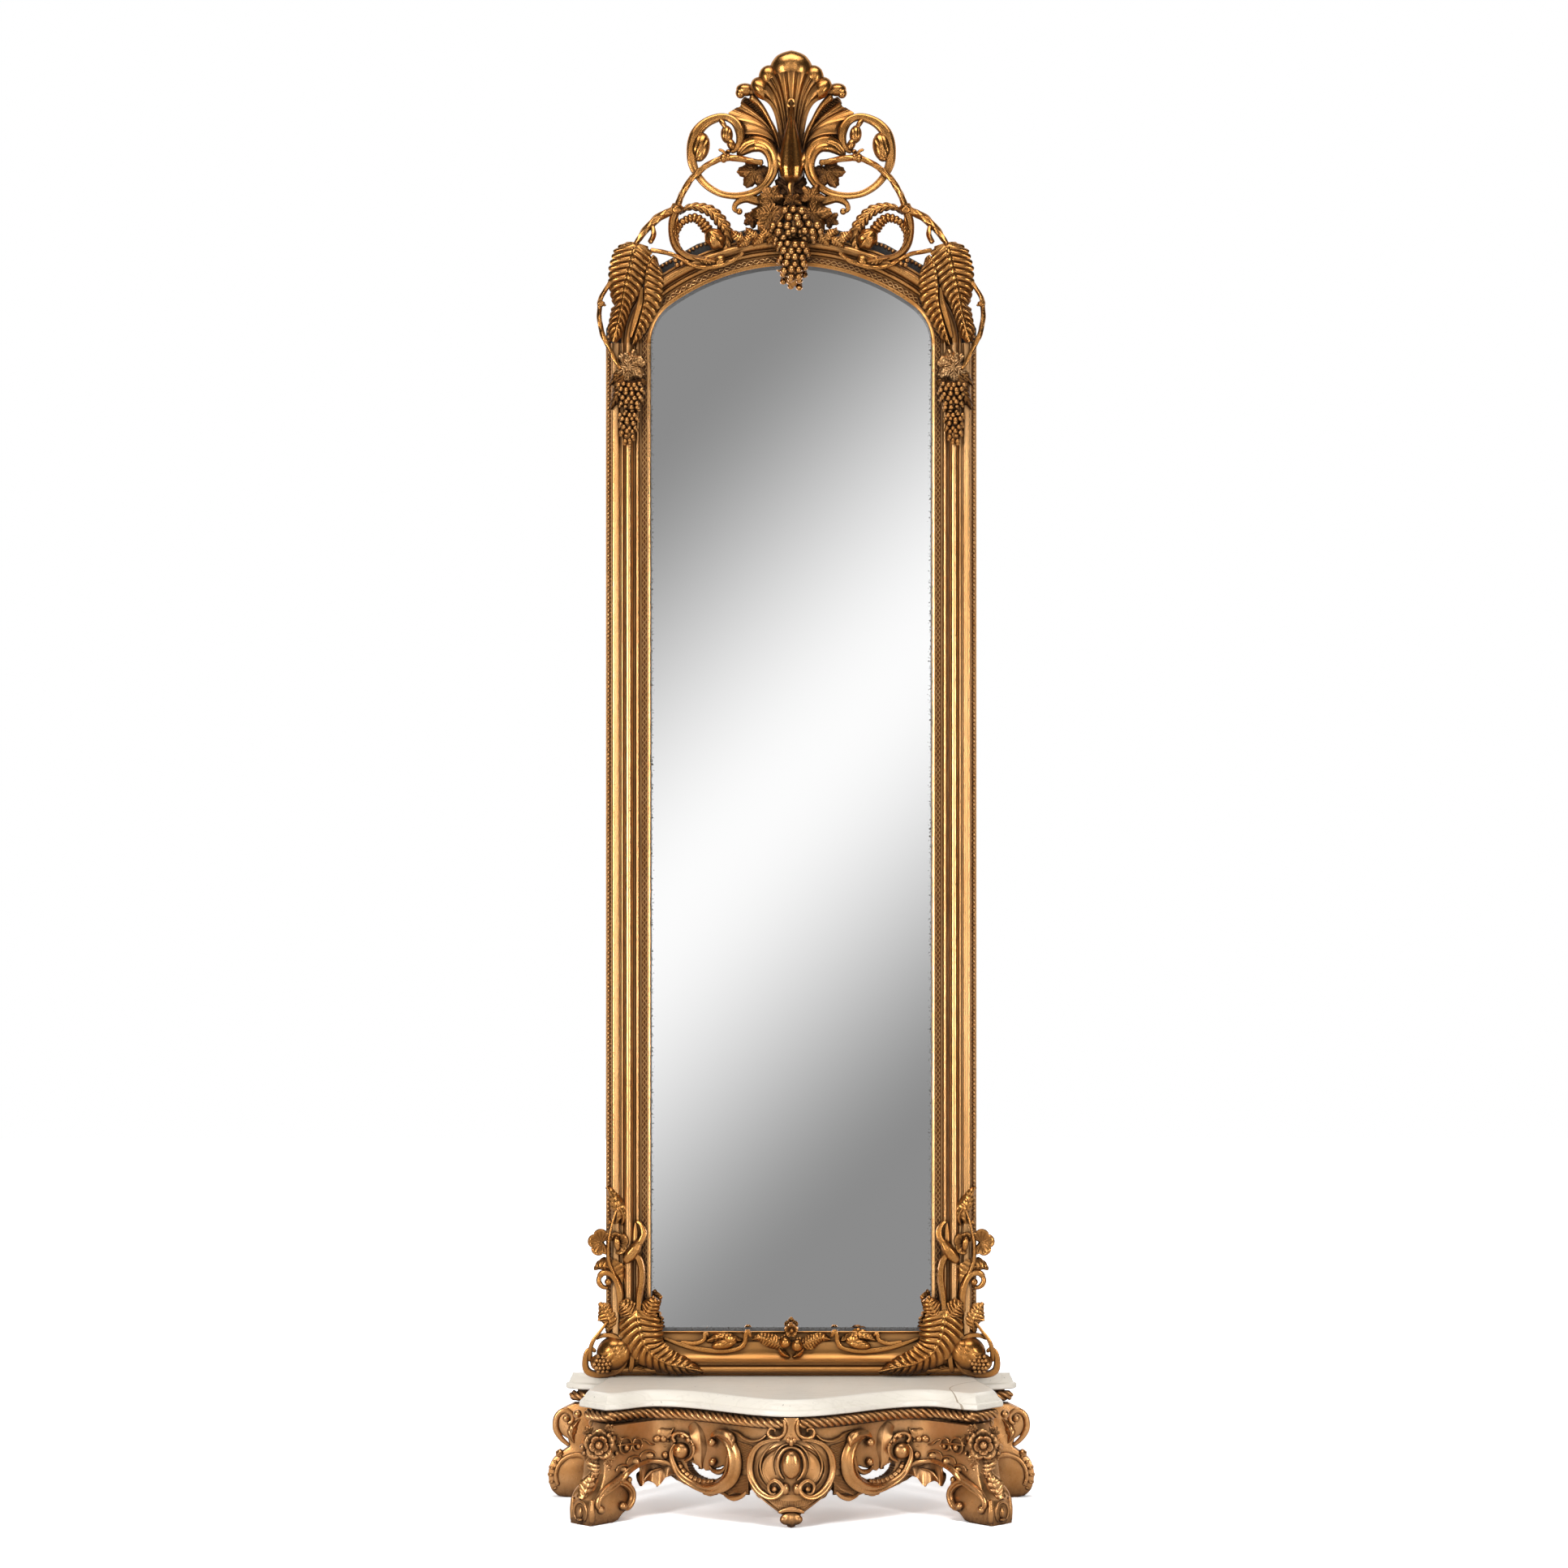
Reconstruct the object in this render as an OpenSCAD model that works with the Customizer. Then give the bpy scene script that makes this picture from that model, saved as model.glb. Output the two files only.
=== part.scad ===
// Carved giltwood pier mirror standing on a low marble-topped base.
// Z is up, the front faces -Y, and the origin is on the floor under the middle of the whole piece.

/* [Whole piece] */
// Depth from the wall to the front of the marble
overall_d = 400; // [380:1:440]

/* [Looking glass] */
// Width of the glass seen between the side mouldings
sight_w = 584; // [500:1:700]
// Height of the straight sides of the sight opening
sight_side_h = 2056; // [1700:1:2300]
// Rise of the arched head above the straight sides
arch_rise = 162; // [150:1:180]
// Radius of the tight curve at each shoulder of the arch
shoulder_r = 100; // [85:1:115]
// Thickness of the plate glass
glass_t = 5; // [3:0.5:8]

/* [Frame] */
// Width of the side and arch mouldings
frame_w = 94; // [88:1:110]
// Height of the bottom moulding
foot_rail_h = 93; // [85:1:110]
// Distance from the wall to the front of the glass
glass_depth = 20; // [18:1:30]
// Thickness of the black pine carcass
carcass_t = 34; // [32:1:40]
// Width of the rebate that holds the glass
rebate_w = 9; // [6:0.5:12]
// Thickness of the backboards
backboard_t = 9; // [6:0.5:12]
// Number of backboards
backboard_count = 6; // [3:1:10]
// Radius of one pearl in the pearl strings
pearl_r = 4.4; // [3:0.1:5]
// Distance from pearl to pearl
pearl_pitch = 8.8; // [8:0.1:12]
// Thickness of the interlaced ribbon strips
ribbon_t = 2.5; // [1.5:0.1:4]

/* [Crest and carving] */
// Height of the crest above the top of the sight opening
crest_h = 444; // [400:1:500]
// Radius of a grape
grape_r = 7.8; // [6.5:0.1:9]
// Radius of the small grapes in the side pendants
small_grape_r = 6.2; // [5:0.1:7.5]
// Thickness of the batten behind the crest
batten_t = 20; // [12:1:24]
// Width of the batten behind the crest
batten_w = 56; // [30:1:60]

/* [Hangers] */
// Width of an iron hanger plate
hanger_w = 44; // [30:1:60]
// Height of an iron hanger plate
hanger_h = 60; // [40:1:80]
// Thickness of an iron hanger plate
hanger_t = 3; // [2:0.5:5]
// Radius of the hole that hangs on the wall hook
hanger_hole_r = 5; // [3:0.5:8]
// Distance from the outer edge of the frame to a hanger hole
hanger_in = 43; // [36:1:52]

/* [Base] */
// Height of the marble top above the floor
marble_z = 256; // [240:1:290]
// Thickness of the marble
marble_t = 32; // [24:1:40]
// Half the width of the marble at its rear ears
ear_x = 471; // [450:1:500]
// Half the width of the marble across its front corners
corner_x = 430; // [420:1:445]
// Length of the slanted front corners, measured along the front
cant_w = 55; // [45:1:65]
// Depth from the wall to the hollow of the serpentine front
hollow_d = 263; // [250:1:280]
// Depth from the wall to the front of the slanted corners
corner_d = 318; // [310:1:330]
// How far the marble overhangs the apron
marble_overhang = 24; // [18:1:32]
// Thickness of the pine sub-top
subtop_t = 28; // [20:1:34]
// Thickness of the apron boards
apron_t = 24; // [18:1:32]
// Radius of the rope moulding
rope_r = 11; // [9:0.5:13]
// Length of rope taken by one strand
rope_pitch = 15; // [12:0.5:22]
// Thickness of a front leg
leg_t = 66; // [54:1:74]
// Thickness of a back leg
back_leg_t = 40; // [30:1:46]

/* [Hidden] */

wall_y = overall_d / 2;
gold = "#9a6b34";
bright_gold = "#b98a4a";
ochre = "#a87d45";
black = "#1d1916";
pine = "#8d6b45";
marble = "#ebe4d6";
iron = "#4a4643";
glass_grey = "#a9adb0";

// Mirror sizes worked out from the driving ones
half_sight = sight_w / 2;
edge_x = half_sight + frame_w;
sight_z = marble_z + foot_rail_h;
spring_z = sight_z + sight_side_h;
arch_z = spring_z + arch_rise;
rest_gap = 0.3;
// The arch is three arcs: a shoulder at each side and one large arc over the middle
crown_r = (half_sight * half_sight + arch_rise * arch_rise - 2 * half_sight * shoulder_r)
    / (2 * (arch_rise - shoulder_r));
shoulder_x = half_sight - shoulder_r;
crown_z = spring_z + arch_rise - crown_r;
crown_a = atan(shoulder_x / (crown_r - arch_rise));
// The head board is sawn straight, just inside the outer edge of the arch
board_in = 8;

// ---- Points along curves ----
function arc(c, r, a0, a1, n) = [for (i = [0:n]) let (a = a0 + (a1 - a0) * i / n) c + r * [cos(a), sin(a)]];
function cubic(a, b, c, d, n) = [for (i = [0:n]) let (t = i / n, s = 1 - t)
    s * s * s * a + 3 * s * s * t * b + 3 * s * t * t * c + t * t * t * d];
function spline_point(a, b, c, d, t) = 0.5 * (2 * b + (c - a) * t + (2 * a - 5 * b + 4 * c - d) * t * t
    + (3 * b - a - 3 * c + d) * t * t * t);
// A smooth curve through every point of p, with n steps from point to point
function smooth(p, n) = let (m = len(p) - 1) [
    for (i = [0:m - 1], k = [0:n - 1])
        spline_point(p[max(i - 1, 0)], p[i], p[i + 1], p[min(i + 2, m)], k / n),
    p[m]];
// Points of the wall plane, given as [x, z], at a distance from the wall
function at(p, depth) = [p.x, wall_y - depth, p.y];
function unit(v) = v / norm(v);
function middle(ring) = [for (p = ring) 1] * ring / len(ring);

// ---- Solids built from rings of points ----
// Closes a stack of rings, each running clockwise when seen from the last one.
// Each end is closed to a hub, which is the middle of its ring unless given.
module skin(rings, hub0 = undef, hub1 = undef) {
    n = len(rings);
    s = len(rings[0]);
    hubs = [is_undef(hub0) ? middle(rings[0]) : hub0, is_undef(hub1) ? middle(rings[n - 1]) : hub1];
    polyhedron(
        points = concat([for (r = rings) each r], hubs),
        faces = concat(
            [for (k = [0:s - 1]) [n * s, (k + 1) % s, k]],
            [for (k = [0:s - 1]) [n * s + 1, (n - 1) * s + k, (n - 1) * s + (k + 1) % s]],
            [for (i = [0:n - 2], k = [0:s - 1]) let (a = i * s + k, b = i * s + (k + 1) % s)
                each [[a, b, b + s], [a, b + s, a + s]]]));
}

// A carved rod along a path; radii is a table of [share of the length, radius]
module rod(path, radii, sides = 6, across = [0, 1, 0]) {
    n = len(path);
    skin([for (i = [0:n - 1]) let (
            t = unit(path[min(i + 1, n - 1)] - path[max(i - 1, 0)]),
            side = unit(cross(t, across)),
            up = cross(side, t),
            r = lookup(i / (n - 1), radii))
        [for (k = [0:sides - 1]) let (a = 360 * (k + 0.5) / sides)
            path[i] + r * cos(a) * side + r * sin(a) * up]]);
}

// A bud or small fruit: an egg of half sizes w, h and d, turned in the plane of the wall
module bud(c, w, h, d, turn = 0, sides = 6, rings = 4) {
    translate(c) rotate([0, turn, 0])
        skin([for (i = [0:rings]) let (a = -80 + 160 * i / rings)
            [for (k = [0:sides - 1]) let (b = -360 * k / sides)
                [w * cos(a) * cos(b), d * cos(a) * sin(b), h * sin(a)]]]);
}

module ball(c, r) {
    translate(c) sphere(r, $fn = 24);
}

// A ribbed leaf along a midrib; left and right are tables of half width
module leaf(midrib, left, right, t = 12, ribs = 4, cup = 6) {
    n = 2 * ribs;
    path = smooth(midrib, ceil(n / (len(midrib) - 1)));
    m = len(path) - 1;
    skin([for (i = [0:m]) let (
            v = i / m,
            dir = unit(path[min(i + 1, m)] - path[max(i - 1, 0)]),
            side = unit(cross(dir, [0, 1, 0])),
            l = max(lookup(v, left), 0.8) * (i % 2 == 0 ? 1 : 0.93),
            r = max(lookup(v, right), 0.8) * (i % 2 == 0 ? 1 : 0.93),
            ridge = i % 2 == 0 ? 0 : 0.28 * t,
            body = t * min(1, 6 * v + 0.3, 6 * (1 - v) + 0.3),
            c = path[i])
        [
            c - side * l + [0, cup * l / 30, 0],
            c - side * l * 0.55 + [0, ridge - body * 0.75, 0],
            c + [0, -body * 0.4, 0],
            c + side * r * 0.55 + [0, ridge - body * 0.75, 0],
            c + side * r + [0, cup * r / 30, 0],
            c + [0, body * 0.35, 0]
        ]]);
}

// A lobed vine leaf, dished and facing the room
module vine_leaf(c, r, turn = 0, lobes = 5, t = 7) {
    n = 2 * lobes;
    function rim(f, y) = [for (k = [0:n - 1]) let (a = 90 + 360 * k / n, q = r * f * (k % 2 == 0 ? 1 : 0.62))
        [q * cos(a), y + (k % 2 == 0 ? 0 : 2), q * sin(a)]];
    translate(c) rotate([0, turn, 0])
        skin([rim(0.15, -t * 0.4), rim(0.6, -t), rim(1, -t * 0.1), rim(0.6, t * 0.5)]);
}

// A hanging bunch of grapes: rows of balls on a tapering core
module bunch(top, h, half_w, r, depth) {
    rows = floor(h / (1.5 * r));
    bud(at([top.x, top.y - h / 2], depth), half_w * 0.62, h * 0.46, half_w * 0.5);
    for (i = [0:rows - 1]) {
        w = half_w * sqrt(1 - pow(i / rows, 2));
        count = max(1, floor(w / r));
        for (k = [0:count - 1]) {
            x = count == 1 ? 0 : (w - r) * (2 * k / (count - 1) - 1);
            out = 0.75 * sqrt(max(0, w * w - x * x)) * 0.9 + (k + i) % 2 * 2;
            ball(at([top.x + x, top.y - r - i * 1.5 * r], depth + out), r);
        }
    }
}

module flip(side) {
    if (side == "right") mirror([1, 0, 0]) children();
    else children();
}

// ---- Outlines of the frame ----
// Sight opening grown outwards by g, from the right spring over the arch to the left one
function arch_line(g) = concat(
    arc([shoulder_x, spring_z], shoulder_r + g, 0, 90 - crown_a, 12),
    arc([0, crown_z], crown_r + g, 90 - crown_a + 3, 90 + crown_a - 3, 22),
    arc([-shoulder_x, spring_z], shoulder_r + g, 90 + crown_a, 180, 12));

module sight_shape(g) {
    polygon(concat(arch_line(g), [[-half_sight - g, sight_z - g], [half_sight + g, sight_z - g]]));
}

// Extrudes an [x, z] outline between two distances from the wall
module slab(depth0, depth1) {
    translate([0, wall_y - depth0, 0]) rotate([90, 0, 0])
        linear_extrude(depth1 - depth0, convexity = 6) children();
}

// Extrudes an outline of [distance in from the outer edge, distance from the wall] up a stile
module stile(z0, z1, profile) {
    translate([0, 0, z0]) linear_extrude(z1 - z0)
        polygon([for (p = profile) [p.x - edge_x, wall_y - p.y]]);
}

// ---- Looking glass, backboards and blocks ----
module mirror_glass() {
    color(glass_grey) slab(glass_depth - glass_t, glass_depth) sight_shape(rebate_w - rest_gap);
}

module backboards() {
    total = arch_z - sight_z + 2 * rebate_w;
    board_h = total / backboard_count;
    color(pine) for (i = [0:backboard_count - 1])
        slab(0, backboard_t) intersection() {
            sight_shape(rebate_w - rest_gap);
            translate([-edge_x, sight_z - rebate_w + i * board_h + rest_gap / 2])
                square([2 * edge_x, board_h - rest_gap]);
        }
}

// Small softwood blocks press the glass forward against the lip of the rebate
module glass_blocks() {
    block_l = 60;
    space = 400;
    count = floor(sight_side_h / space);
    color(pine) for (s = [-1, 1], i = [0:count - 1])
        translate([s * (half_sight + rebate_w / 2), 0, sight_z + (i + 0.5) * sight_side_h / count])
            translate([-rebate_w / 2 + rest_gap, wall_y - glass_depth + glass_t, -block_l / 2])
                cube([rebate_w - 2 * rest_gap, glass_depth - glass_t - backboard_t, block_l]);
}

// ---- Black pine carcass ----
module carcass_stile_left() {
    color(black) difference() {
        stile(marble_z, spring_z, [
            [0, 0], [frame_w - rebate_w, 0], [frame_w - rebate_w, glass_depth], [frame_w, glass_depth],
            [frame_w, carcass_t], [0, carcass_t]]);
        hanger_recesses();
    }
}

module carcass_bottom_rail() {
    w = 2 * half_sight;
    color(black) difference() {
        translate([-half_sight, wall_y - carcass_t, marble_z]) cube([w, carcass_t, foot_rail_h]);
        translate([-half_sight - 1, wall_y - glass_depth, sight_z - rebate_w])
            cube([w + 2, glass_depth + 1, rebate_w + 1]);
    }
}

// Corners of the straight-sawn outer edge, from the right spring to the left one
board_angles = [10.4, 22.4];
function crown_point(a) = [0, crown_z] + (crown_r + frame_w - board_in) * [sin(a), cos(a)];
function shoulder_point(a) = [shoulder_x, spring_z] + (shoulder_r + frame_w - board_in) * [sin(a), cos(a)];
half_board = [
    crown_point(board_angles[0]), crown_point(board_angles[1]), crown_point(crown_a),
    shoulder_point(62), [edge_x, shoulder_point(80).y], [edge_x, spring_z]];

module head_board() {
    outline = concat([for (i = [len(half_board) - 1:-1:0]) half_board[i]],
        [for (p = half_board) [-p.x, p.y]]);
    difference() {
        union() {
            slab(0, glass_depth) difference() {
                polygon(outline);
                sight_shape(rebate_w);
            }
            slab(glass_depth, carcass_t) difference() {
                polygon(outline);
                sight_shape(0);
            }
        }
        batten_mortise();
    }
}

joint_x = crown_point(board_angles[1]).x;

module arch_segment_center() {
    color(black) intersection() {
        head_board();
        translate([-joint_x, wall_y - carcass_t - 1, spring_z])
            cube([2 * joint_x, carcass_t + 2, arch_rise + frame_w]);
    }
}

module arch_segment_left() {
    color(black) intersection() {
        head_board();
        translate([-edge_x - 1, wall_y - carcass_t - 1, spring_z])
            cube([edge_x + 1 - joint_x, carcass_t + 2, arch_rise + frame_w]);
    }
}

// ---- Batten behind the crest, let into the head board ----
batten_depth = 7;
batten_foot = arch_z + 30;
batten_top = arch_z + 0.55 * crest_h;

module crest_batten() {
    color(black) translate([-batten_w / 2, wall_y - batten_depth - batten_t, batten_foot])
        cube([batten_w, batten_t, batten_top - batten_foot]);
}

module batten_mortise() {
    translate([-batten_w / 2 - rest_gap, wall_y - batten_depth - batten_t - rest_gap, batten_foot - rest_gap])
        cube([batten_w + 2 * rest_gap, batten_t + 2 * rest_gap, frame_w]);
}

// ---- Iron hanger plates let into the backs of the stiles ----
plate_z = spring_z - 60;
screw_r = 2.5;
hook_pocket = 10;

module hanger_place(s) {
    translate([s * (edge_x - hanger_in), wall_y, plate_z]) children();
}

module hanger_plates() {
    color(iron) for (s = [-1, 1]) hanger_place(s) difference() {
        translate([-hanger_w / 2, -hanger_t, -hanger_h / 2]) cube([hanger_w, hanger_t, hanger_h]);
        translate([0, 1, 0]) rotate([90, 0, 0]) cylinder(r = hanger_hole_r, h = hanger_t + 2, $fn = 48);
        for (x = [-1, 1], z = [-1, 1])
            translate([x * (hanger_w / 2 - 8), 1, z * (hanger_h / 2 - 8)])
                rotate([90, 0, 0]) cylinder(r = screw_r, h = hanger_t + 2, $fn = 32);
    }
}

// Shallow bed for each plate, with a pocket behind its eye for the head of the wall hook
module hanger_recesses() {
    for (s = [-1, 1]) hanger_place(s) {
        translate([-hanger_w / 2 - rest_gap, -hanger_t, -hanger_h / 2 - rest_gap])
            cube([hanger_w + 2 * rest_gap, hanger_t + 1, hanger_h + 2 * rest_gap]);
        translate([0, 1, 0]) rotate([90, 0, 0])
            cylinder(r = hanger_hole_r + 5, h = hanger_t + 1 + hook_pocket, $fn = 48);
    }
}

// ---- Gilt mouldings ----
// Heights above the wall, worked from the front of the carcass outwards
function side_profile(from) = [for (p = concat(
    [[0, carcass_t], [0, carcass_t + 11], [10.5, carcass_t + 11], [11, carcass_t + 16]],
    cubic([11, carcass_t + 17], [13, carcass_t + 33], [25, carcass_t + 36], [29, carcass_t + 23], 8),
    [[29, carcass_t + 21], [32, carcass_t + 21]],
    arc([35, carcass_t + 22], 3, 180, 0, 5),
    cubic([38, carcass_t + 22], [39, carcass_t + 37], [55, carcass_t + 39], [58, carcass_t + 21], 9),
    [[58, carcass_t + 17], [61, carcass_t + 17]],
    cubic([61, carcass_t + 18], [63, carcass_t + 27], [69, carcass_t + 27], [71, carcass_t + 19], 5),
    [[71, carcass_t + 16], [75, carcass_t + 16], [75, ribbon_depth], [ribbon_in, ribbon_depth],
     [ribbon_in, ribbon_depth + 1], [frame_w, slip_depth], [frame_w, carcass_t]])) if (p.x >= from) p];
ribbon_depth = carcass_t + 19;
ribbon_in = 86.5;
slip_depth = carcass_t + 18;
arch_from = 32;

module moulding_left() {
    color(gold) difference() {
        stile(marble_z, spring_z, side_profile(0));
        // Mitre with the bottom moulding
        translate([-edge_x, wall_y, marble_z]) rotate([90, 0, 0])
            linear_extrude(200) polygon([[-1, -1], [frame_w + 1, -1], [frame_w + 1, foot_rail_h * (1 + 1 / frame_w)],
                [0, 0], [-1, 0]]);
    }
}

// Turns a profile of [distance in from the outer edge, distance from the wall] round the arch
module arch_sweep(profile) {
    module turn(c, r, a0, a1) {
        translate([c.x, wall_y, c.y]) rotate([90, 0, 0]) rotate([0, 0, a0])
            rotate_extrude(angle = a1 - a0, $fn = 120)
                polygon([for (p = profile) [r + frame_w - p.x, p.y]]);
    }
    turn([shoulder_x, spring_z], shoulder_r, 0, 90 - crown_a);
    turn([0, crown_z], crown_r, 90 - crown_a, 90 + crown_a);
    turn([-shoulder_x, spring_z], shoulder_r, 90 + crown_a, 180);
}

module moulding_arch() {
    dowel_l = 6;
    color(gold) {
        arch_sweep(concat([[arch_from, carcass_t]], side_profile(arch_from)));
        // Flat dowel across each joint of the three lengths
        for (s = [-1, 1]) translate([s * shoulder_x, wall_y - carcass_t - 14, spring_z]) rotate([0, s * crown_a, 0])
            translate([-dowel_l / 2, 0, shoulder_r + frame_w - 72]) cube([dowel_l, 12, 36]);
    }
}

module moulding_bottom() {
    rail = foot_rail_h;
    profile = concat(
        [[0, carcass_t], [0, carcass_t + 14]],
        arc([4, carcass_t + 14], 4, 180, 90, 3),
        cubic([5, carcass_t + 19], [6, carcass_t + 36], [20, carcass_t + 38], [23, carcass_t + 22], 8),
        [[24, carcass_t + 20], [26, carcass_t + 20], [27, carcass_t + 23], [30, carcass_t + 23]],
        [[31, carcass_t + 30]],
        cubic([34, carcass_t + 31], [40, carcass_t + 20], [54, carcass_t + 14], [rail - 22, carcass_t + 12], 8),
        [[rail - 21, carcass_t + 7], [rail - 6, carcass_t + 7], [rail - 5, carcass_t + 15],
         [rail, slip_depth], [rail, carcass_t]]);
    color(gold) intersection() {
        translate([-edge_x, 0, 0]) rotate([90, 0, 90])
            linear_extrude(2 * edge_x) polygon([for (p = profile) [wall_y - p.y, marble_z + p.x]]);
        translate([0, wall_y, marble_z]) rotate([90, 0, 0]) linear_extrude(200)
            polygon([[-edge_x, 0], [edge_x, 0], [half_sight, rail], [-half_sight, rail]]);
    }
}

// ---- Pearl strings and ribbon strips ----
module pearls(length) {
    count = round(length / pearl_pitch);
    step = length / count;
    rotate([0, 0, 180]) rotate_extrude(angle = 180, $fn = 32)
        polygon(concat([[0, 0]],
            [for (i = [0:count - 1]) each [[0.45 * pearl_r, i * step], [pearl_r, (i + 0.3) * step],
                [pearl_r, (i + 0.7) * step]]],
            [[0.45 * pearl_r, length], [0, length]]));
}

pearl_in = 5.5;

module pearl_string_left() {
    color(bright_gold)
        translate([-edge_x + pearl_in, wall_y - carcass_t - 11, marble_z + foot_rail_h])
            pearls(sight_side_h);
}

// Over the arch the pearls run in straight lengths along the sawn edge of the head board
module pearl_string_arch() {
    run = [for (p = half_board) p - pearl_in * unit(p - [0, spring_z])];
    color(bright_gold) for (s = [-1, 1], i = [0:len(run) - 2]) {
        a = run[i];
        b = run[i + 1];
        translate([s * a.x, wall_y - carcass_t, a.y])
            rotate([0, s * atan2(b.x - a.x, b.y - a.y), 0])
                translate([0, 0, 1]) pearls(norm(b - a) - 2);
    }
}

ribbon_profile = [[75.5, ribbon_depth], [75.5, ribbon_depth + ribbon_t - 1], [77, ribbon_depth + ribbon_t],
    [84.5, ribbon_depth + ribbon_t], [86, ribbon_depth + ribbon_t - 1], [86, ribbon_depth]];

module ribbon_strip_left() {
    color(bright_gold) stile(sight_z, spring_z, ribbon_profile);
}

module ribbon_strip_arch() {
    color(bright_gold) arch_sweep(ribbon_profile);
}

// ---- Crest, measured from the top of the sight opening ----
// The sizes that the crest is drawn at; it is stretched from them to the sizes of the frame
drawn_crest_h = 444;
drawn_sight_w = 584;
function crest(p, depth) = at([p.x * sight_w / drawn_sight_w, arch_z + p.y * crest_h / drawn_crest_h], depth);
function crest_path(path, depth0, depth1) = [for (i = [0:len(path) - 1])
    crest(path[i], depth0 + (depth1 - depth0) * i / (len(path) - 1))];
batten_face = batten_depth + batten_t + rest_gap;

// Fluted central leaf that flares out of the boss and rolls forward at its top
module crest_palmette() {
    half = [[0, 25], [0.35, 30], [0.6, 44], [0.8, 60], [1, 50]];
    lean = [[0, 0], [0.5, 4], [0.8, 16], [1, 30]];
    steps = 8;
    color(gold) {
        skin([for (i = [0:steps]) let (v = i / steps, w = -lookup(v, half), y = lookup(v, lean), z = 230 + 172 * v)
            concat(
                [for (k = [0:12]) crest([w * (k / 6 - 1), z], batten_face + 16 + y + (k % 2 == 0 ? 5 : 0))],
                [crest([w * 0.8, z], batten_face + y * 0.8), crest([-w * 0.8, z], batten_face + y * 0.8)])],
            crest([0, 226], batten_face + 6), crest([0, 410], batten_face + 34));
        bud(crest([0, 421], 74), 39, 23, 22, 0, 8);
        for (s = [-1, 1]) {
            bud(crest([s * 46, 398], 66), 17, 14, 16);
            bud(crest([s * 64, 366], 60), 15, 20, 16);
        }
    }
}

// Teardrop with a sharp ridge down its middle
module crest_boss() {
    half = [[0, 3], [0.08, 20], [0.2, 28.5], [0.38, 26], [0.7, 12], [1, 2]];
    steps = 12;
    color(bright_gold) skin([for (i = [0:steps]) let (v = i / steps, w = lookup(v, half), z = 338 - 170 * v)
        [crest([-w, z], batten_face + 22), crest([-w * 0.75, z], batten_face + 24 + w), crest([0, z],
            batten_face + 28 + w * 1.3),
         crest([w * 0.75, z], batten_face + 24 + w), crest([w, z], batten_face + 22),
         crest([w * 0.6, z], batten_face), crest([-w * 0.6, z], batten_face)]]);
}

// Ribbed bat-wing fan with a rolled knob at its tip
module crest_fan(side) {
    apex = [-20, 222];
    spread = [[0, 155], [0.3, 147], [0.55, 130], [0.8, 104], [1, 88]];
    steps = 10;
    color(gold) flip(side) {
        skin([for (i = [0:steps]) let (v = i / steps, a = 153 - 32 * v, d = [cos(a), sin(a)],
                r = lookup(1 - v, spread), up = i % 2 == 0 ? 5 : 0)
            [crest(apex + 8 * d, 40), crest(apex + 0.5 * r * d, 50 + up), crest(apex + r * d, 44 + up),
             crest(apex + r * d, 32), crest(apex + 8 * d, batten_face)]]);
        rod(crest_path(smooth([apex, [-52, 290], [-82, 334], [-102, 356]], 2), 46, 56),
            [[0, 4], [0.6, 5], [1, 7]]);
        bud(crest([-99, 363], 56), 20, 14, 13, -12);
    }
}

// Large C-scroll that springs from a volute beside the boss and ends in a bud
module crest_scroll(side) {
    path = smooth([[-98, 246], [-72, 254], [-38, 216], [-50, 176], [-116, 143], [-182, 168], [-216, 224],
        [-211, 276], [-157, 314], [-114, 304], [-99, 283]], 2);
    color(gold) flip(side) {
        rod(crest_path(path, 52, 44),
            [[0, 5], [0.08, 10], [0.2, 12], [0.35, 9], [0.6, 8.5], [0.78, 12], [0.9, 9], [1, 5]]);
        bud(crest([-188, 248], 48), 14, 27, 13, 12);
        bud(crest([-131, 268], 46), 13, 25, 12, -14);
        rod(crest_path([[-189, 242], [-200, 214], [-203, 192]], 48, 46), [[0, 7], [1, 4]]);
        rod(crest_path([[-99, 283], [-110, 276], [-130, 264]], 44, 46), [[0, 6], [1, 5]]);
    }
}

vine_node = [-238, 117];

// Vine twig that crosses the scroll and drops to the knot above the shoulder
module crest_vine(side) {
    color(gold) flip(side) {
        rod(crest_path(smooth([[-56, 212], [-96, 219], [-134, 223], [-168, 211], [-205, 182], [-226, 150],
            [-235, 128], vine_node], 2), 56, 58), [[0, 7], [0.3, 6], [1, 6.5]], 5);
        bud(crest([-134, 223], 58), 11, 10, 10);
        bud(crest(vine_node, 56), 14, 13, 13);
    }
}

// Ring of acanthus under the vine: scroll, sheathing leaf, scaled tendril and shell
module crest_acanthus(side) {
    ring = smooth([vine_node, [-247, 86], [-242, 44], [-219, 18], [-184, 10], [-148, 6]], 3);
    tendril = smooth([[-236, 70], [-226, 90], [-200, 98], [-180, 82], [-170, 62]], 2);
    color(gold) flip(side) {
        rod(crest_path(ring, 56, 62), [[0, 9], [0.5, 8], [1, 10]]);
        rod(crest_path(tendril, 52, 60), [for (i = [0:8]) [i / 8, 6 + 7 * i / 8 + (i % 2) * 2]]);
        bud(crest([-155, 54], 66), 18, 21, 14, 20);
        leaf([crest([-232, 112], 54), crest([-194, 121], 56), crest([-158, 106], 60), crest([-138, 70], 62),
            crest([-146, 22], 62)], [[0, 4], [0.4, 13], [0.8, 11], [1, 2]], [[0, 4], [0.4, 9], [1, 4]], 10, 4);
        bud(crest([-148, 8], 72), 10, 12, 8, 30);
    }
}

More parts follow.
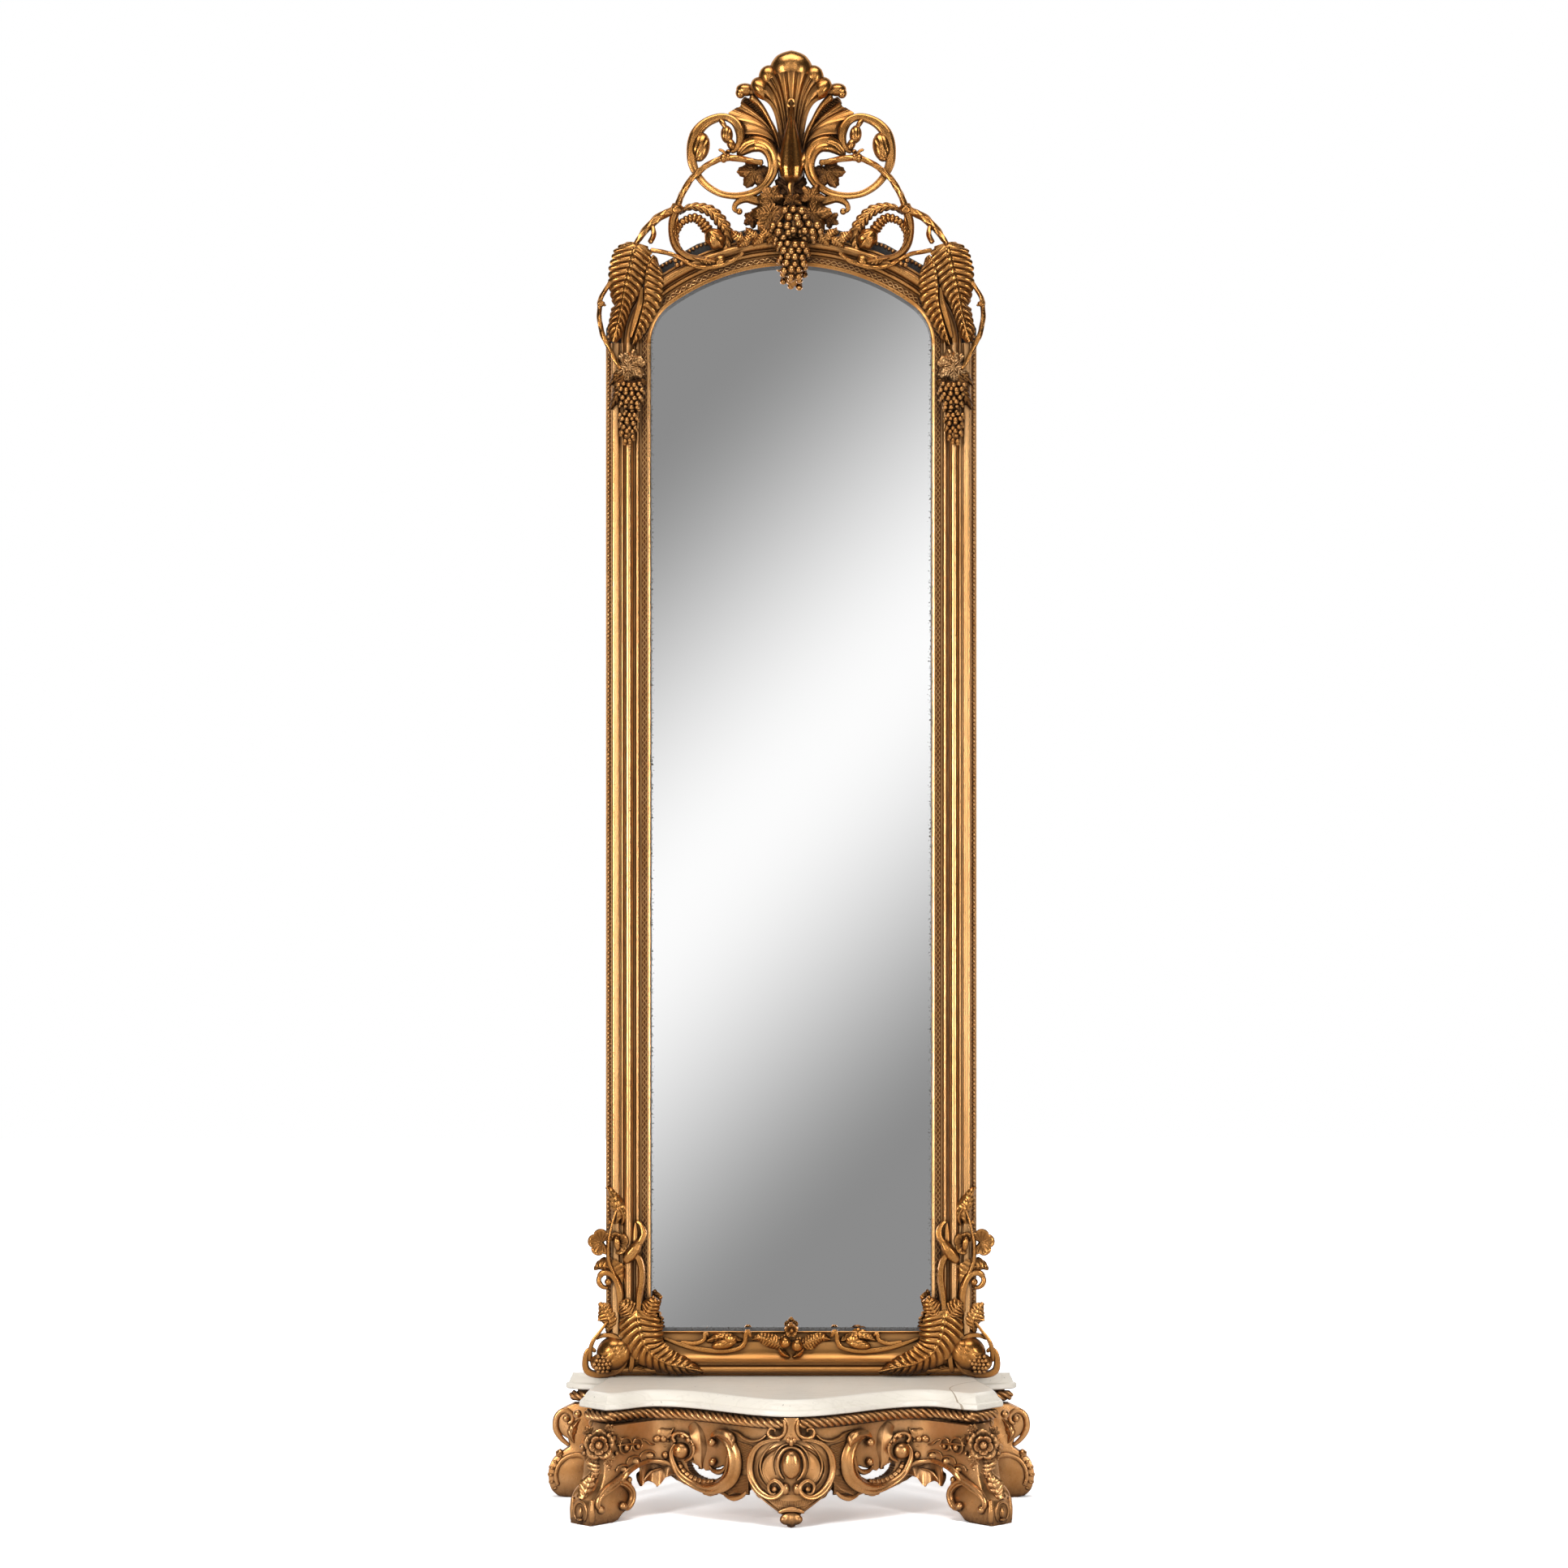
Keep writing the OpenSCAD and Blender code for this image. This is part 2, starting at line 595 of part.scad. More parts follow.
// ---- Vine leaves, grapes and garland over the arch ----
module vine_leaves() {
    color(gold) {
        for (s = [-1, 1]) {
            vine_leaf(crest([s * 42, 112], 66), 44, s * 28);
            rod(crest_path(smooth([[s * 30, 142], [s * 62, 134], [s * 92, 138], [s * 112, 130],
                [s * 118, 117], [s * 108, 112]], 2), 50, 54), [[0, 12], [0.5, 10], [0.8, 5], [1, 5]], 5);
        }
        vine_leaf(crest([0, 122], 58), 46, 180);
        rod([crest([0, 176], 60), crest([0, 150], 66), crest([0, 110], 72)], [[0, 5], [1, 6]]);
    }
}

module grape_cluster() {
    function crest_top(p) = [crest(p, 0).x, crest(p, 0).z];
    color(bright_gold) {
        bunch(crest_top([0, 108]), 84, 40, grape_r, 72);
        bunch(crest_top([2, 32]), 72, 29, grape_r, 74);
    }
}

// Ruffled leaves close along the arch, with the thin twig and its berries below them
module arch_garland() {
    band_r = crown_r + 0.66 * frame_w;
    color(gold) for (s = ["left", "right"]) flip(s) {
        rod([for (i = [0:10]) let (a = 90 + 3.4 + i) at([0, crown_z] + band_r * [cos(a), sin(a)], 74)],
            [for (i = [0:10]) [i / 10, i % 2 == 0 ? 11 : 15]]);
        rod(crest_path(smooth([[-294, 30], [-251, 22], [-223, 8], [-202, -3], [-174, -7], [-145, -2],
            [-120, 8], [-101, 24]], 2), 70, 74), [[0, 5], [1, 4]], 4);
        for (p = [[-240, 8], [-228, 2], [-237, -1]]) bud(crest(p, 70), 5, 5, 5);
    }
}

// ---- Shoulders, measured from the outer edge of the frame at the spring of the arch ----
function shoulder(p, depth) = at([p.x - edge_x, spring_z + p.y], depth);
function shoulder_path(path, depth0, depth1) = [for (i = [0:len(path) - 1])
    shoulder(path[i], depth0 + (depth1 - depth0) * i / (len(path) - 1))];

// Branch from the vine knot, two long ribbed leaves and the outer twig
module shoulder_leaf(side) {
    branch = concat([crest(vine_node, 58)], shoulder_path([[96, 246], [73, 218], [58, 196]], 62, 74));
    outer = shoulder_path([[60, 204], [50, 150], [38, 116], [28, 44], [17, 2]], 78, 84);
    inner = shoulder_path([[101, 176], [100, 125], [90, 74], [74, 28], [58, -4]], 73, 76);
    color(gold) flip(side) {
        rod(smooth(branch, 2), [[0, 7], [1, 8]]);
        leaf(outer, [[0, 22], [0.15, 36], [0.4, 41], [0.75, 26], [1, 2]],
            [[0, 24], [0.2, 40], [0.45, 38], [0.75, 20], [1, 2]], 13, 8);
        leaf(inner, [[0, 8], [0.3, 15], [0.7, 13], [1, 2]], [[0, 10], [0.3, 25], [0.7, 20], [1, 2]], 11, 6);
        rod(smooth(shoulder_path([[12, 132], [-5, 100], [-12, 78], [-11, 50], [-6, 20], [6, -8], [26, -48]],
            72, 74), 2), [[0, 5], [0.4, 4.5], [1, 5]], 4);
        ball(shoulder([-9, 80], 73), 7.5);
    }
}

module grape_pendant(side) {
    color(bright_gold) flip(side) {
        vine_leaf(shoulder([54, -50], 76), 34, 20);
        vine_leaf(shoulder([28, -88], 72), 34, -20, 3);
        bunch([52 - edge_x, spring_z - 86], 76, 26, small_grape_r, 68);
        bunch([50 - edge_x, spring_z - 158], 56, 17, small_grape_r, 68);
    }
}

// ---- Foot of the frame, measured from its bottom outer corner ----
function foot(p, depth) = at([p.x - edge_x, marble_z + p.y], depth);
function foot_path(path, depth0, depth1) = [for (i = [0:len(path) - 1])
    foot(path[i], depth0 + (depth1 - depth0) * i / (len(path) - 1))];

// Flowers and leaves climbing the outer edge, and the curled lily beside the sight edge
module side_spray(side) {
    color(gold) flip(side) {
        leaf(foot_path([[22, 320], [17, 345], [10, 370], [4, 392]], 64, 60), [[0, 14], [0.5, 14], [1, 3]],
            [[0, 10], [0.5, 16], [1, 3]], 9, 3);
        for (f = [[-12, 282, 25], [22, 278, -25]]) vine_leaf(foot([f.x, f.y], 66), 23, f.z, 4, 8);
        leaf(foot_path([[24, 192], [14, 214], [-4, 226], [-22, 226]], 66, 60), [[0, 14], [0.5, 20], [1, 4]],
            [[0, 8], [0.5, 16], [1, 4]], 9, 3);
        ball(foot([6, 199], 70), 8);
        leaf(foot_path([[4, 96], [2, 118], [-6, 140], [-10, 156]], 66, 60), [[0, 10], [0.6, 20], [1, 4]],
            [[0, 10], [0.6, 20], [1, 4]], 9, 3);
        rod(smooth(foot_path([[17, 351], [5, 304], [3, 248], [18, 206], [32, 164]], 68, 66), 2), [[0, 3], [1, 5]], 5);
        rod(smooth(foot_path([[4, 114], [-19, 88], [-32, 62], [-30, 42]], 66, 62), 2), [[0, 5], [1, 6]], 5);
        rod(smooth(foot_path([[64, 322], [78, 306], [79, 284], [66, 264], [52, 262]], 64, 70), 2),
            [[0, 3], [0.5, 8], [0.8, 14], [1, 12]]);
        rod(smooth(foot_path([[64, 262], [74, 233], [71, 191], [67, 125]], 68, 68), 2), [[0, 7], [1, 8]], 5);
    }
}

// Broad ribbed leaf that turns the corner from stile to bottom rail
module corner_leaf(side) {
    midrib = foot_path([[66, 142], [70, 110], [76, 80], [92, 52], [130, 32], [164, 24], [204, 12]], 76, 68);
    color(gold) flip(side)
        leaf(midrib, [[0, 30], [0.15, 44], [0.4, 40], [0.7, 22], [1, 3]],
            [[0, 28], [0.15, 46], [0.4, 46], [0.7, 24], [1, 3]], 15, 9, -8);
}

// Split fruit showing its seeds, held in a scroll at the very corner
module corner_fruit(side) {
    color(gold) flip(side) {
        bud(foot([14, 46], 56), 33, 36, 30, 20, 10, 6);
        rod(smooth(foot_path([[-34, 48], [-42, 30], [-38, 12], [-20, 5], [8, 5], [32, 18], [40, 44], [26, 76],
            [4, 86]], 58, 62), 2), [[0, 4], [0.3, 6], [0.8, 7], [1, 4]], 5);
        rod(smooth(foot_path([[22, 86], [46, 70], [58, 44], [52, 18]], 60, 62), 2), [[0, 5], [1, 7]], 5);
        for (r = [0:2], k = [0:3 - r])
            ball(foot([-24 + 10 * k + 5 * r, 22 + 9 * r], 74), 5);
    }
}

// Fruit, leaves and hooked swags along the bottom rail
module rail_ornament() {
    function rail(p, depth) = at([p.x, marble_z + p.y], depth);
    color(gold) {
        bud(rail([0, 95], 60), 14, 19, 8);
        bud(rail([-12, 71], 58), 12, 12, 12);
        bud(rail([12, 66], 58), 12, 12, 12);
        for (s = [-1, 1]) {
            leaf([rail([s * 16, 62], 58), rail([s * 44, 74], 56), rail([s * 78, 72], 52)],
                [[0, 10], [0.4, 15], [1, 3]], [[0, 10], [0.4, 15], [1, 3]], 9, 3);
            leaf([rail([s * 2, 54], 58), rail([s * 12, 46], 60), rail([s * 26, 40], 60)],
                [[0, 5], [0.5, 8], [1, 2]], [[0, 5], [0.5, 8], [1, 2]], 8, 2);
            rod([for (p = smooth([[88, 93], [95, 84], [95, 62], [130, 52], [170, 53], [211, 61], [264, 80]], 2))
                rail([s * p.x, p.y], 54)], [[0, 5], [0.25, 9], [0.6, 8], [1, 3]], 5);
            rod([for (p = [[178, 86], [172, 76], [150, 60]]) rail([s * p.x, p.y], 54)], [[0, 5], [1, 5]], 4);
            for (k = [0:3]) bud(rail([s * (112 + 17 * k), 68 + 3 * k], 54), 9, 9, 9);
        }
    }
}

// ---- Plan of the base, as [x, distance from the wall] ----
front_x = corner_x - cant_w;
cant_d = corner_d - cant_w;
hollow_x = 0.64 * corner_x;
notch = [ear_x - 73, 48];
function front_d(x) = let (a = abs(x)) a < hollow_x
    ? hollow_d + (overall_d - hollow_d) * (1 + cos(180 * a / hollow_x)) / 2
    : hollow_d + (corner_d - hollow_d) * (1 - cos(180 * (a - hollow_x) / (front_x - hollow_x))) / 2;
ear_edge = [[ear_x, 8], [ear_x - 7, 19], [ear_x - 30, 31], [ear_x - 55, 37], notch];
side_edge = [for (i = [1:5]) let (v = i / 5)
    [notch.x + (corner_x - notch.x) * (1 - cos(180 * v)) / 2, notch.y + (cant_d - notch.y) * v]];
front_steps = 15;
front_edge = [for (i = [0:front_steps]) let (x = front_x * (1 - i / front_steps)) [x, front_d(x)]];
half_plan = concat([[ear_x, 0]], ear_edge, side_edge, front_edge);
plan = concat(half_plan, [for (i = [len(half_plan) - 2:-1:0]) [-half_plan[i].x, half_plan[i].y]]);
// The plan drawn in by g everywhere but along the wall
function drawn_in(g) = let (n = len(plan)) [for (i = [0:n - 1]) let (
        u = unit(plan[i] - plan[(i + n - 1) % n]),
        v = unit(plan[(i + 1) % n] - plan[i]),
        m = unit([-(u + v).y, (u + v).x]),
        k = g / max(0.6, m * [-u.y, u.x]),
        p = plan[i] + k * m)
    [p.x, plan[i].y < 1 ? 0 : p.y]];
function level(points, z) = [for (p = points) [p.x, wall_y - p.y, z]];

// ---- Marble and sub-top ----
// Edge of the marble from its underside up, as [distance in, share of the thickness]
marble_edge = [[6, 0], [0, 0.1], [0, 0.3], [6, 0.45], [11, 0.7], [17, 0.9], [24, 1]];

module marble_top() {
    under = marble_z - marble_t;
    color(marble) skin([for (e = marble_edge) level(drawn_in(e[0]), under + e[1] * marble_t)],
        [0, wall_y - 60, under], [0, wall_y - 60, marble_z]);
}

subtop_z = marble_z - marble_t - subtop_t;

module subtop() {
    color(pine) translate([0, 0, subtop_z]) linear_extrude(subtop_t)
        polygon([for (p = drawn_in(marble_overhang)) if (p.y == 0 || p.y > 2) [p.x, wall_y - p.y]]);
}

// ---- Rope mouldings under the marble ----
function run_length(path, i = 0) = i > len(path) - 2 ? 0 : norm(path[i + 1] - path[i]) + run_length(path, i + 1);
function along(path, s, i = 0) = let (step = norm(path[i + 1] - path[i]))
    s <= step || i == len(path) - 2 ? path[i] + (path[i + 1] - path[i]) * s / step : along(path, s - step, i + 1);
rope_z = marble_z - marble_t - rope_r - 3;

// Four strands laid round each other: their crowns, with a ring every half strand
module rope(path) {
    count = round(run_length(path) / (rope_pitch / 2));
    step = run_length(path) / count;
    skin([for (i = [0:count]) let (
            here = along(path, i * step),
            t = unit(along(path, min(i + 1, count) * step) - along(path, max(i - 1, 0) * step)),
            side = cross(t, [0, 0, 1]),
            taper = i == 0 || i == count ? 0.6 : 1)
        [for (k = [0:3]) let (a = 90 * k - 45 * i, r = taper * rope_r)
            here + r * cos(a) * side + r * sin(a) * [0, 0, 1]]]);
}

module ropes(s) {
    line = drawn_in(marble_overhang - rope_r - rest_gap);
    ears = len(ear_edge) + 1;
    last = len(half_plan) - 2;
    color(bright_gold) {
        rope(level([for (i = [last:-1:ears + len(side_edge) - 1]) [s * line[i].x, line[i].y]], rope_z));
        rope(level([for (i = [ears - 1:-1:1]) [s * line[i].x, line[i].y]], rope_z));
    }
}

// ---- Front apron ----
function apron_face(x) = front_d(x) - marble_overhang;
function on_apron(p, lift) = [p.x, wall_y - apron_face(p.x) - lift, p.y];
function apron_path(path, lift) = [for (p = path) on_apron(p, lift)];
ring_center = [-178, 118];
ring_size = [63, 54];

// Lower outline of the apron from the middle to the foot of a leg
apron_edge = concat(
    [[0, 36], [-30, 40], [-62, 58], [-84, 84], [-100, 66], [-128, 50]],
    [for (a = [285:-15:195]) [ring_center.x + (ring_size.x + 8) * cos(a), ring_center.y + (ring_size.y + 8) * sin(a)]],
    [[-262, 100], [-290, 104], [-316, 98], [-340, 80], [-360, 52], [-400, 52]]);

module apron_front() {
    reach = front_x + 20;
    steps = 40;
    xs = [for (i = [0:steps]) reach * (2 * i / steps - 1)];
    band = concat([for (x = xs) [x, wall_y - apron_face(x)]],
        [for (i = [steps:-1:0]) [xs[i], wall_y - apron_face(xs[i]) + apron_t]]);
    color(ochre) difference() {
        intersection() {
            linear_extrude(subtop_z) polygon(band);
            slab(0, overall_d) polygon(concat(
                [[-reach - 1, subtop_z + 1]],
                [for (i = [len(apron_edge) - 1:-1:0]) apron_edge[i]],
                [for (i = [1:len(apron_edge) - 1]) [-apron_edge[i].x, apron_edge[i].y]],
                [[reach + 1, subtop_z + 1]]));
        }
        // Openings inside the scroll rings
        for (s = [-1, 1]) slab(0, overall_d) polygon(smooth(
            [for (p = [[-212, 104], [-200, 90], [-172, 78], [-146, 84], [-134, 102], [-150, 112], [-172, 98],
                [-190, 112], [-212, 104]]) [s * p.x, p.y]], 3));
        for (s = ["left", "right"]) flip(s) leg_place() translate([-60, -leg_t / 2 - rest_gap, -1])
            cube([200, leg_t + 2 * rest_gap, marble_z]);
    }
}

// Pierced C-scroll with its volute, hanging leaf and balls, one each side of the cartouche
module apron_scroll(side) {
    ring = [for (a = [170:18:458]) ring_center + [ring_size.x * cos(a), ring_size.y * sin(a)]];
    volute = [for (i = [0:8]) [-221, 130] + (8 + 2 * i) * [cos(-60 + 30 * i), sin(-60 + 30 * i)]];
    coins = [for (i = [0:14]) let (a = 195 + 110 * i / 14)
        ring_center + [(ring_size.x - 16) * cos(a), (ring_size.y - 15) * sin(a)]];
    color(gold) flip(side) {
        rod(apron_path(ring, 6), [[0, 9], [0.15, 10], [0.5, 10], [0.8, 11], [0.95, 9], [1, 6]]);
        rod(apron_path(volute, 9), [[0, 4], [1, 10]], 5);
        ball(on_apron([-221, 130], 6), 12);
        rod(apron_path(coins, 0), [for (i = [0:14]) [i / 14, i % 2 == 0 ? 7 : 4.5]], 5);
        leaf(apron_path([[-180, 190], [-174, 160], [-184, 132], [-180, 98]], 6),
            [[0, 12], [0.4, 20], [0.8, 14], [1, 2]], [[0, 10], [0.4, 14], [0.8, 18], [1, 2]], 12, 4);
        ball(on_apron([-161, 159], 8), 9);
        ball(on_apron([-160, 117], 6), 9);
        rod(apron_path(smooth([[-160, 114], [-148, 106], [-136, 112], [-128, 128]], 2), 2), [[0, 7], [1, 6]], 5);
        bud(on_apron([-164, 55], 2), 15, 8, 10);
        leaf(apron_path([[-92, 76], [-112, 64], [-134, 56], [-150, 62]], 2),
            [[0, 8], [0.5, 12], [1, 3]], [[0, 8], [0.5, 12], [1, 3]], 8, 3);
        rod(apron_path(smooth([[-250, 106], [-280, 112], [-312, 106], [-340, 84]], 2), 4), [[0, 8], [1, 9]]);
        leaf(apron_path([[-262, 106], [-290, 98], [-312, 90], [-306, 74]], -4),
            [[0, 4], [0.5, 10], [1, 2]], [[0, 4], [0.5, 8], [1, 2]], 8, 3);
    }
}

// Oval cartouche with boss, volutes, strap and hanging shell
module cartouche() {
    color(gold) {
        for (s = [-1, 1]) {
            rod(apron_path([for (p = smooth([[12, 178], [48, 172], [76, 142], [76, 98], [48, 58], [4, 42]], 2))
                [s * p.x, p.y]], 4), [[0, 8], [0.4, 12], [0.8, 11], [1, 9]]);
            rod(apron_path([for (i = [0:7]) [s * 32, 80] + (5 + 1.6 * i) * [s * cos(-90 + 50 * i), sin(-90 + 50 * i)]],
                10), [[0, 3], [1, 6]], 5);
            ball(on_apron([s * 32, 80], 12), 6);
        }
        bud(on_apron([0, 112], -6), 74, 66, 18, 0, 12, 6);
        bud(on_apron([0, 129], 6), 19, 31, 16, 0, 10, 6);
        rod(apron_path([for (a = [90:30:450]) [0, 129] + [28 * cos(a), 40 * sin(a)]], 8), [[0, 4], [1, 4]], 5);
        skin([for (z = [[176, 14], [188, 22], [200, 16], [214, 22], [subtop_z + subtop_t - 2, 24]])
            [[z[1], wall_y - apron_face(0), z[0]], [z[1], wall_y - apron_face(0) - 12, z[0]],
             [0, wall_y - apron_face(0) - 21, z[0]],
             [-z[1], wall_y - apron_face(0) - 12, z[0]], [-z[1], wall_y - apron_face(0), z[0]]]]);
        vine_leaf(on_apron([0, 24], 4), 23, 180, 5, 9);
    }
}

// ---- Front legs, set diagonally across the corners ----
leg_shift = 24;

// Puts +X along the diagonal of the left corner and +Z up
module leg_place() {
    translate([-front_x + leg_shift * cos(45), wall_y - cant_d - leg_shift * sin(45), 0])
        rotate([0, 0, 225]) children();
}

module front_leg(side) {
    body = concat(
        [[30, 0], [88, 0], [92, 22], [89, 44], [80, 52]],
        smooth([[68, 68], [59, 92], [54, 124], [46, 160], [30, subtop_z]], 3),
        [[-34, subtop_z], [-38, 150], [-26, 116]],
        smooth([[-10, 96], [-26, 78], [-32, 54], [-24, 32], [-8, 22]], 3),
        [[6, 14]]);
    color(gold) flip(side) leg_place() {
        rotate([90, 0, 0]) translate([0, 0, -leg_t / 2]) linear_extrude(leg_t) polygon(body);
        for (f = [-1, 1]) {
            flank = f * (leg_t / 2 + 1);
            rod([for (p = smooth([[30, 112], [44, 92], [52, 70], [50, 48], [38, 40]], 2)) [p.x, flank, p.y]],
                [[0, 6], [0.5, 7], [1, 5]], 5, [0, 1, 0]);
            bud([38, flank, 44], 9, 9, 8);
            rod([for (p = smooth([[4, 92], [-14, 84], [-24, 60], [-16, 38], [0, 34]], 2)) [p.x, flank, p.y]],
                [[0, 4], [0.5, 7], [1, 5]], 5);
            bud([0, flank, 40], 9, 9, 8);
        }
        // Raised flower panel on the toe
        rod([for (a = [-80:40:240]) [91, 17 * cos(a), 24 + 19 * sin(a)]], [[0, 3], [1, 3]], 4, [1, 0, 0]);
        translate([90, 0, 24]) rotate([0, 0, 90]) bud([0, 0, 0], 9, 12, 6);
    }
}

// ---- Back legs: boards standing against the wall, each cut to a scroll at the foot ----
module back_leg(side) {
    body = concat(
        [[-390, 0], [-478, 0]],
        smooth([[-494, 8], [-507, 30], [-510, 56], [-500, 80], [-478, 94], [-460, 104]], 3),
        smooth([[-462, 118], [-484, 132], [-494, 156], [-482, 182], [-450, subtop_z]], 3),
        [[-384, subtop_z], [-384, 120], [-396, 60]]);
    panel = [-448, 50];
    color(gold) flip(side) {
        difference() {
            slab(0, back_leg_t) polygon(body);
            translate([panel.x, wall_y - back_leg_t + 4, panel.y]) rotate([90, 0, 0])
                cylinder(r = 36, h = 10, $fn = 64);
        }
        rod([for (a = [-40:29:221]) [panel.x + 44 * cos(a), wall_y - back_leg_t, panel.y + 42 * sin(a)]],
            [[0, 5], [0.5, 6], [1, 5]], 5);
    }
}

// ---- Side aprons between front and back legs ----
module apron_side(side) {
    run = [for (i = [0:12]) let (v = i / 12)
        [-(notch.x + (corner_x - notch.x) * (1 - cos(180 * v)) / 2) + marble_overhang,
         notch.y + (cant_d - notch.y) * v]];
    band = concat([for (p = run) [p.x, wall_y - p.y]],
        [for (i = [len(run) - 1:-1:0]) [run[i].x + apron_t, wall_y - run[i].y]]);
    span = cant_d - back_leg_t;
    side_foot = 24;
    color(ochre) flip(side) {
        difference() {
            translate([0, 0, side_foot]) linear_extrude(subtop_z - side_foot) polygon(band);
            // Arch under the side
            translate([-corner_x - 10, wall_y - back_leg_t - span / 2, -70]) rotate([0, 90, 0])
                rotate([0, 0, 90]) scale([span / 2 / 185, 1, 1]) cylinder(r = 185, h = 100, $fn = 64);
            translate([-corner_x - 10, wall_y - back_leg_t - rest_gap, -1]) cube([100, 100, marble_z]);
            leg_place() translate([-60, -leg_t / 2 - rest_gap, -1]) cube([200, leg_t + 2 * rest_gap, marble_z]);
        }
        side_scroll();
    }
}

// C-scroll with coin fluting on the outer face of the side apron
module side_scroll() {
    center = [150, 150];
    line = [for (a = [-60:25:240]) [-(notch.x + corner_x) / 2 + marble_overhang - 4,
        wall_y - center.x - 62 * cos(a), center.y + 36 * sin(a)]];
    rod(line, [[0, 5], [0.3, 8], [0.7, 8], [1, 5]], 5, [1, 0, 0]);
}

// ---- Corner sprays: rose, leaves and berries ----
module rose_sprays() {
    color(bright_gold) for (s = ["left", "right"]) flip(s) {
        rose = [-388, wall_y - 322, 160];
        translate(rose) rotate([0, 0, -30]) {
            vine_leaf([0, -4, 0], 29, 0, 5, 9);
            ball([0, -11, 0], 10);
        }
        for (p = [[-352, 172, 8], [-344, 166, 7], [-350, 182, 7]]) ball(on_apron([p[0], p[1]], 4), p[2]);
        leaf(apron_path([[-366, 150], [-348, 156], [-330, 162], [-306, 160]], 2),
            [[0, 6], [0.5, 10], [1, 2]], [[0, 6], [0.5, 10], [1, 2]], 8, 3);
        leaf(apron_path([[-300, 162], [-286, 170], [-268, 176], [-252, 186]], 1),
            [[0, 5], [0.5, 9], [1, 2]], [[0, 5], [0.5, 9], [1, 2]], 7, 3);
    }
}

mirror_glass();
backboards();
glass_blocks();
carcass_stile_left();
flip("right") carcass_stile_left();  // carcass_stile_right
carcass_bottom_rail();
arch_segment_left();
arch_segment_center();
flip("right") arch_segment_left();  // arch_segment_right
moulding_left();
flip("right") moulding_left();  // moulding_right
moulding_arch();
moulding_bottom();
pearl_string_left();
flip("right") pearl_string_left();  // pearl_string_right
pearl_string_arch();
ribbon_strip_left();
flip("right") ribbon_strip_left();  // ribbon_strip_right
ribbon_strip_arch();
crest_palmette();
crest_boss();
crest_fan("left");  // crest_fan_left
crest_fan("right");  // crest_fan_right
crest_scroll("left");  // crest_scroll_left
crest_scroll("right");  // crest_scroll_right
crest_vine("left");  // crest_vine_left
crest_vine("right");  // crest_vine_right
crest_acanthus("left");  // crest_acanthus_left
crest_acanthus("right");  // crest_acanthus_right
crest_batten();
vine_leaves();
grape_cluster();
arch_garland();
shoulder_leaf("left");  // shoulder_leaf_left
shoulder_leaf("right");  // shoulder_leaf_right
grape_pendant("left");  // grape_pendant_left
grape_pendant("right");  // grape_pendant_right
side_spray("left");  // side_spray_left
side_spray("right");  // side_spray_right
corner_leaf("left");  // corner_leaf_left
corner_leaf("right");  // corner_leaf_right
corner_fruit("left");  // corner_fruit_left
corner_fruit("right");  // corner_fruit_right
rail_ornament();
hanger_plates();
marble_top();
subtop();
apron_front();
apron_side("left");  // apron_side_left
apron_side("right");  // apron_side_right
ropes(-1);  // rope_left
ropes(1);  // rope_right
apron_scroll("left");  // apron_scroll_left
apron_scroll("right");  // apron_scroll_right
cartouche();
front_leg("left");  // front_leg_left
front_leg("right");  // front_leg_right
back_leg("left");  // back_leg_left
back_leg("right");  // back_leg_right
rose_sprays();
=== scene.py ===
"""Looks of a carved giltwood pier mirror on its low marble-topped base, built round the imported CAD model.

Z is up and the front faces -Y. Blender works in metres; carving is drawn in millimetres, as [x, z] and distance
from the wall, from the same marks on the frame that the CAD uses.
"""

import math

import bpy
import numpy as np
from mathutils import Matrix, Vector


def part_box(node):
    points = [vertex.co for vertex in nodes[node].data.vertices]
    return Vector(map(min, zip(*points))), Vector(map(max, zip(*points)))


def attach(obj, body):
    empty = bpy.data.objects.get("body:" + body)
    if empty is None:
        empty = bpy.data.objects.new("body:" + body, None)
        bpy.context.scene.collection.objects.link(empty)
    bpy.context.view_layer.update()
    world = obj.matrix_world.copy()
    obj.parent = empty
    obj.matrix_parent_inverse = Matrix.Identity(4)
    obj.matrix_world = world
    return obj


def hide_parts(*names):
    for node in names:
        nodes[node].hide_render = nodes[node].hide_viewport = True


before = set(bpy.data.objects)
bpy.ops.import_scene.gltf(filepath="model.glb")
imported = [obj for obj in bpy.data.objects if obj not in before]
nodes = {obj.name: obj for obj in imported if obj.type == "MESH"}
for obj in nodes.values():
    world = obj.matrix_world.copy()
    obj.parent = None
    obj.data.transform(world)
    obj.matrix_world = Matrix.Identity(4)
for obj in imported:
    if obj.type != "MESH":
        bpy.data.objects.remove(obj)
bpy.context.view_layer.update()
bpy.ops.object.select_all(action="DESELECT")

# ---- Studio: floor, reflected card, lamps and camera ----
# A white floor and a white room. Behind the camera hangs a grey card with one soft diagonal band of light, which is
# what the glass shows. Dark flats stand out of sight at the sides and overhead, so that gold has something to
# reflect.


def add_node(tree, kind, inputs=None, **settings):
    """A shader node with its settings, and its inputs given as values or as other nodes' outputs."""
    made = tree.nodes.new(kind)
    for name, value in settings.items():
        setattr(made, name, value)
    for name, value in (inputs or {}).items():
        if isinstance(value, bpy.types.NodeSocket):
            tree.links.new(value, made.inputs[name])
        else:
            made.inputs[name].default_value = value
    return made


def new_material(name):
    """An empty node material, its tree and its output node."""
    material = bpy.data.materials.new(name)
    material.use_nodes = True
    material.node_tree.nodes.clear()
    return material, material.node_tree, material.node_tree.nodes.new("ShaderNodeOutputMaterial")


def object_place(tree):
    """The place of a point on its object, which the textures follow."""
    return add_node(tree, "ShaderNodeTexCoord").outputs["Object"]


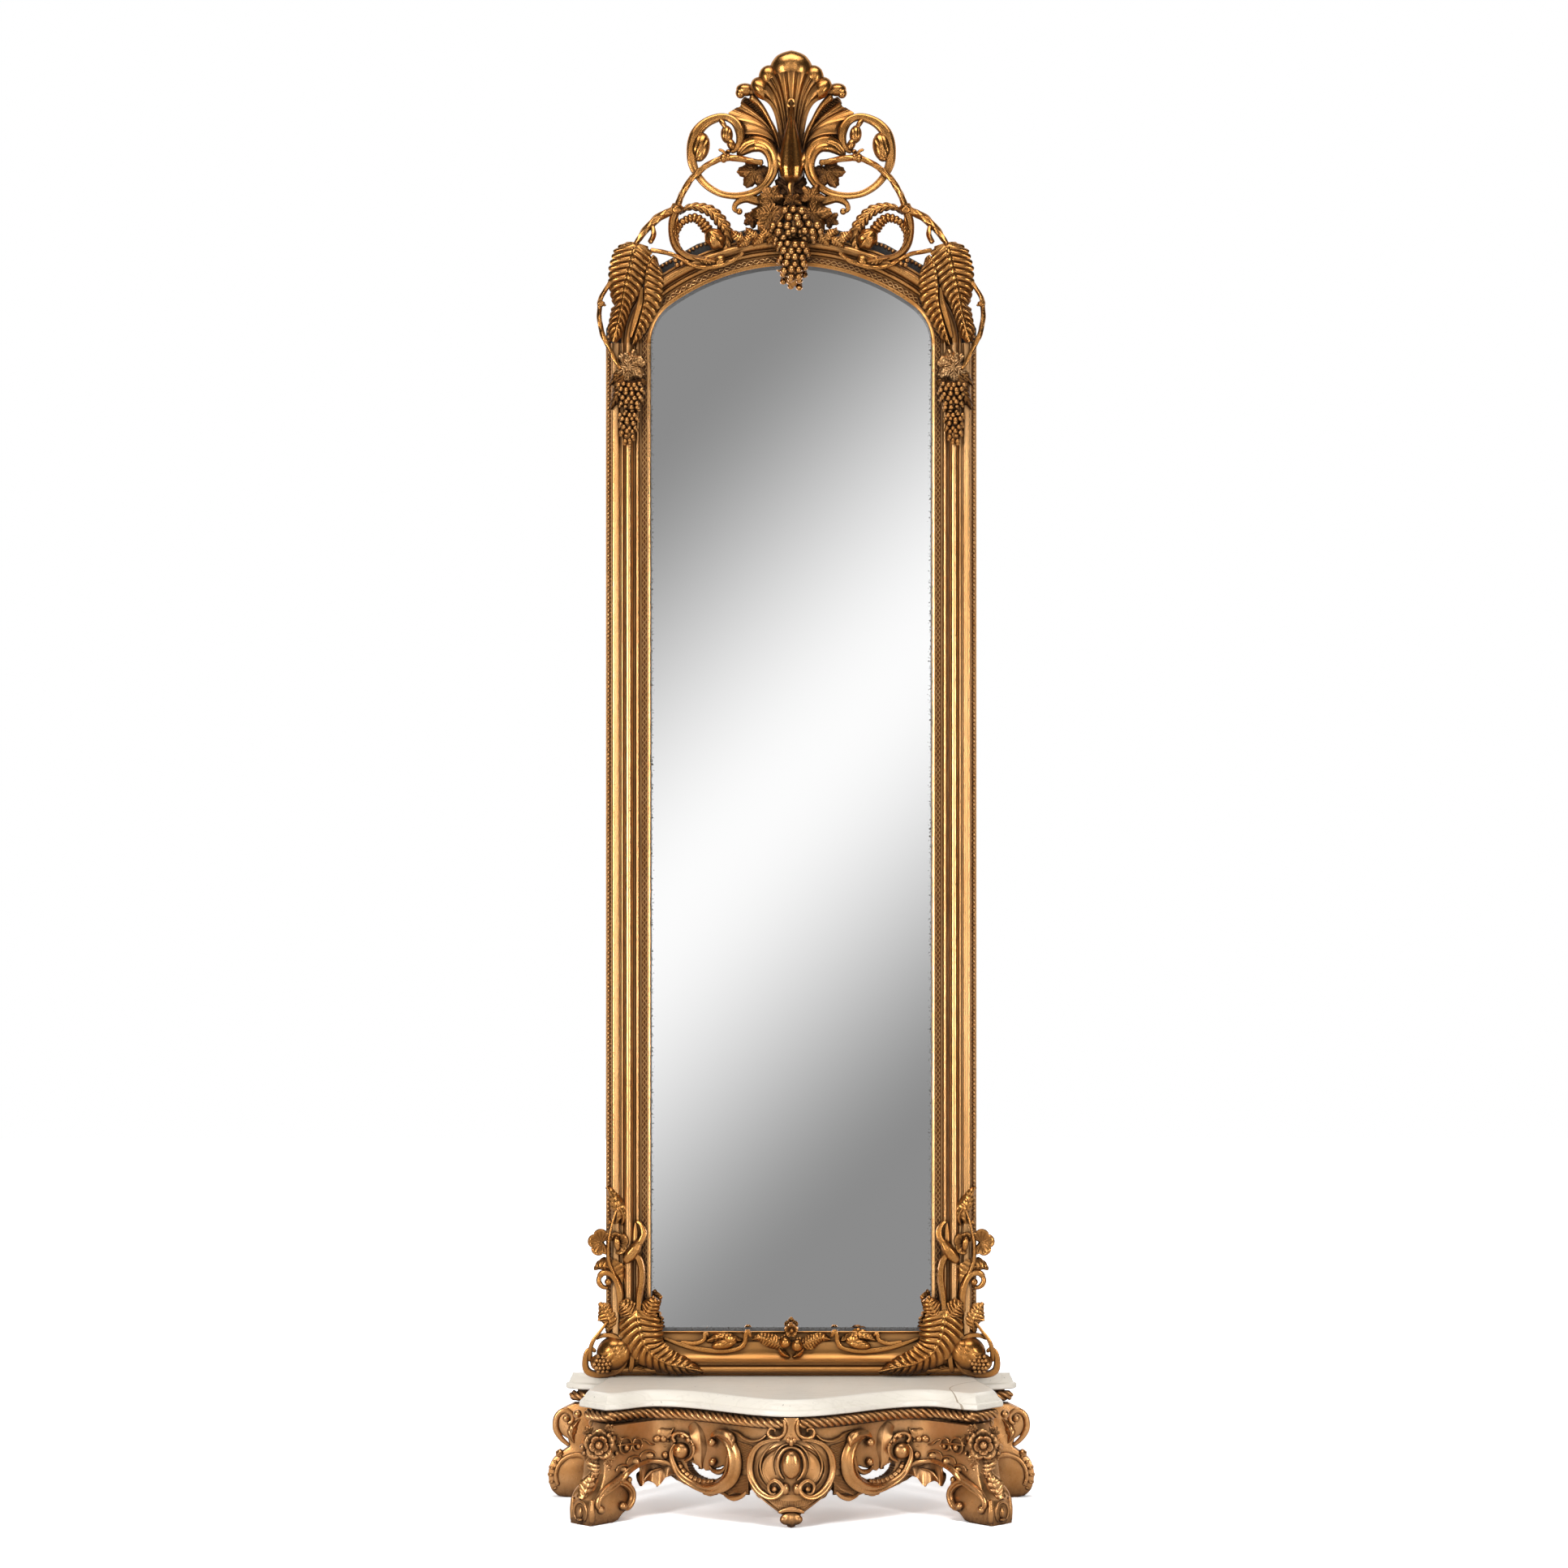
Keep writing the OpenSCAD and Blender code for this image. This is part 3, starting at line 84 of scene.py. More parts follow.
def maths(tree, operation, *values, clamp=False):
    """The result of one operation on values."""
    return add_node(tree, "ShaderNodeMath", dict(enumerate(values)), operation=operation, use_clamp=clamp).outputs[0]


def ranged(tree, value, low, high, to_low=0.0, to_high=1.0, **settings):
    """A value moved from one range to another."""
    return add_node(tree, "ShaderNodeMapRange", {"Value": value, "From Min": low, "From Max": high, "To Min": to_low,
        "To Max": to_high}, **settings).outputs[0]


def emission(tree, colour, strength):
    """A surface that glows."""
    return add_node(tree, "ShaderNodeEmission", {"Color": (*colour, 1), "Strength": strength}).outputs[0]


def plane(name, corner, right, up, material):
    """A flat stage piece from one corner along two sides, in metres."""
    bpy.ops.object.select_all(action="DESELECT")
    bpy.ops.mesh.primitive_plane_add(size=1)
    flat = bpy.context.object
    flat.name = name
    for vertex in flat.data.vertices:
        u, v = vertex.co.x + 0.5, vertex.co.y + 0.5
        vertex.co = [corner[k] + u * right[k] + v * up[k] for k in range(3)]
    flat.data.materials.append(material)
    return flat


def reflected_only(flat):
    """Leaves a stage piece to be seen in reflections alone."""
    flat.visible_camera = flat.visible_shadow = flat.visible_diffuse = False


floor_paint, tree, out = new_material("studio_floor")
place = object_place(tree)
seen = add_node(tree, "ShaderNodeLightPath")
paper = add_node(tree, "ShaderNodeBsdfDiffuse", {"Color": (0.86, 0.86, 0.87, 1)})
bright_paper = add_node(tree, "ShaderNodeBsdfDiffuse", {"Color": (2.0, 2.0, 2.01, 1)})
away = add_node(tree, "ShaderNodeVectorMath", {0: place}, operation="LENGTH")
glow = emission(tree, (1, 1, 1), ranged(tree, away.outputs["Value"], 0.7, 3.5, 0.08, 1.0))
lit = add_node(tree, "ShaderNodeAddShader", {0: bright_paper.outputs[0], 1: glow})
shown = add_node(tree, "ShaderNodeMixShader",
    {0: seen.outputs["Is Camera Ray"], 1: paper.outputs[0], 2: lit.outputs[0]})
tree.links.new(shown.outputs[0], out.inputs["Surface"])
plane("studio_floor", (-9, -2.3, 0), (18, 0, 0), (0, 11, 0), floor_paint)

card_paint, tree, out = new_material("studio_card")
place = object_place(tree)
card_x, _, card_z = add_node(tree, "ShaderNodeSeparateXYZ", {0: place}).outputs
off_band = maths(tree, "ABSOLUTE", maths(tree, "SUBTRACT", card_x, maths(tree, "ADD", card_z, -1.488)))
band = ranged(tree, off_band, 0.0, 2.1, 1.02, 0.27, interpolation_type="SMOOTHSTEP")
low_end = ranged(tree, card_z, -0.85, -1.25, 0.0, 0.45, interpolation_type="SMOOTHSTEP")
# Past the part that the glass shows, the card is dark, with a bright strip down each side for the gold
side_way = maths(tree, "ABSOLUTE", card_x)
strip_glow = ranged(tree, maths(tree, "COMPARE", side_way, 1.95, 0.38), 0.0, 1.0, 0.12, 4.2)
strength = add_node(tree, "ShaderNodeMix", {"Factor": ranged(tree, side_way, 0.85, 1.15),
    2: maths(tree, "ADD", band, low_end), 3: strip_glow})
tree.links.new(emission(tree, (1, 1, 1), strength.outputs[0]), out.inputs["Surface"])
reflected_only(plane("studio_card", (-2.6, -8.7, -2.5), (5.2, 0, 0), (0, 0, 8), card_paint))

flat_paint, tree, out = new_material("studio_dark_flat")
tree.links.new(emission(tree, (0.045, 0.042, 0.04), 1.0), out.inputs["Surface"])
for name, corner, right, up in (
    ("studio_flat_left", (-3.2, -8.6, -0.5), (0, 9.5, 0), (0, 0, 6)),
    ("studio_flat_right", (3.2, -8.6, -0.5), (0, 9.5, 0), (0, 0, 6)),
    ("studio_flat_top", (-3.2, -8.6, 5.5), (6.4, 0, 0), (0, 9.5, 0)),
    ("studio_flat_low_left", (-3.2, -8.6, -0.4), (2.4, 0, 0), (0, 6.3, 0)),
    ("studio_flat_low_right", (0.8, -8.6, -0.4), (2.4, 0, 0), (0, 6.3, 0)),
):
    reflected_only(plane(name, corner, right, up, flat_paint))

world = bpy.data.worlds.new("studio")
bpy.context.scene.world = world
world.use_nodes = True
tree = world.node_tree
tree.nodes.clear()
out = tree.nodes.new("ShaderNodeOutputWorld")
seen = add_node(tree, "ShaderNodeLightPath").outputs
direct = maths(tree, "MAXIMUM", seen["Is Camera Ray"], seen["Is Glossy Ray"])
clear = maths(tree, "MAXIMUM", direct, seen["Is Transmission Ray"])
sky = add_node(tree, "ShaderNodeBackground", {"Color": (1, 1, 1, 1), "Strength": ranged(tree, clear, 0.0, 1.0, 0.34)})
tree.links.new(sky.outputs[0], out.inputs["Surface"])


def lamp(name, place, aim, width, height, power):
    """A soft rectangular lamp at a place, turned towards a point, in metres and watts."""
    light = bpy.data.lights.new(name, "AREA")
    light.shape = "RECTANGLE"
    light.size, light.size_y, light.energy = width, height, power
    holder = bpy.data.objects.new(name, light)
    bpy.context.scene.collection.objects.link(holder)
    holder.location = place
    offset = [place[k] - aim[k] for k in range(3)]
    flat_run = math.hypot(offset[0], offset[1])
    holder.rotation_euler = (math.atan2(flat_run, offset[2]), 0, math.atan2(offset[0], -offset[1]))


lamp("key_lamp", (-2.5, -3.2, 1.5), (0, 0, 0.9), 0.6, 2.4, 84)
lamp("fill_lamp", (2.7, -3.0, 1.2), (0, 0, 0.8), 0.4, 2.2, 50)
lamp("top_lamp", (0, -1.6, 5.0), (0, 0, 1.0), 3.0, 1.6, 85)
lamp("back_lamp", (0, 3.4, 3.2), (0, 0, 1.2), 3.0, 1.6, 40)

camera_data = bpy.data.cameras.new("camera")
camera_data.lens = 93.2
camera_data.sensor_width = 36
camera_data.shift_x = -0.0046
camera = bpy.data.objects.new("camera", camera_data)
bpy.context.scene.collection.objects.link(camera)
camera.location = (0, -8.3, 1.488)
camera.rotation_euler = (math.radians(90), 0, 0)
bpy.context.scene.camera = camera
bpy.context.scene.view_settings.view_transform = "Standard"

# ---- Black-painted pine: stiles, bottom rail, sawn head board and batten ----
# The mirror's carcass, sawn from pine and painted black where it shows beside the gilding. Its CAD solids stay.


def noise(tree, vector, scale, detail, roughness=0.5, distortion=0.0):
    """A noise texture's value; its colours are on the same node."""
    return add_node(tree, "ShaderNodeTexNoise", {"Vector": vector, "Scale": scale, "Detail": detail,
        "Roughness": roughness, "Distortion": distortion}).outputs["Fac"]


def stretched(tree, vector, scale):
    """A place scaled along each axis."""
    return add_node(tree, "ShaderNodeMapping", {"Vector": vector, "Scale": scale}).outputs[0]


def stepped(tree, value, start, end):
    """A value sharpened to a mask between two marks."""
    ramp = add_node(tree, "ShaderNodeValToRGB", {"Fac": value})
    ramp.color_ramp.elements[0].position, ramp.color_ramp.elements[1].position = start, end
    return ramp.outputs["Color"]


def mixed(tree, share, first, second, **settings):
    """Two colours mixed, each given as red, green and blue or as another node's output."""
    first, second = ((*colour, 1) if isinstance(colour, tuple) else colour for colour in (first, second))
    return add_node(tree, "ShaderNodeMix", {"Factor": share, 6: first, 7: second}, data_type="RGBA",
        **settings).outputs[2]


def surface(tree, out, colour, roughness, bump=None, **looks):
    """The surface itself; bump is a height, its size in metres and its strength."""
    inputs = {"Base Color": colour, "Roughness": roughness, **looks}
    if bump:
        height, size, strength = bump
        inputs["Normal"] = add_node(tree, "ShaderNodeBump",
            {"Height": height, "Distance": size, "Strength": strength}).outputs[0]
    skin = add_node(tree, "ShaderNodeBsdfPrincipled", inputs)
    tree.links.new(skin.outputs[0], out.inputs["Surface"])


def paint_nodes(material, *names):
    """Puts one material on CAD nodes, whose meshes stay as they are."""
    for name in names:
        nodes[name].data.materials.clear()
        nodes[name].data.materials.append(material)


black_paint, tree, out = new_material("black_paint")
place = object_place(tree)
grain = noise(tree, stretched(tree, place, (60, 60, 4)), 3.0, 7.0)
worn = stepped(tree, noise(tree, place, 22.0, 8.0, 0.7), 0.62, 0.74)
tone = mixed(tree, grain, (0.010, 0.009, 0.008), (0.032, 0.026, 0.021))
surface(tree, out, mixed(tree, worn, tone, (0.085, 0.050, 0.028)), 0.52, (grain, 0.0006, 0.5))
paint_nodes(black_paint, "carcass_stile_left", "carcass_stile_right", "carcass_bottom_rail", "arch_segment_left",
    "arch_segment_center", "arch_segment_right", "crest_batten")

# ---- Bare pine: backboards, glass blocks and the sub-top under the marble ----
# Thin softwood boards close the back, small blocks hold the glass, and a thick pine board carries the marble. They
# were never finished and have gone brown.


def wandering(tree, vector, share, texture):
    """A place pushed about by a noise texture's colours."""
    return add_node(tree, "ShaderNodeMix", {"Factor": share, 4: vector, 5: texture.node.outputs["Color"]},
        data_type="VECTOR").outputs[1]


bare_pine, tree, out = new_material("bare_pine")
place = object_place(tree)
bent_place = wandering(tree, place, 0.05, noise(tree, place, 3.0, 3.0))
rings = add_node(tree, "ShaderNodeTexWave", {"Vector": stretched(tree, bent_place, (0.6, 9, 26)), "Scale": 1.6,
    "Distortion": 7.0, "Detail": 3.0, "Detail Scale": 1.6}, bands_direction="Z")
fibre = noise(tree, stretched(tree, place, (5, 90, 220)), 3.0, 5.0)
pale = mixed(tree, rings.outputs["Fac"], (0.33, 0.205, 0.105), (0.22, 0.118, 0.052))
surface(tree, out, mixed(tree, fibre, pale, (0.12, 0.068, 0.034)), 0.78, (fibre, 0.0006, 0.6))
paint_nodes(bare_pine, "backboards", "glass_blocks", "subtop")

# ---- Iron hanger plates ----
# Two plates of forged iron let into the back of the stiles and screwed there. They have rusted a little.
iron, tree, out = new_material("hanger_iron")
place = object_place(tree)
rust = noise(tree, place, 70.0, 9.0, 0.65)
patches = stepped(tree, rust, 0.46, 0.62)
surface(tree, out, mixed(tree, patches, (0.07, 0.065, 0.062), (0.16, 0.062, 0.026)),
    ranged(tree, patches, 0.0, 1.0, 0.42, 0.85), (rust, 0.0005, 0.7),
    Metallic=ranged(tree, patches, 0.0, 1.0, 0.95, 0.1))
paint_nodes(iron, "hanger_plates")

# ---- Looking glass ----
# One sheet of plate glass silvered on its back, held in the rebate. The silver has thinned to a few dark specks along
# the edges, as old plates do.
silvered_glass, tree, out = new_material("silvered_glass")
place = object_place(tree)
glass_x, _, glass_z = add_node(tree, "ShaderNodeSeparateXYZ", {0: place}).outputs
near_side = ranged(tree, maths(tree, "ABSOLUTE", glass_x), 0.262, 0.292)
near_foot = ranged(tree, glass_z, 0.385, 0.350)
near_edge = maths(tree, "MAXIMUM", near_side, near_foot)
lost = ranged(tree, maths(tree, "MULTIPLY", noise(tree, place, 260.0, 4.0), near_edge), 0.50, 0.62)
surface(tree, out, mixed(tree, lost, (0.955, 0.955, 0.955), (0.10, 0.085, 0.07)),
    ranged(tree, lost, 0.0, 1.0, 0.0, 0.4), Metallic=1.0)
paint_nodes(silvered_glass, "mirror_glass")

# ---- Gilt mouldings: two stiles, bottom rail and arched head ----
# Pine lengths run to a deep profile, covered in gesso and red clay, then gilded and toned brown in the hollows. They
# are mitred at the foot, and the arch is sawn and carved to the same inner members.
wall_y = 200
marble_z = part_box("marble_top")[1].z * 1000
spring_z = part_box("moulding_left")[1].z * 1000
edge_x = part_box("moulding_right")[1].x * 1000
carcass = 34
frame_w = 94
rail_h = 93
half_sight = edge_x - frame_w
sight_z = marble_z + rail_h


def gilding_group():
    """Water gilding: leaf over red clay, rubbed through on the edges and toned dark in the hollows, a darkening that
    is partly real toning and partly painted shade.
    """
    group = bpy.data.node_groups.new("gilding", "ShaderNodeTree")
    for name, kind, default in (("Gold", "Color", (0.56, 0.32, 0.11, 1)), ("Clay", "Color", (0.20, 0.055, 0.020, 1)),
            ("Toning_and_shade", "Color", (0.022, 0.008, 0.003, 1)), ("Burnish", "Float", 0.5), ("Wear", "Float", 0.4),
            ("Shade_and_toning", "Float", 0.6), ("Stretch", "Vector", (1, 1, 1))):
        socket = group.interface.new_socket(name, in_out="INPUT", socket_type="NodeSocket" + kind)
        socket.default_value = default
    for name, kind in (("Colour", "Color"), ("Roughness", "Float"), ("Metallic", "Float"), ("Height", "Float")):
        group.interface.new_socket(name, in_out="OUTPUT", socket_type="NodeSocket" + kind)
    given = group.nodes.new("NodeGroupInput").outputs
    result = group.nodes.new("NodeGroupOutput")
    place = object_place(group)
    space = add_node(group, "ShaderNodeVectorMath", {0: place, 1: given["Stretch"]}, operation="MULTIPLY").outputs[0]
    # Broad patches of thinner leaf, fine mottling, and dark specks
    patches = noise(group, space, 14.0, 6.0, 0.62)
    mottle = noise(group, space, 120.0, 6.0, 0.65)
    speck = ranged(group, noise(group, place, 330.0, 2.0), 0.70, 0.76, 0.0, 0.7)
    # Hollows are found by how much of the room they see and are darkened there, painted shade as well as toning;
    # edges by how sharply the surface turns
    open_sky = add_node(group, "ShaderNodeAmbientOcclusion", {"Distance": 0.04}, samples=8)
    edge = ranged(group, add_node(group, "ShaderNodeNewGeometry").outputs["Pointiness"], 0.515, 0.60)
    rubbed = maths(group, "MULTIPLY", edge, ranged(group, mottle, 0.42, 0.66))
    bare = maths(group, "MAXIMUM", rubbed, ranged(group, patches, 0.56, 0.74, 0.0, 0.55))
    bare_share = maths(group, "MULTIPLY", bare, given["Wear"])
    # Painted shade: the less of the room a point sees, the more it takes the dark toning colour
    toned_and_shaded = maths(group, "MULTIPLY", ranged(group, open_sky.outputs["AO"], 0.97, 0.40),
        ranged(group, mottle, 0.2, 0.8, 0.65, 1.15))
    toned_and_shaded_share = maths(group, "MULTIPLY", toned_and_shaded, given["Shade_and_toning"], clamp=True)
    deeper = mixed(group, 1.0, given["Gold"], (0.78, 0.66, 0.48), blend_type="MULTIPLY")
    leaf_tone = mixed(group, ranged(group, patches, 0.3, 0.7), given["Gold"], deeper)
    with_clay = mixed(group, bare_share, leaf_tone, given["Clay"])
    with_specks = mixed(group, speck, with_clay, given["Toning_and_shade"])
    # Burnished leaf is smooth; worn places, and hollows toned and painted with shade, are dull
    dull = maths(group, "ADD", bare_share, toned_and_shaded_share, clamp=True)
    uneven = maths(group, "MULTIPLY_ADD", mottle, 0.16, ranged(group, given["Burnish"], 0.0, 1.0, 0.42, 0.12))
    for name, value in (("Colour", mixed(group, toned_and_shaded_share, with_specks, given["Toning_and_shade"])),
            ("Roughness", maths(group, "MULTIPLY_ADD", dull, 0.26, uneven, clamp=True)),
            ("Metallic", ranged(group, dull, 0.0, 1.0, 1.0, 0.75)),
            ("Height", maths(group, "MULTIPLY_ADD", patches, 0.6, mottle))):
        group.links.new(value, result.inputs[name])
    return group


gilding = gilding_group()


def gilt(name, depth, gold, burnish, wear, dirt, stretch=(1, 1, 1)):
    """A gilt finish: the shared gilding with this piece's gold, set lighter or darker on some pieces to paint light
    and shade, its wear, its toning and painted shade in the hollows, and the depth of gesso marks, in metres.
    """
    material, tree, out = new_material(name)
    leaf = add_node(tree, "ShaderNodeGroup", node_tree=gilding)
    settings = {"Gold": (*gold, 1), "Burnish": burnish, "Wear": wear, "Shade_and_toning": dirt, "Stretch": stretch}
    for socket, value in settings.items():
        leaf.inputs[socket].default_value = value
    look = leaf.outputs
    surface(tree, out, look["Colour"], look["Roughness"], (look["Height"], depth, 0.6), Metallic=look["Metallic"])
    return material


def curve(a, b, c, d, count):
    """Points along one Bezier curve."""
    t = np.linspace(0, 1, count + 1)[:, None]
    a, b, c, d = (np.array(p, float) for p in (a, b, c, d))
    return (1 - t) ** 3 * a + 3 * (1 - t) ** 2 * t * b + 3 * (1 - t) * t * t * c + t ** 3 * d


def corners_of(piece):
    """The corners of a piece's mesh, one row each."""
    corners = np.empty(len(piece.data.vertices) * 3)
    piece.data.vertices.foreach_get("co", corners)
    return corners.reshape(-1, 3)


def move_corners(piece, places):
    piece.data.vertices.foreach_set("co", np.asarray(places).ravel())
    piece.data.update()


def shaped_grid(name, across, along, place, finish=None, close=True):
    """A grid primitive whose corners run 0 to 1 across and along, shaped by moving each to where place puts it."""
    bpy.ops.object.select_all(action="DESELECT")
    bpy.ops.mesh.primitive_grid_add(x_subdivisions=across, y_subdivisions=along, size=1)
    piece = bpy.context.object
    piece.name = piece.data.name = name
    corners = corners_of(piece)
    move_corners(piece, np.asarray(place(corners[:, 0] + 0.5, corners[:, 1] + 0.5)) / 1000)
    bpy.ops.object.mode_set(mode="EDIT")
    bpy.ops.mesh.select_all(action="SELECT")
    bpy.ops.mesh.remove_doubles(threshold=0.00002)
    if close:
        bpy.ops.mesh.select_all(action="DESELECT")
        bpy.ops.mesh.select_mode(type="EDGE")
        bpy.ops.mesh.select_non_manifold()
        bpy.ops.mesh.edge_face_add()
        bpy.ops.mesh.select_mode(type="VERT")
    bpy.ops.mesh.select_all(action="SELECT")
    bpy.ops.mesh.normals_make_consistent(inside=False)
    bpy.ops.object.mode_set(mode="OBJECT")
    bpy.ops.object.shade_smooth_by_angle(angle=math.radians(38))
    if finish:
        piece.data.materials.append(finish)
    return piece


def dress(piece, slot, *replaced):
    """Hangs a finished piece on the one body and lets it stand for its CAD nodes."""
    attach(piece, "root")
    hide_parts(*replaced)


def mirrored(piece, name):
    """A copy of a finished left-hand piece, turned over for the right."""
    bpy.ops.object.select_all(action="DESELECT")
    other = piece.copy()
    other.data = piece.data.copy()
    other.name = other.data.name = name
    bpy.context.scene.collection.objects.link(other)
    other.data.flip_normals()
    move_corners(other, corners_of(other) * (-1, 1, 1))
    return other


def dress_pair(piece, slot, name, node):
    """A left-hand piece and its mirrored copy, each standing for its own node."""
    dress(mirrored(piece, name + "_right"), slot, node + "_right")
    dress(piece, slot, node + "_left")


# Painted light: the stiles take a lighter copy of the gold than the arch and rail of the same moulding, for the
# brighter light at mid-height
moulding_gilt = gilt("moulding_gilt", 0.0003, (0.86, 0.49, 0.215), 0.85, 0.35, 0.75, (1, 1, 0.12))
rail_gilt = gilt("rail_gilt", 0.0003, (0.56, 0.28, 0.095), 0.65, 0.4, 0.75, (0.12, 1, 1))

ribbon_bed = carcass + 19
inner_members = np.vstack((
    [[32, carcass + 21]],
    [[35 - 3 * math.cos(a), carcass + 22 + 3 * math.sin(a)] for a in np.linspace(0, math.pi, 9)],
    curve((38, carcass + 22), (39, carcass + 37), (55, carcass + 39), (58, carcass + 21), 16),
    [[58.2, carcass + 17.6], [58.8, carcass + 17], [60.4, carcass + 17], [61, carcass + 17.6]],
    curve((61, carcass + 18), (63, carcass + 27), (69, carcass + 27), (71, carcass + 19), 9),
    [[71.2, carcass + 16.5], [71.8, carcass + 16], [74.6, carcass + 16], [75, carcass + 16.5], [75, ribbon_bed - 1],
     [75.6, ribbon_bed - 0.4], [86, ribbon_bed - 0.4], [86.5, ribbon_bed], [86.7, ribbon_bed + 1],
     [88, ribbon_bed + 0.9], [frame_w - 0.8, carcass + 18.2], [frame_w, carcass + 17.4], [frame_w, carcass]],
))
outer_members = np.vstack((
    [[0, carcass], [0, carcass + 9.6], [0.8, carcass + 11], [10.2, carcass + 11], [10.6, carcass + 12],
     [11, carcass + 16]],
    curve((11, carcass + 17), (11.4, carcass + 25), (13.5, carcass + 29.2), (17, carcass + 29.6), 8),
    [[20.5, carcass + 29.9], [24, carcass + 30.2]],
    curve((26, carcass + 30.2), (27.6, carcass + 30), (28.8, carcass + 28), (29, carcass + 23), 7),
    [[29.2, carcass + 21.4], [29.8, carcass + 21]],
))


def along_outline(outline, share):
    """Points at shares of the count along a closed outline."""
    ring = np.vstack((outline, outline[:1]))
    index = share * (len(ring) - 1)
    return np.column_stack([np.interp(index, np.arange(len(ring)), ring[:, k]) for k in range(2)])


stile_profile = np.vstack((outer_members, inner_members))


def stile_place(u, v):
    profile = along_outline(stile_profile, u)
    foot = marble_z + profile[:, 0] * rail_h / frame_w
    return np.column_stack((profile[:, 0] - edge_x, wall_y - profile[:, 1], foot + (spring_z - foot) * v))


def black_rebate(moulding):
    """Blacks the wall between the sight edge and the glass, which the glass doubles."""
    moulding.data.materials.append(black_paint)
    for face in moulding.data.polygons:
        inward = face.normal.x * face.center.x + face.normal.z * (face.center.z - 1.5) < 0
        if inward and abs(face.normal.y) < 0.5 and face.center.y > (wall_y - carcass - 12) / 1000:
            face.material_index = 1


stile = shaped_grid("gilt_moulding_left", len(stile_profile), 24, stile_place, moulding_gilt)
black_rebate(stile)
dress_pair(stile, "moulding_gilt", "gilt_moulding", "moulding")

rail_profile = np.vstack((
    [[0, carcass], [0, carcass + 14], [0.6, carcass + 16.4], [2.4, carcass + 18], [4, carcass + 18.2]],
    curve((5, carcass + 19), (6, carcass + 36), (20, carcass + 38), (23, carcass + 22), 18),
    [[23.6, carcass + 20.4], [24.2, carcass + 20], [25.8, carcass + 20], [26.4, carcass + 20.6],
     [27, carcass + 22.4], [27.6, carcass + 23], [29.6, carcass + 23], [30, carcass + 23.6], [30.6, carcass + 29.4],
     [31.2, carcass + 30]],
    curve((34, carcass + 30.6), (42, carcass + 20), (54, carcass + 14), (rail_h - 22, carcass + 12), 18),
    [[rail_h - 21.4, carcass + 11.4], [rail_h - 21, carcass + 7.4], [rail_h - 20.4, carcass + 7],
     [rail_h - 6.4, carcass + 7], [rail_h - 6, carcass + 7.6], [rail_h - 5.2, carcass + 14.6],
     [rail_h - 4.4, carcass + 15.2], [rail_h - 0.8, carcass + 17.6], [rail_h, carcass + 17],
     [rail_h, carcass]],
))


def rail_place(u, v):
    profile = along_outline(rail_profile, u)
    reach = edge_x - profile[:, 0] * frame_w / rail_h
    return np.column_stack((reach * (2 * v - 1), wall_y - profile[:, 1], marble_z + profile[:, 0]))


rail = shaped_grid("gilt_moulding_bottom", len(rail_profile), 24, rail_place, rail_gilt)
black_rebate(rail)
dress(rail, "moulding_gilt", "moulding_bottom")

arch_rise = 162
shoulder_r = 100
crown_r = (half_sight ** 2 + arch_rise ** 2 - 2 * half_sight * shoulder_r) / (2 * (arch_rise - shoulder_r))
crown_a = math.atan((half_sight - shoulder_r) / (crown_r - arch_rise))
arch_z = spring_z + arch_rise


def arch_point(angle, out):
    """The [x, z] of the sight arch, grown outwards, where its face points at an angle from the right."""
    right, left = angle < math.pi / 2 - crown_a, angle > math.pi / 2 + crown_a
    x = np.where(right, half_sight - shoulder_r, np.where(left, shoulder_r - half_sight, 0))
    z = np.where(right | left, spring_z, arch_z - crown_r)
    r = np.where(right | left, shoulder_r, crown_r) + out
    return np.column_stack((x + r * np.cos(angle), z + r * np.sin(angle)))


arch_profile = np.vstack(([[32, carcass]], inner_members))


def arch_place(u, v):
    profile = along_outline(arch_profile, u)
    line = arch_point(math.pi * v, frame_w - profile[:, 0])
    return np.column_stack((line[:, 0], wall_y - profile[:, 1], line[:, 1]))


arch_gilt = gilt("arch_gilt", 0.0003, (0.60, 0.295, 0.098), 0.75, 0.35, 0.75)
arch = shaped_grid("gilt_moulding_arch", len(arch_profile), 180, arch_place, arch_gilt)
black_rebate(arch)
dress(arch, "moulding_gilt", "moulding_arch")

# ---- Pearl strings up the outer edges and over the head board ----
# Turned wooden pearls glued side by side in a step of the moulding. Over the arch they run in straight lengths along
# the sawn edge of the head board.
pearl_r = 4.4
pearl_gilt = gilt("pearl_gilt", 0.0002, (0.80, 0.46, 0.20), 0.8, 0.4, 0.6)


def copies(name, model, places, finish=None):
    """One mesh of many copies of a model's mesh, each at a place in millimetres, and the model taken away."""
    corners = corners_of(model)
    faces = [list(face.vertices) for face in model.data.polygons]
    count = len(corners)
    every = np.vstack([corners + np.asarray(place) / 1000 for place in places])
    made = bpy.data.meshes.new(name)
    made.from_pydata(every.tolist(), [], [[v + k * count for v in f] for k in range(len(places)) for f in faces])
    bpy.data.objects.remove(model)
    piece = bpy.data.objects.new(name, made)
    bpy.context.scene.collection.objects.link(piece)
    bpy.context.view_layer.objects.active = piece
    if finish:
        made.materials.append(finish)
    made.polygons.foreach_set("use_smooth", [True] * len(made.polygons))
    return piece


def round_model(radius, around=8, up=6, stretch=(1, 1, 1)):
    """A ball of a few faces with its poles to the front and back, to be copied."""
    bpy.ops.object.select_all(action="DESELECT")
    bpy.ops.mesh.primitive_uv_sphere_add(segments=around, ring_count=up, radius=radius / 1000)
    model = bpy.context.object
    for vertex in model.data.vertices:
        x, y, z = vertex.co
        vertex.co = (x * stretch[0], z * stretch[1], -y * stretch[2])
    return model


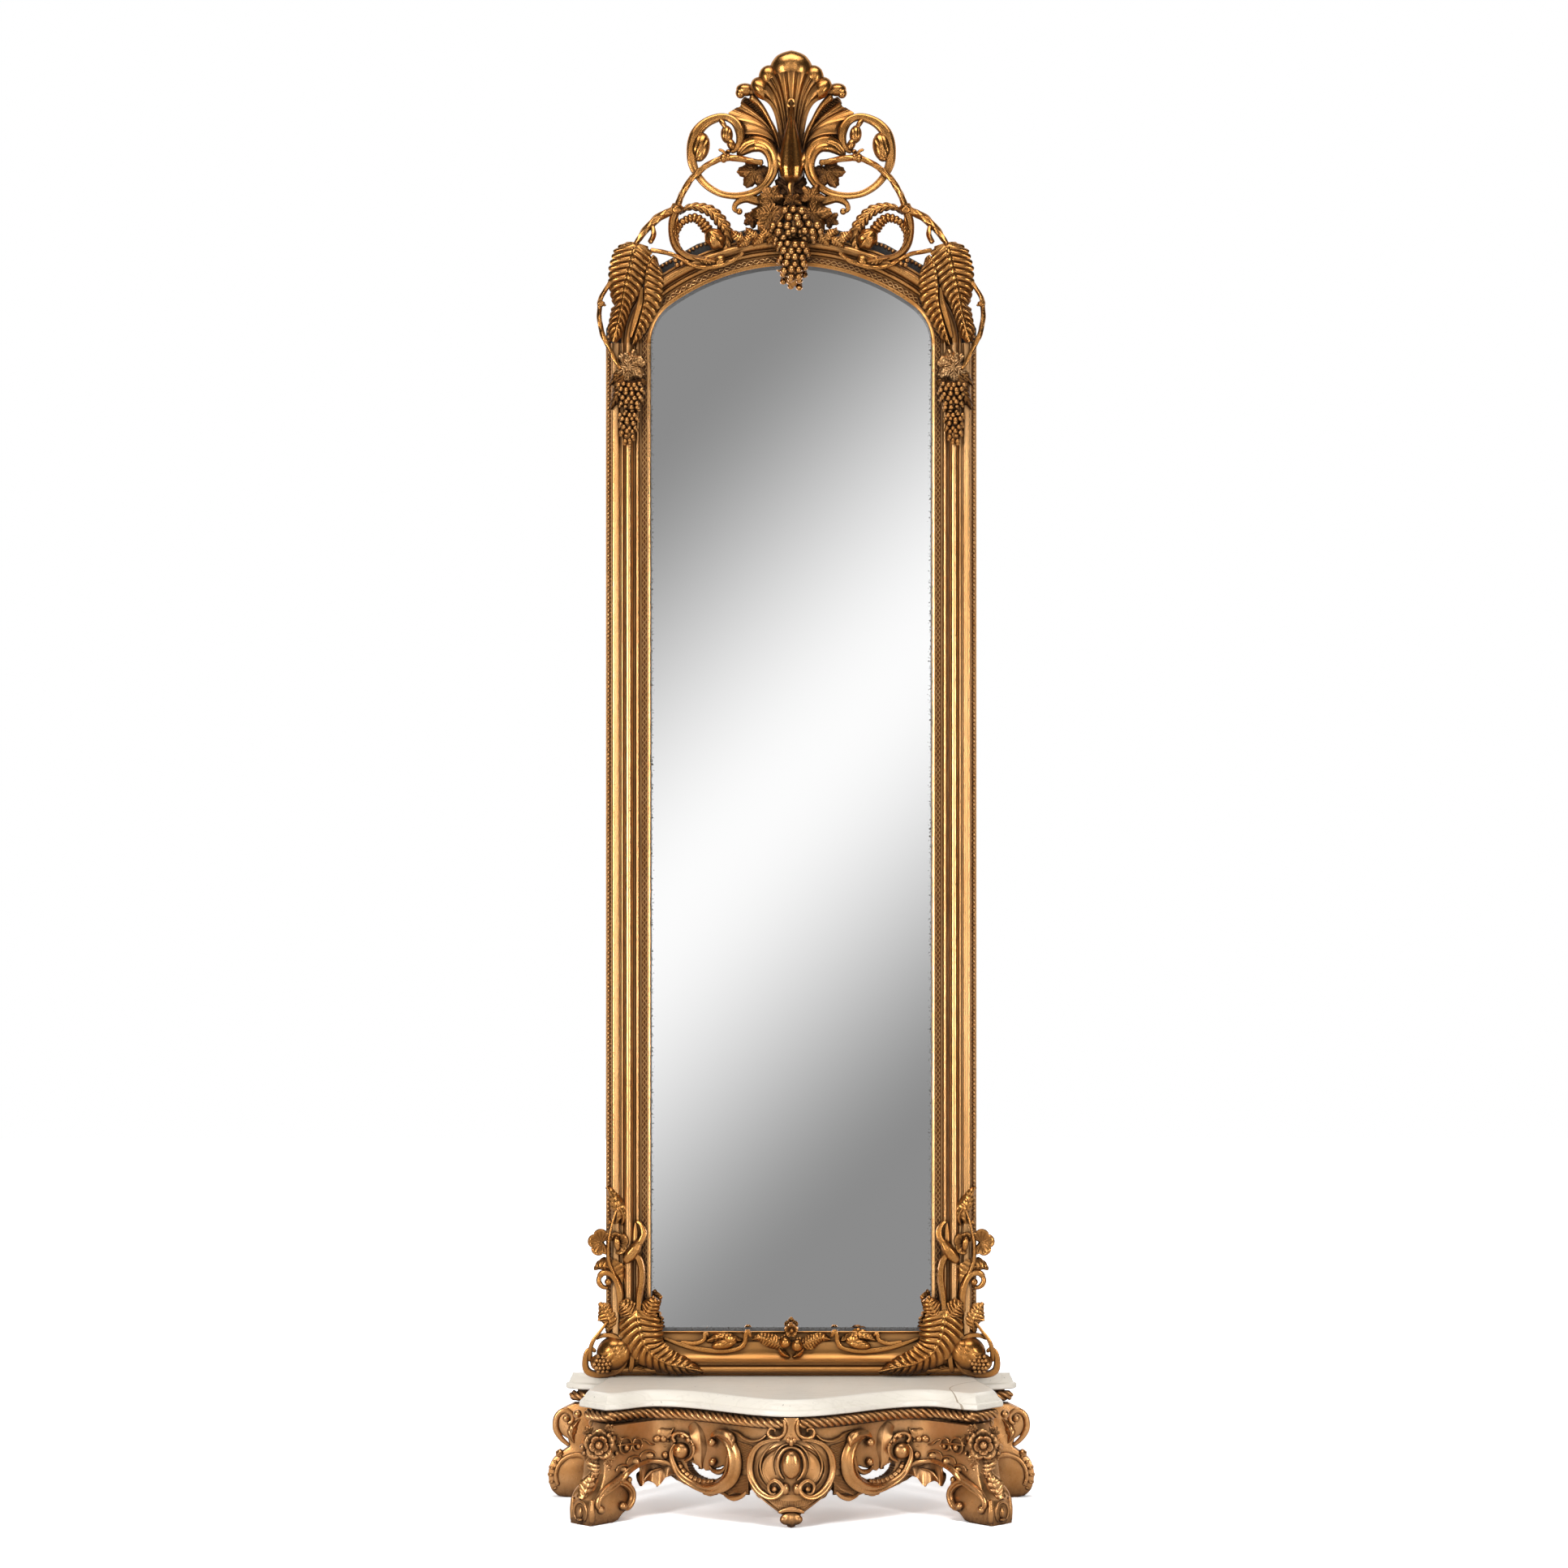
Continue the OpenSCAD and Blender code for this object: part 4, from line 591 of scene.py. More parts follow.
pearl_depth = carcass + 11
rows = np.arange(marble_z + rail_h + pearl_r, spring_z - pearl_r, 2 * pearl_r)
places = [(-edge_x + 5.5, wall_y - pearl_depth, z) for z in rows]
string = copies("pearls_left", round_model(pearl_r), places, pearl_gilt)
dress_pair(string, "moulding_gilt", "pearls", "pearl_string")


def board_corner(angle):
    """A corner of the sawn head board, just inside the outer edge of the arch, at degrees from upright."""
    turn = math.pi / 2 - math.radians(angle)
    return arch_point(np.array([turn]), frame_w - 8)[0]


half_board = [board_corner(10.4), board_corner(22.4), board_corner(math.degrees(crown_a)), board_corner(62),
    np.array([edge_x, board_corner(80)[1]]), np.array([edge_x, spring_z])]
hub = np.array([0, spring_z])
run = [p - 5.5 * (p - hub) / np.linalg.norm(p - hub) for p in half_board]
head_places = []
for start, end in zip(run[:-1], run[1:]):
    count = max(1, int(np.linalg.norm(end - start) / (2 * pearl_r)))
    for k in range(count):
        x, z = start + (end - start) * (k + 0.5) / count
        head_places += [(x, wall_y - carcass, z), (-x, wall_y - carcass, z)]
dress(copies("pearls_arch", round_model(pearl_r), head_places, pearl_gilt), "moulding_gilt", "pearl_string_arch")

# ---- Interlaced ribbon strips beside the sight edge ----
# Composition strips of two ribbons plaited in low relief, pressed in a mould, glued in the bed of the moulding.
plait_gilt = gilt("plait_gilt", 0.0002, (0.70, 0.40, 0.17), 0.5, 0.4, 1.0)
# Painted shade: the bed under the strands takes a near-black copy of the gold, where the gaps of the plait fall in
# shade
bed_gilt = gilt("plait_bed_gilt", 0.0002, (0.16, 0.070, 0.022), 0.4, 0.3, 1.0)


def joined(name, finish, pieces):
    """Parts of one carving made into one piece, with the finish on every part that has none of its own."""
    bpy.ops.object.select_all(action="DESELECT")
    for piece in pieces:
        if not piece.data.materials:
            piece.data.materials.append(finish)
        piece.select_set(True)
    bpy.context.view_layer.objects.active = pieces[0]
    if len(pieces) > 1:
        bpy.ops.object.join()
    pieces[0].name = pieces[0].data.name = name
    return pieces[0]


def plait(name, length, place_on, plaits=2, sides=6, pitch=25.0):
    """Strands that cross over and under along a line; place_on puts [run, across, up] on the moulding."""
    strands = []
    steps = int(length / 1.6)
    for k in range(plaits):
        def strand(u, v, phase=2 * math.pi * k / plaits):
            s = v * length
            turn = 2 * math.pi * s / pitch + phase
            around = 2 * math.pi * u
            across = 3.7 * np.sin(turn) + 1.45 * np.cos(around)
            up = 0.9 + 0.75 * np.cos(2 * turn + math.pi * k) + 1.0 * np.sin(around)
            return place_on(s, across, up)
        strands.append(shaped_grid(name, sides, steps, strand))
    # The flat bed under the strands, in the near-black bed gold, is painted shade between them
    bed = np.array([(-5.6, 0.05), (-5.6, 0.6), (5.6, 0.6), (5.6, 0.05)])
    strands.append(shaped_grid(name, 4, 180, lambda u, v: place_on(v * length, *along_outline(bed, u).T), bed_gilt))
    return joined(name, plait_gilt, strands)


ribbon_u = 80.7


def on_stile(s, across, up):
    return np.column_stack((ribbon_u - edge_x + across, wall_y - ribbon_bed - up, sight_z + s))


side_plait = plait("plait_left", spring_z - sight_z, on_stile)
dress_pair(side_plait, "moulding_gilt", "plait", "ribbon_strip")
angles = np.linspace(0, math.pi, 721)
arch_run = arch_point(angles, frame_w - ribbon_u)
arch_reach = np.concatenate(([0], np.cumsum(np.hypot(*np.diff(arch_run, axis=0).T))))


def on_arch(s, across, up):
    line = arch_point(np.interp(s, arch_reach, angles), frame_w - ribbon_u - across)
    return np.column_stack((line[:, 0], wall_y - ribbon_bed - up, line[:, 1]))


dress(plait("plait_arch", arch_reach[-1], on_arch), "moulding_gilt", "ribbon_strip_arch")

# ---- Crest: fluted palmette and teardrop boss ----
# The tallest carving, built up of pine, carved and gilt, and held by the batten behind it. A fluted leaf flares up
# out of a ridged teardrop and rolls forward in five lobes.
carving_gilt = gilt("carving_gilt", 0.0003, (0.55, 0.262, 0.08), 0.8, 0.45, 1.0)


def crest(x, z, depth):
    """A point of the crest, measured from the top of the sight opening."""
    return (x, wall_y - depth, arch_z + z)


def smooth(points, step):
    """A curve through every point, cut into even steps, and the distance run at each cut."""
    p = np.array(points, float)
    last = len(p) - 1
    bends = []
    for i in range(last):
        a, b, c, d = p[max(i - 1, 0)], p[i], p[i + 1], p[min(i + 2, last)]
        t = np.linspace(0, 1, 24, endpoint=False)[:, None]
        bends.append(0.5 * (2 * b + (c - a) * t + (2 * a - 5 * b + 4 * c - d) * t * t
                            + (3 * b - a - 3 * c + d) * t ** 3))
    line = np.vstack(bends + [p[-1:]])
    reach = np.concatenate(([0], np.cumsum(np.linalg.norm(np.diff(line, axis=0), axis=1))))
    even = np.linspace(0, reach[-1], max(6, int(reach[-1] / step)) + 1)
    return np.column_stack([np.interp(even, reach, line[:, k]) for k in range(3)]), even


def frames(line, across):
    """The way along a line, the way to its side and the way out of the wall, at every cut."""
    along = np.gradient(line, axis=0)
    along /= np.linalg.norm(along, axis=1)[:, None]
    side = np.cross(along, across)
    side /= np.linalg.norm(side, axis=1)[:, None]
    return along, side, np.cross(along, side)


def at_cuts(values, v):
    """Values known at every cut of a line, read between the cuts."""
    cuts = v * (len(values) - 1)
    return np.column_stack([np.interp(cuts, np.arange(len(values)), values[:, k]) for k in range(values.shape[1])])


def path(place_on, *points, side=1):
    """Points put on the object by a function of place, with x turned over where the side is -1."""
    return [place_on(side * x, z, depth) for x, z, depth in points]


def shares(sizes):
    """Rows that begin with a share of the length; plain sizes lie at even shares."""
    return sizes if isinstance(sizes, list) else np.column_stack((np.linspace(0, 1, len(sizes)), sizes))


def rod(name, points, girth, sides=14, step=3.0, section=None, across=(0, 1, 0), finish=None):
    """A carved rod along a curve, with rounded ends. Girth is half widths at even shares of its length, or rows of
    share, half width and half depth; section carves its skin, from the angle round it and the distance run."""
    line, reach = smooth(points, step)
    _, side, out = frames(line, np.array(across, float))
    girth = np.array([row if len(row) == 3 else (row[0], row[1], row[1]) for row in shares(girth)], float)
    share = reach / reach[-1]
    wide, deep = (np.interp(share, girth[:, 0], girth[:, k]) for k in (1, 2))
    nose = np.sqrt(1 - (1 - np.clip(reach / wide[0], 0, 1)) ** 2)
    tail = np.sqrt(1 - (1 - np.clip((reach[-1] - reach) / wide[-1], 0, 1)) ** 2)
    sizes = np.column_stack((wide, deep, reach)) * np.column_stack((nose * tail, nose * tail, np.ones(len(reach))))

    def place(u, v):
        turn = 2 * math.pi * u
        size = at_cuts(sizes, v)
        carved = 1 if section is None else section(turn, size[:, 2])
        return (at_cuts(line, v) + at_cuts(side, v) * (size[:, 0] * np.cos(turn) * carved)[:, None]
                + at_cuts(out, v) * (size[:, 1] * np.sin(turn) * carved)[:, None])

    return shaped_grid(name, sides, len(line) - 1, place, finish)


def knob(name, centre, half_sizes, turn=0, around=20, up=14, carve=None, finish=None):
    """A ball primitive drawn out to half sizes across, up and out of the wall, and turned in the wall's plane."""
    model = round_model(1000, around, up)
    corners = corners_of(model)
    half_sizes = np.broadcast_to(half_sizes, 3)
    if carve is not None:
        corners = corners * carve(corners)[:, None]
    a = math.radians(turn)
    x, y, z = corners[:, 0] * half_sizes[0], corners[:, 1] * half_sizes[2], corners[:, 2] * half_sizes[1]
    moved = np.column_stack((x * math.cos(a) - z * math.sin(a), y, x * math.sin(a) + z * math.cos(a)))
    move_corners(model, (moved + np.array(centre)) / 1000)
    model.name = model.data.name = name
    bpy.ops.object.shade_smooth()
    if finish:
        model.data.materials.append(finish)
    return model


def slot_of(finish):
    """The record's slot of a finish, without the number that Blender adds to a name that the CAD model has too."""
    return finish.name.partition(".")[0]


def single(name, node, finish, parts):
    """One carving from its parts, which stands for one node."""
    dress(joined(name, finish, parts), slot_of(finish), node)


def pair(name, node, finish, parts):
    """The left-hand one of two carvings from its parts, and the right-hand one mirrored from it."""
    dress_pair(joined(name + "_left", finish, parts), slot_of(finish), name, node)


def thicken(piece, thickness, facing):
    """Gives a carved face its thickness, back from the side that faces the given way."""
    mesh = piece.data
    normals = np.empty(len(mesh.polygons) * 3)
    mesh.polygons.foreach_get("normal", normals)
    if (normals.reshape(-1, 3) @ np.array(facing)).sum() < 0:
        mesh.flip_normals()
    solid = piece.modifiers.new("thickness", "SOLIDIFY")
    solid.thickness = thickness / 1000
    solid.offset = -1
    bpy.ops.object.modifier_apply(modifier="thickness")
    bpy.ops.object.shade_smooth_by_angle(angle=math.radians(50))
    return piece


def sheet(name, across, along, place, thickness, facing=(0, -1, 0), finish=None):
    """A carved sheet whose shown face is given by place; its thickness goes back from that face."""
    return thicken(shaped_grid(name, across, along, place, finish, close=False), thickness, facing)


# The lobes of the leaf from its middle outwards: middle, half width and roll, in shares of its half width and mm
palmette_lobes = ((0, 0.38, 22), (0.53, 0.17, 13), (0.85, 0.16, 16))
palmette_rim = np.array([(0, 0, 413), (0.2, 21, 408), (0.37, 36, 399), (0.46, 43, 395), (0.56, 50, 389),
    (0.67, 56, 381), (0.77, 63, 370), (0.88, 65, 360), (1, 59, 348)])
flute_edges = np.array((-1, -0.70, -0.52, -0.36, -0.13, 0.13, 0.36, 0.52, 0.70, 1))


def palmette_place(u, v):
    a = 2 * u - 1
    b = np.abs(a)
    rim_x, rim_z = (np.interp(b, palmette_rim[:, 0], palmette_rim[:, k]) for k in (1, 2))
    t = np.clip(v / 0.7, 0, 1)
    steps = [(1 - t) ** 3, 3 * (1 - t) ** 2 * t, 3 * (1 - t) * t * t, t ** 3]
    x = steps[0] * 17 * b + steps[1] * 19 * b + steps[2] * 0.45 * rim_x + steps[3] * rim_x
    z = steps[0] * 204 + steps[1] * 300 + steps[2] * (rim_z - 6 - 34 * (1 - b)) + steps[3] * rim_z
    roll = 2.0 + np.zeros_like(b)
    for centre, half, size in palmette_lobes:
        roll = np.maximum(roll, size * np.sqrt(np.clip(1 - ((b - centre) / half) ** 2, 0, 1)))
    way_x, way_z = rim_x, rim_z - 318
    way = np.hypot(way_x, way_z)
    curl = np.clip((v - 0.7) / 0.3, 0, 1) * math.radians(215)
    x = x + way_x / way * roll * np.sin(curl)
    z = z + way_z / way * roll * np.sin(curl)
    depth = 43 + 5 * (1 - b * b) + 22 * t ** 3 + 0.6 * roll * (1 - np.cos(curl))
    k = np.clip(np.searchsorted(flute_edges, a, side="right") - 1, 0, 8)
    across = (a - flute_edges[k]) / (flute_edges[k + 1] - flute_edges[k]) * 2 - 1
    depth += (1.5 + 3.2 * t) * np.abs(across) ** 3 * np.clip((0.86 - v) * 8, 0, 1)
    return np.column_stack(crest(np.sign(a) * x, z, np.minimum(depth, 97)))


single("crest_palmette_leaf", "crest_palmette", carving_gilt, [sheet("leaf", 252, 96, palmette_place, 7)])


def boss_ridge(turn, run):
    off = turn - math.pi / 2
    return 1 + 0.10 * np.exp(-(off / 0.10) ** 2) - 0.08 * np.exp(-((np.abs(off) - 0.35) / 0.25) ** 2)


boss = rod("crest_boss_drop", path(crest, (0, 334, 64), (0, 290, 62), (0, 240, 60), (0, 168, 52)),
    [(0, 2, 3), (0.12, 5, 7), (0.28, 11, 14), (0.45, 18, 20), (0.62, 25, 26), (0.78, 28, 30), (0.9, 24, 25),
    (1, 9, 10)], sides=56, step=2.2, section=boss_ridge)
boss_parts = [boss, rod("drop", path(crest, (0, 178, 60), (0, 156, 64), (0, 146, 66)), (9, 4, 4.5)),
    rod("eyelet", [crest(7 * math.sin(a), 336 - 8 * math.cos(a), 62) for a in np.radians(range(0, 361, 30))],
    (2.2, 2.2), sides=8, step=1.5)]
for s in (-1, 1):
    boss_parts.append(rod("shoulder", path(crest, (4, 196, 54), (24, 214, 58), (32, 236, 54), side=s),
        [(0, 16, 20), (0.5, 13, 16), (1, 7, 9)], sides=24))
single("crest_boss_drop", "crest_boss", carving_gilt, boss_parts)

# ---- Crest: bat-wing fans ----
# Thin webbed wings beside the palmette. Each is stiffened by ribs from one root, the leading one rolled to a hood at
# its tip, and fine combing runs beside two of them.
fan_apex = np.array([-26, 226])
fan_reach = np.array([(115, 138), (119, 141), (123, 140), (127, 134), (132, 137), (138, 141), (140, 124), (143, 104),
    (147, 92), (151, 88), (156, 80)])


def fan_place(u, v):
    angle = 115 + 41 * u
    reach = np.interp(angle, fan_reach[:, 0], fan_reach[:, 1])
    web = (u * 5) % 1 * 2 - 1
    bend = np.radians(angle - (25 + 45 * u) * (1 - v) ** 1.3)
    run = 8 + (reach - 8) * v
    x, z = fan_apex[0] + run * np.cos(bend), fan_apex[1] + run * np.sin(bend)
    depth = 42 + 10 * np.sin(math.pi * v) - 2 * v + (1.2 + 3.4 * v) * np.abs(web) ** 3
    combed = np.clip((v - 0.25) / 0.15, 0, 1) * np.where((u < 0.2) | ((u > 0.8) & (v < 0.9)), 1, 0)
    depth += 1.3 * combed * np.sin(2 * math.pi * run / 5.2) * (1 - web ** 4) * np.clip((web + 0.75) * 3, 0, 1)
    return np.column_stack(crest(x, z, depth))


pair("crest_wing", "crest_fan", carving_gilt, [
    sheet("web", 130, 110, fan_place, 7),
    rod("rib", path(crest, (-22, 232, 48), (-33, 272, 53), (-49, 308, 57), (-66, 334, 60), (-86, 352, 62)),
        [(0, 3, 6), (0.5, 4.5, 7), (0.85, 6.5, 8), (1, 9, 9)]),
    knob("tip", crest(-95, 365, 57), (20, 13.5, 15), turn=-4, around=36, up=24),
    knob("tip", crest(-106, 357, 60), (10, 11, 10), turn=20),
    knob("tip", crest(-82, 362, 60), (13, 9, 9), turn=-22),
])

# ---- Crest: large C-scrolls with their buds ----
# Each scroll springs from under the fan, rolls down beside the teardrop as a coved band, and sweeps out and back to a
# leafy hook. A bud swells from the inside of its arc and another from its end.


def scroll_cove(turn, run):
    channel = 0.34 * np.clip((430 - run) / 120, 0.35, 1) * np.exp(-((turn - math.pi / 2) / 0.40) ** 2)
    edges = 0.07 * np.exp(-((np.abs(turn - math.pi / 2) - 0.82) / 0.16) ** 2)
    return 1 - channel + edges


def bud_carve(corners):
    """Petals laid round each other, cut with a slanting furrow and ribbed towards the tip."""
    x, y, z = corners.T
    front = np.clip(-y * 3 + 0.4, 0, 1)
    furrow = 0.20 * np.exp(-((x - 0.25 - 0.45 * z) / 0.10) ** 2) + 0.12 * np.exp(-((x + 0.42 - 0.2 * z) / 0.09) ** 2)
    return 1 - front * furrow * np.clip(1.2 - np.abs(z), 0, 1)


scroll_line = path(crest, (-112, 228, 45), (-101, 240, 49), (-88, 249, 54), (-70, 252, 59), (-54, 246, 62),
    (-42, 231, 62), (-37, 209, 61), (-42, 186, 59), (-56, 166, 56), (-77, 152, 54), (-99, 146, 53), (-122, 145, 52),
    (-148, 150, 51), (-174, 165, 50), (-193, 186, 49), (-205, 211, 48), (-207, 236, 48), (-204, 259, 48),
    (-195, 280, 47), (-180, 296, 46), (-161, 306, 46), (-141, 310, 46), (-123, 304, 47), (-111, 290, 49),
    (-106, 272, 51), (-108, 253, 51), (-117, 241, 50), (-127, 236, 49))
pair("crest_c_scroll", "crest_scroll", carving_gilt, [
    rod("scroll", scroll_line, [(0, 4, 5), (0.02, 10, 9), (0.045, 15, 12), (0.085, 17, 15), (0.13, 15, 14),
        (0.2, 12, 12), (0.3, 8.5, 10), (0.42, 7, 8), (0.54, 8, 8), (0.62, 11, 10), (0.7, 13, 12), (0.76, 10.5, 10),
        (0.83, 8, 8), (0.9, 10, 8), (0.96, 8, 7), (1, 4, 4)], sides=40, step=2.4, section=scroll_cove),
    knob("bud", crest(-188, 247, 51), (19, 30, 15), turn=-10, around=36, up=28, carve=bud_carve),
    knob("bud_tip", crest(-190, 223, 52), (10, 7, 8), turn=14),
    knob("bud", crest(-134, 273, 50), (13, 19, 13), turn=6, around=36, up=28, carve=bud_carve),
    knob("bud_tip", crest(-125, 252, 51), (9, 14, 9), turn=24),
    knob("bud_tip", crest(-131, 237, 52), (6, 5, 6)),
    rod("sepal", path(crest, (-150, 307, 47), (-143, 297, 52), (-135, 284, 54)), (5, 6, 4)),
])

# ---- Crest: vine twigs ----
# A sawn-off vine stem crosses each scroll and drops to a knot over the shoulder, where the branches part.


def bark(turn, run):
    return 1 + 0.10 * np.sin(3 * turn + run / 11) * np.sin(run / 17) + 0.06 * np.sin(5 * turn - run / 6)


def lumps(corners):
    return 1 + 0.10 * np.sin(5 * corners[:, 0] + 2) * np.sin(6 * corners[:, 2]) + 0.05 * np.sin(9 * corners[:, 2])


def vine_leaf(name, centre, radius, turn, tilt=(0, 0), thick=5, ruffle=4, seed=0.0, deep=2.2, finish=None):
    """A five-lobed leaf that faces the room. Turn is where its tip points, in degrees from upright towards the right;
    tilt is how much further out it stands per millimetre to the right and upwards."""
    tips = np.radians((0, 62, 122, -62, -122))
    sizes = np.array((1.0, 0.92, 0.70, 0.92, 0.70))
    widths = np.array((0.50, 0.47, 0.44, 0.47, 0.44))
    aim = math.radians(turn)

    def place(u, v):
        way = 2 * math.pi * (u - 0.5)
        gaps = (way[:, None] - tips + math.pi) % (2 * math.pi) - math.pi
        lobes = sizes * np.exp(-(gaps / widths) ** 2)
        nearest = np.take_along_axis(gaps, np.abs(gaps).argmin(axis=1)[:, None], axis=1)[:, 0]
        rim = radius * (0.56 + 0.44 * lobes.max(axis=1))
        stem_notch = 0.30 * np.exp(-((np.abs(way) - math.pi) / 0.22) ** 2)
        rim = rim * (1 - 0.07 * np.abs(np.sin(11 * way + seed)) - stem_notch)
        r = v * rim
        along, off = r * np.cos(nearest), np.abs(r * np.sin(nearest))
        veins = deep * np.exp(-(off / (0.035 * radius)) ** 2)
        pillows = deep * 0.8 * np.abs(np.sin(math.pi * (along - 0.9 * off) / (0.17 * radius))) ** 0.6
        pillows = pillows * np.clip(off / (0.06 * radius), 0, 1) * np.clip((1 - v) * 5, 0, 1)
        up = veins + pillows + ruffle * v ** 3 * np.sin(5 * way + seed) - 0.10 * radius * v * v
        a, b = r * np.sin(way), r * np.cos(way)
        x = a * math.cos(aim) + b * math.sin(aim)
        z = b * math.cos(aim) - a * math.sin(aim)
        return np.column_stack((centre[0] + x, centre[1] - up - tilt[0] * x - tilt[1] * z, centre[2] + z))

    return sheet(name, 90, 18, place, thick, finish=finish)


# Painted shade: these leaves take a much darker copy of the gold for the shade they lie in, besides the brown toning
# kept in their hollows and veins
leaf_gilt = gilt("leaf_gilt", 0.0005, (0.25, 0.115, 0.036), 0.6, 0.5, 1.0)
pair("vine_twig", "crest_vine", carving_gilt, [
    vine_leaf("leaf", crest(-76, 196, 50), 40, -150, tilt=(0.1, -0.1), thick=4, ruffle=3, seed=1.1, finish=leaf_gilt),
    rod("twig", path(crest, (-57, 212, 58), (-96, 219, 60), (-134, 223, 60), (-168, 211, 60), (-205, 182, 59),
        (-226, 150, 58), (-235, 128, 58), (-238, 114, 58)), [(0, 7.5), (0.05, 6), (0.3, 7), (0.34, 8.5), (0.4, 6),
        (1, 7)], sides=18, section=bark),
    rod("cut", path(crest, (-58, 212, 58), (-61, 212.4, 58), (-66, 213, 58)),
        [(0, 6), (0.3, 8.5), (0.7, 8.5), (1, 6)], step=0.8),
    knob("knot", crest(-141, 222, 60), (8, 10, 10), turn=10),
    knob("knot", crest(-131, 224, 60), (6, 8.5, 9), turn=10),
    knob("knot", crest(-238, 117, 57), (14, 13, 13), carve=lumps),
    rod("shoot", path(crest, (-134, 226, 62), (-142, 236, 64), (-152, 240, 62)), (4, 3)),
])

# ---- Crest: acanthus rings at the ends of the arch ----
# Under each knot a hollow scroll curls in a ring, wrapped by a sheathing acanthus leaf. Inside it a beaded tendril
# ends in a small shell.


def leaf(name, midrib, half, ribs, rib_h, thick, right=None, cup=5, slant=0.6, cord=(2.2, 2.4), notch=0.08, across=24,
        per_rib=9, wave=0, finish=None):
    """A carved leaf along its midrib. Half is its half width at even shares of its length, or rows of share and half
    width, on the left side alone where right is given too. Pillowed ribs slant to the margin, which is nicked between
    them; the cord is the midrib's half width and height."""
    line = smooth(midrib, 2.0)[0]
    _, side, out = frames(line, np.array((0, 1, 0), float))
    left = np.array(shares(half), float)
    right = left if right is None else np.array(shares(right), float)

    def place(u, v):
        a = 2 * u - 1
        half = np.where(a < 0, np.interp(v, left[:, 0], left[:, 1]), np.interp(v, right[:, 0], right[:, 1]))
        pillow = np.abs(np.sin(math.pi * (v * ribs - slant * np.abs(a)))) ** 0.5
        ends = np.clip(v * 8, 0, 1) * np.clip((1 - v) * 6, 0, 1)
        margin = 1 - notch * (1 - pillow) * np.abs(a) ** 2
        gap = np.abs(a) * half / cord[0]
        ruffle = np.abs(a) ** 3 * np.sin(2 * math.pi * (1.7 * v + 0.25 * np.sign(a)))
        up = (rib_h * (pillow - 0.5) * np.clip(gap / 2, 0, 1) * (1 - np.abs(a) ** 5) * ends - cup * a * a
              + cord[1] * np.exp(-gap ** 2) * ends + wave * ruffle)
        return at_cuts(line, v) + at_cuts(side, v) * (a * half * margin)[:, None] + at_cuts(out, v) * up[:, None]

    return sheet(name, across, max(24, int(ribs * per_rib)), place, thick, finish=finish)


def beading(pitch, depth=0.2):
    """The carving of a rod beaded along its length."""
    return lambda turn, run: 1 - depth + depth * np.abs(np.sin(math.pi * run / pitch)) ** 0.7


def shell_ribs(corners):
    """Flutes fanning from the foot of a small shell."""
    spread = np.arctan2(corners[:, 0], corners[:, 2] + 1.05)
    return 1 + 0.07 * np.cos(14 * spread) * np.clip(corners[:, 2] + 1, 0, 1)


def grooved(count, depth=0.1):
    """The carving of a rod grooved along its length, on the side that shows."""
    return lambda turn, run: (1 - depth * np.clip(np.sin(turn) * 3, 0, 1)
        * (0.5 + 0.5 * np.cos(count * (turn - math.pi / 2))))


pair("acanthus_ring", "crest_acanthus", carving_gilt, [
    rod("ring", path(crest, (-238, 117, 56), (-247, 86, 57), (-242, 44, 58), (-219, 18, 60), (-184, 10, 61),
        (-148, 6, 62)), [(0, 9), (0.3, 9, 8), (0.6, 8), (1, 10)], sides=28, section=grooved(8)),
    rod("tendril", path(crest, (-236, 70, 54), (-226, 90, 56), (-200, 98, 58), (-180, 82, 60), (-170, 64, 62)),
        [(0, 6), (0.3, 9), (0.7, 12), (1, 14)], sides=20, step=1.2, section=beading(9, 0.32)),
    knob("shell", crest(-159, 54, 66), (20, 24, 17), turn=-140, around=36, up=24, carve=shell_ribs),
    leaf("sheath", path(crest, (-234, 108, 56), (-214, 121, 58), (-190, 121, 60), (-162, 108, 62), (-140, 78, 64),
        (-134, 48, 64), (-144, 18, 64)), [(0, 4), (0.3, 12), (0.6, 14), (0.85, 13), (1, 3)], 12, 4.5, 7,
        right=[(0, 4), (0.4, 14), (0.7, 17), (0.9, 12), (1, 3)], cup=7, slant=1.1, notch=0.42),
    leaf("wrap", path(crest, (-236, 98, 64), (-240, 74, 68), (-238, 50, 68), (-228, 30, 68)),
        [(0, 3), (0.4, 9), (1, 2)], 8, 2.2, 5, slant=1.0, notch=0.3),
    leaf("wrap", path(crest, (-206, 14, 68), (-184, 10, 72), (-162, 6, 72), (-142, 2, 70)), (3, 12, 3), 7, 2.4, 5,
        right=(3, 8, 3), slant=1.0, notch=0.3),
    knob("petal", crest(-148, 8, 70), (11, 13, 9), turn=-30, carve=bud_carve),
])

# ---- Vine leaves under the teardrop ----
# Ragged, deeply veined leaves nailed over the middle of the arch, with the hooked tips of a bracket behind them.


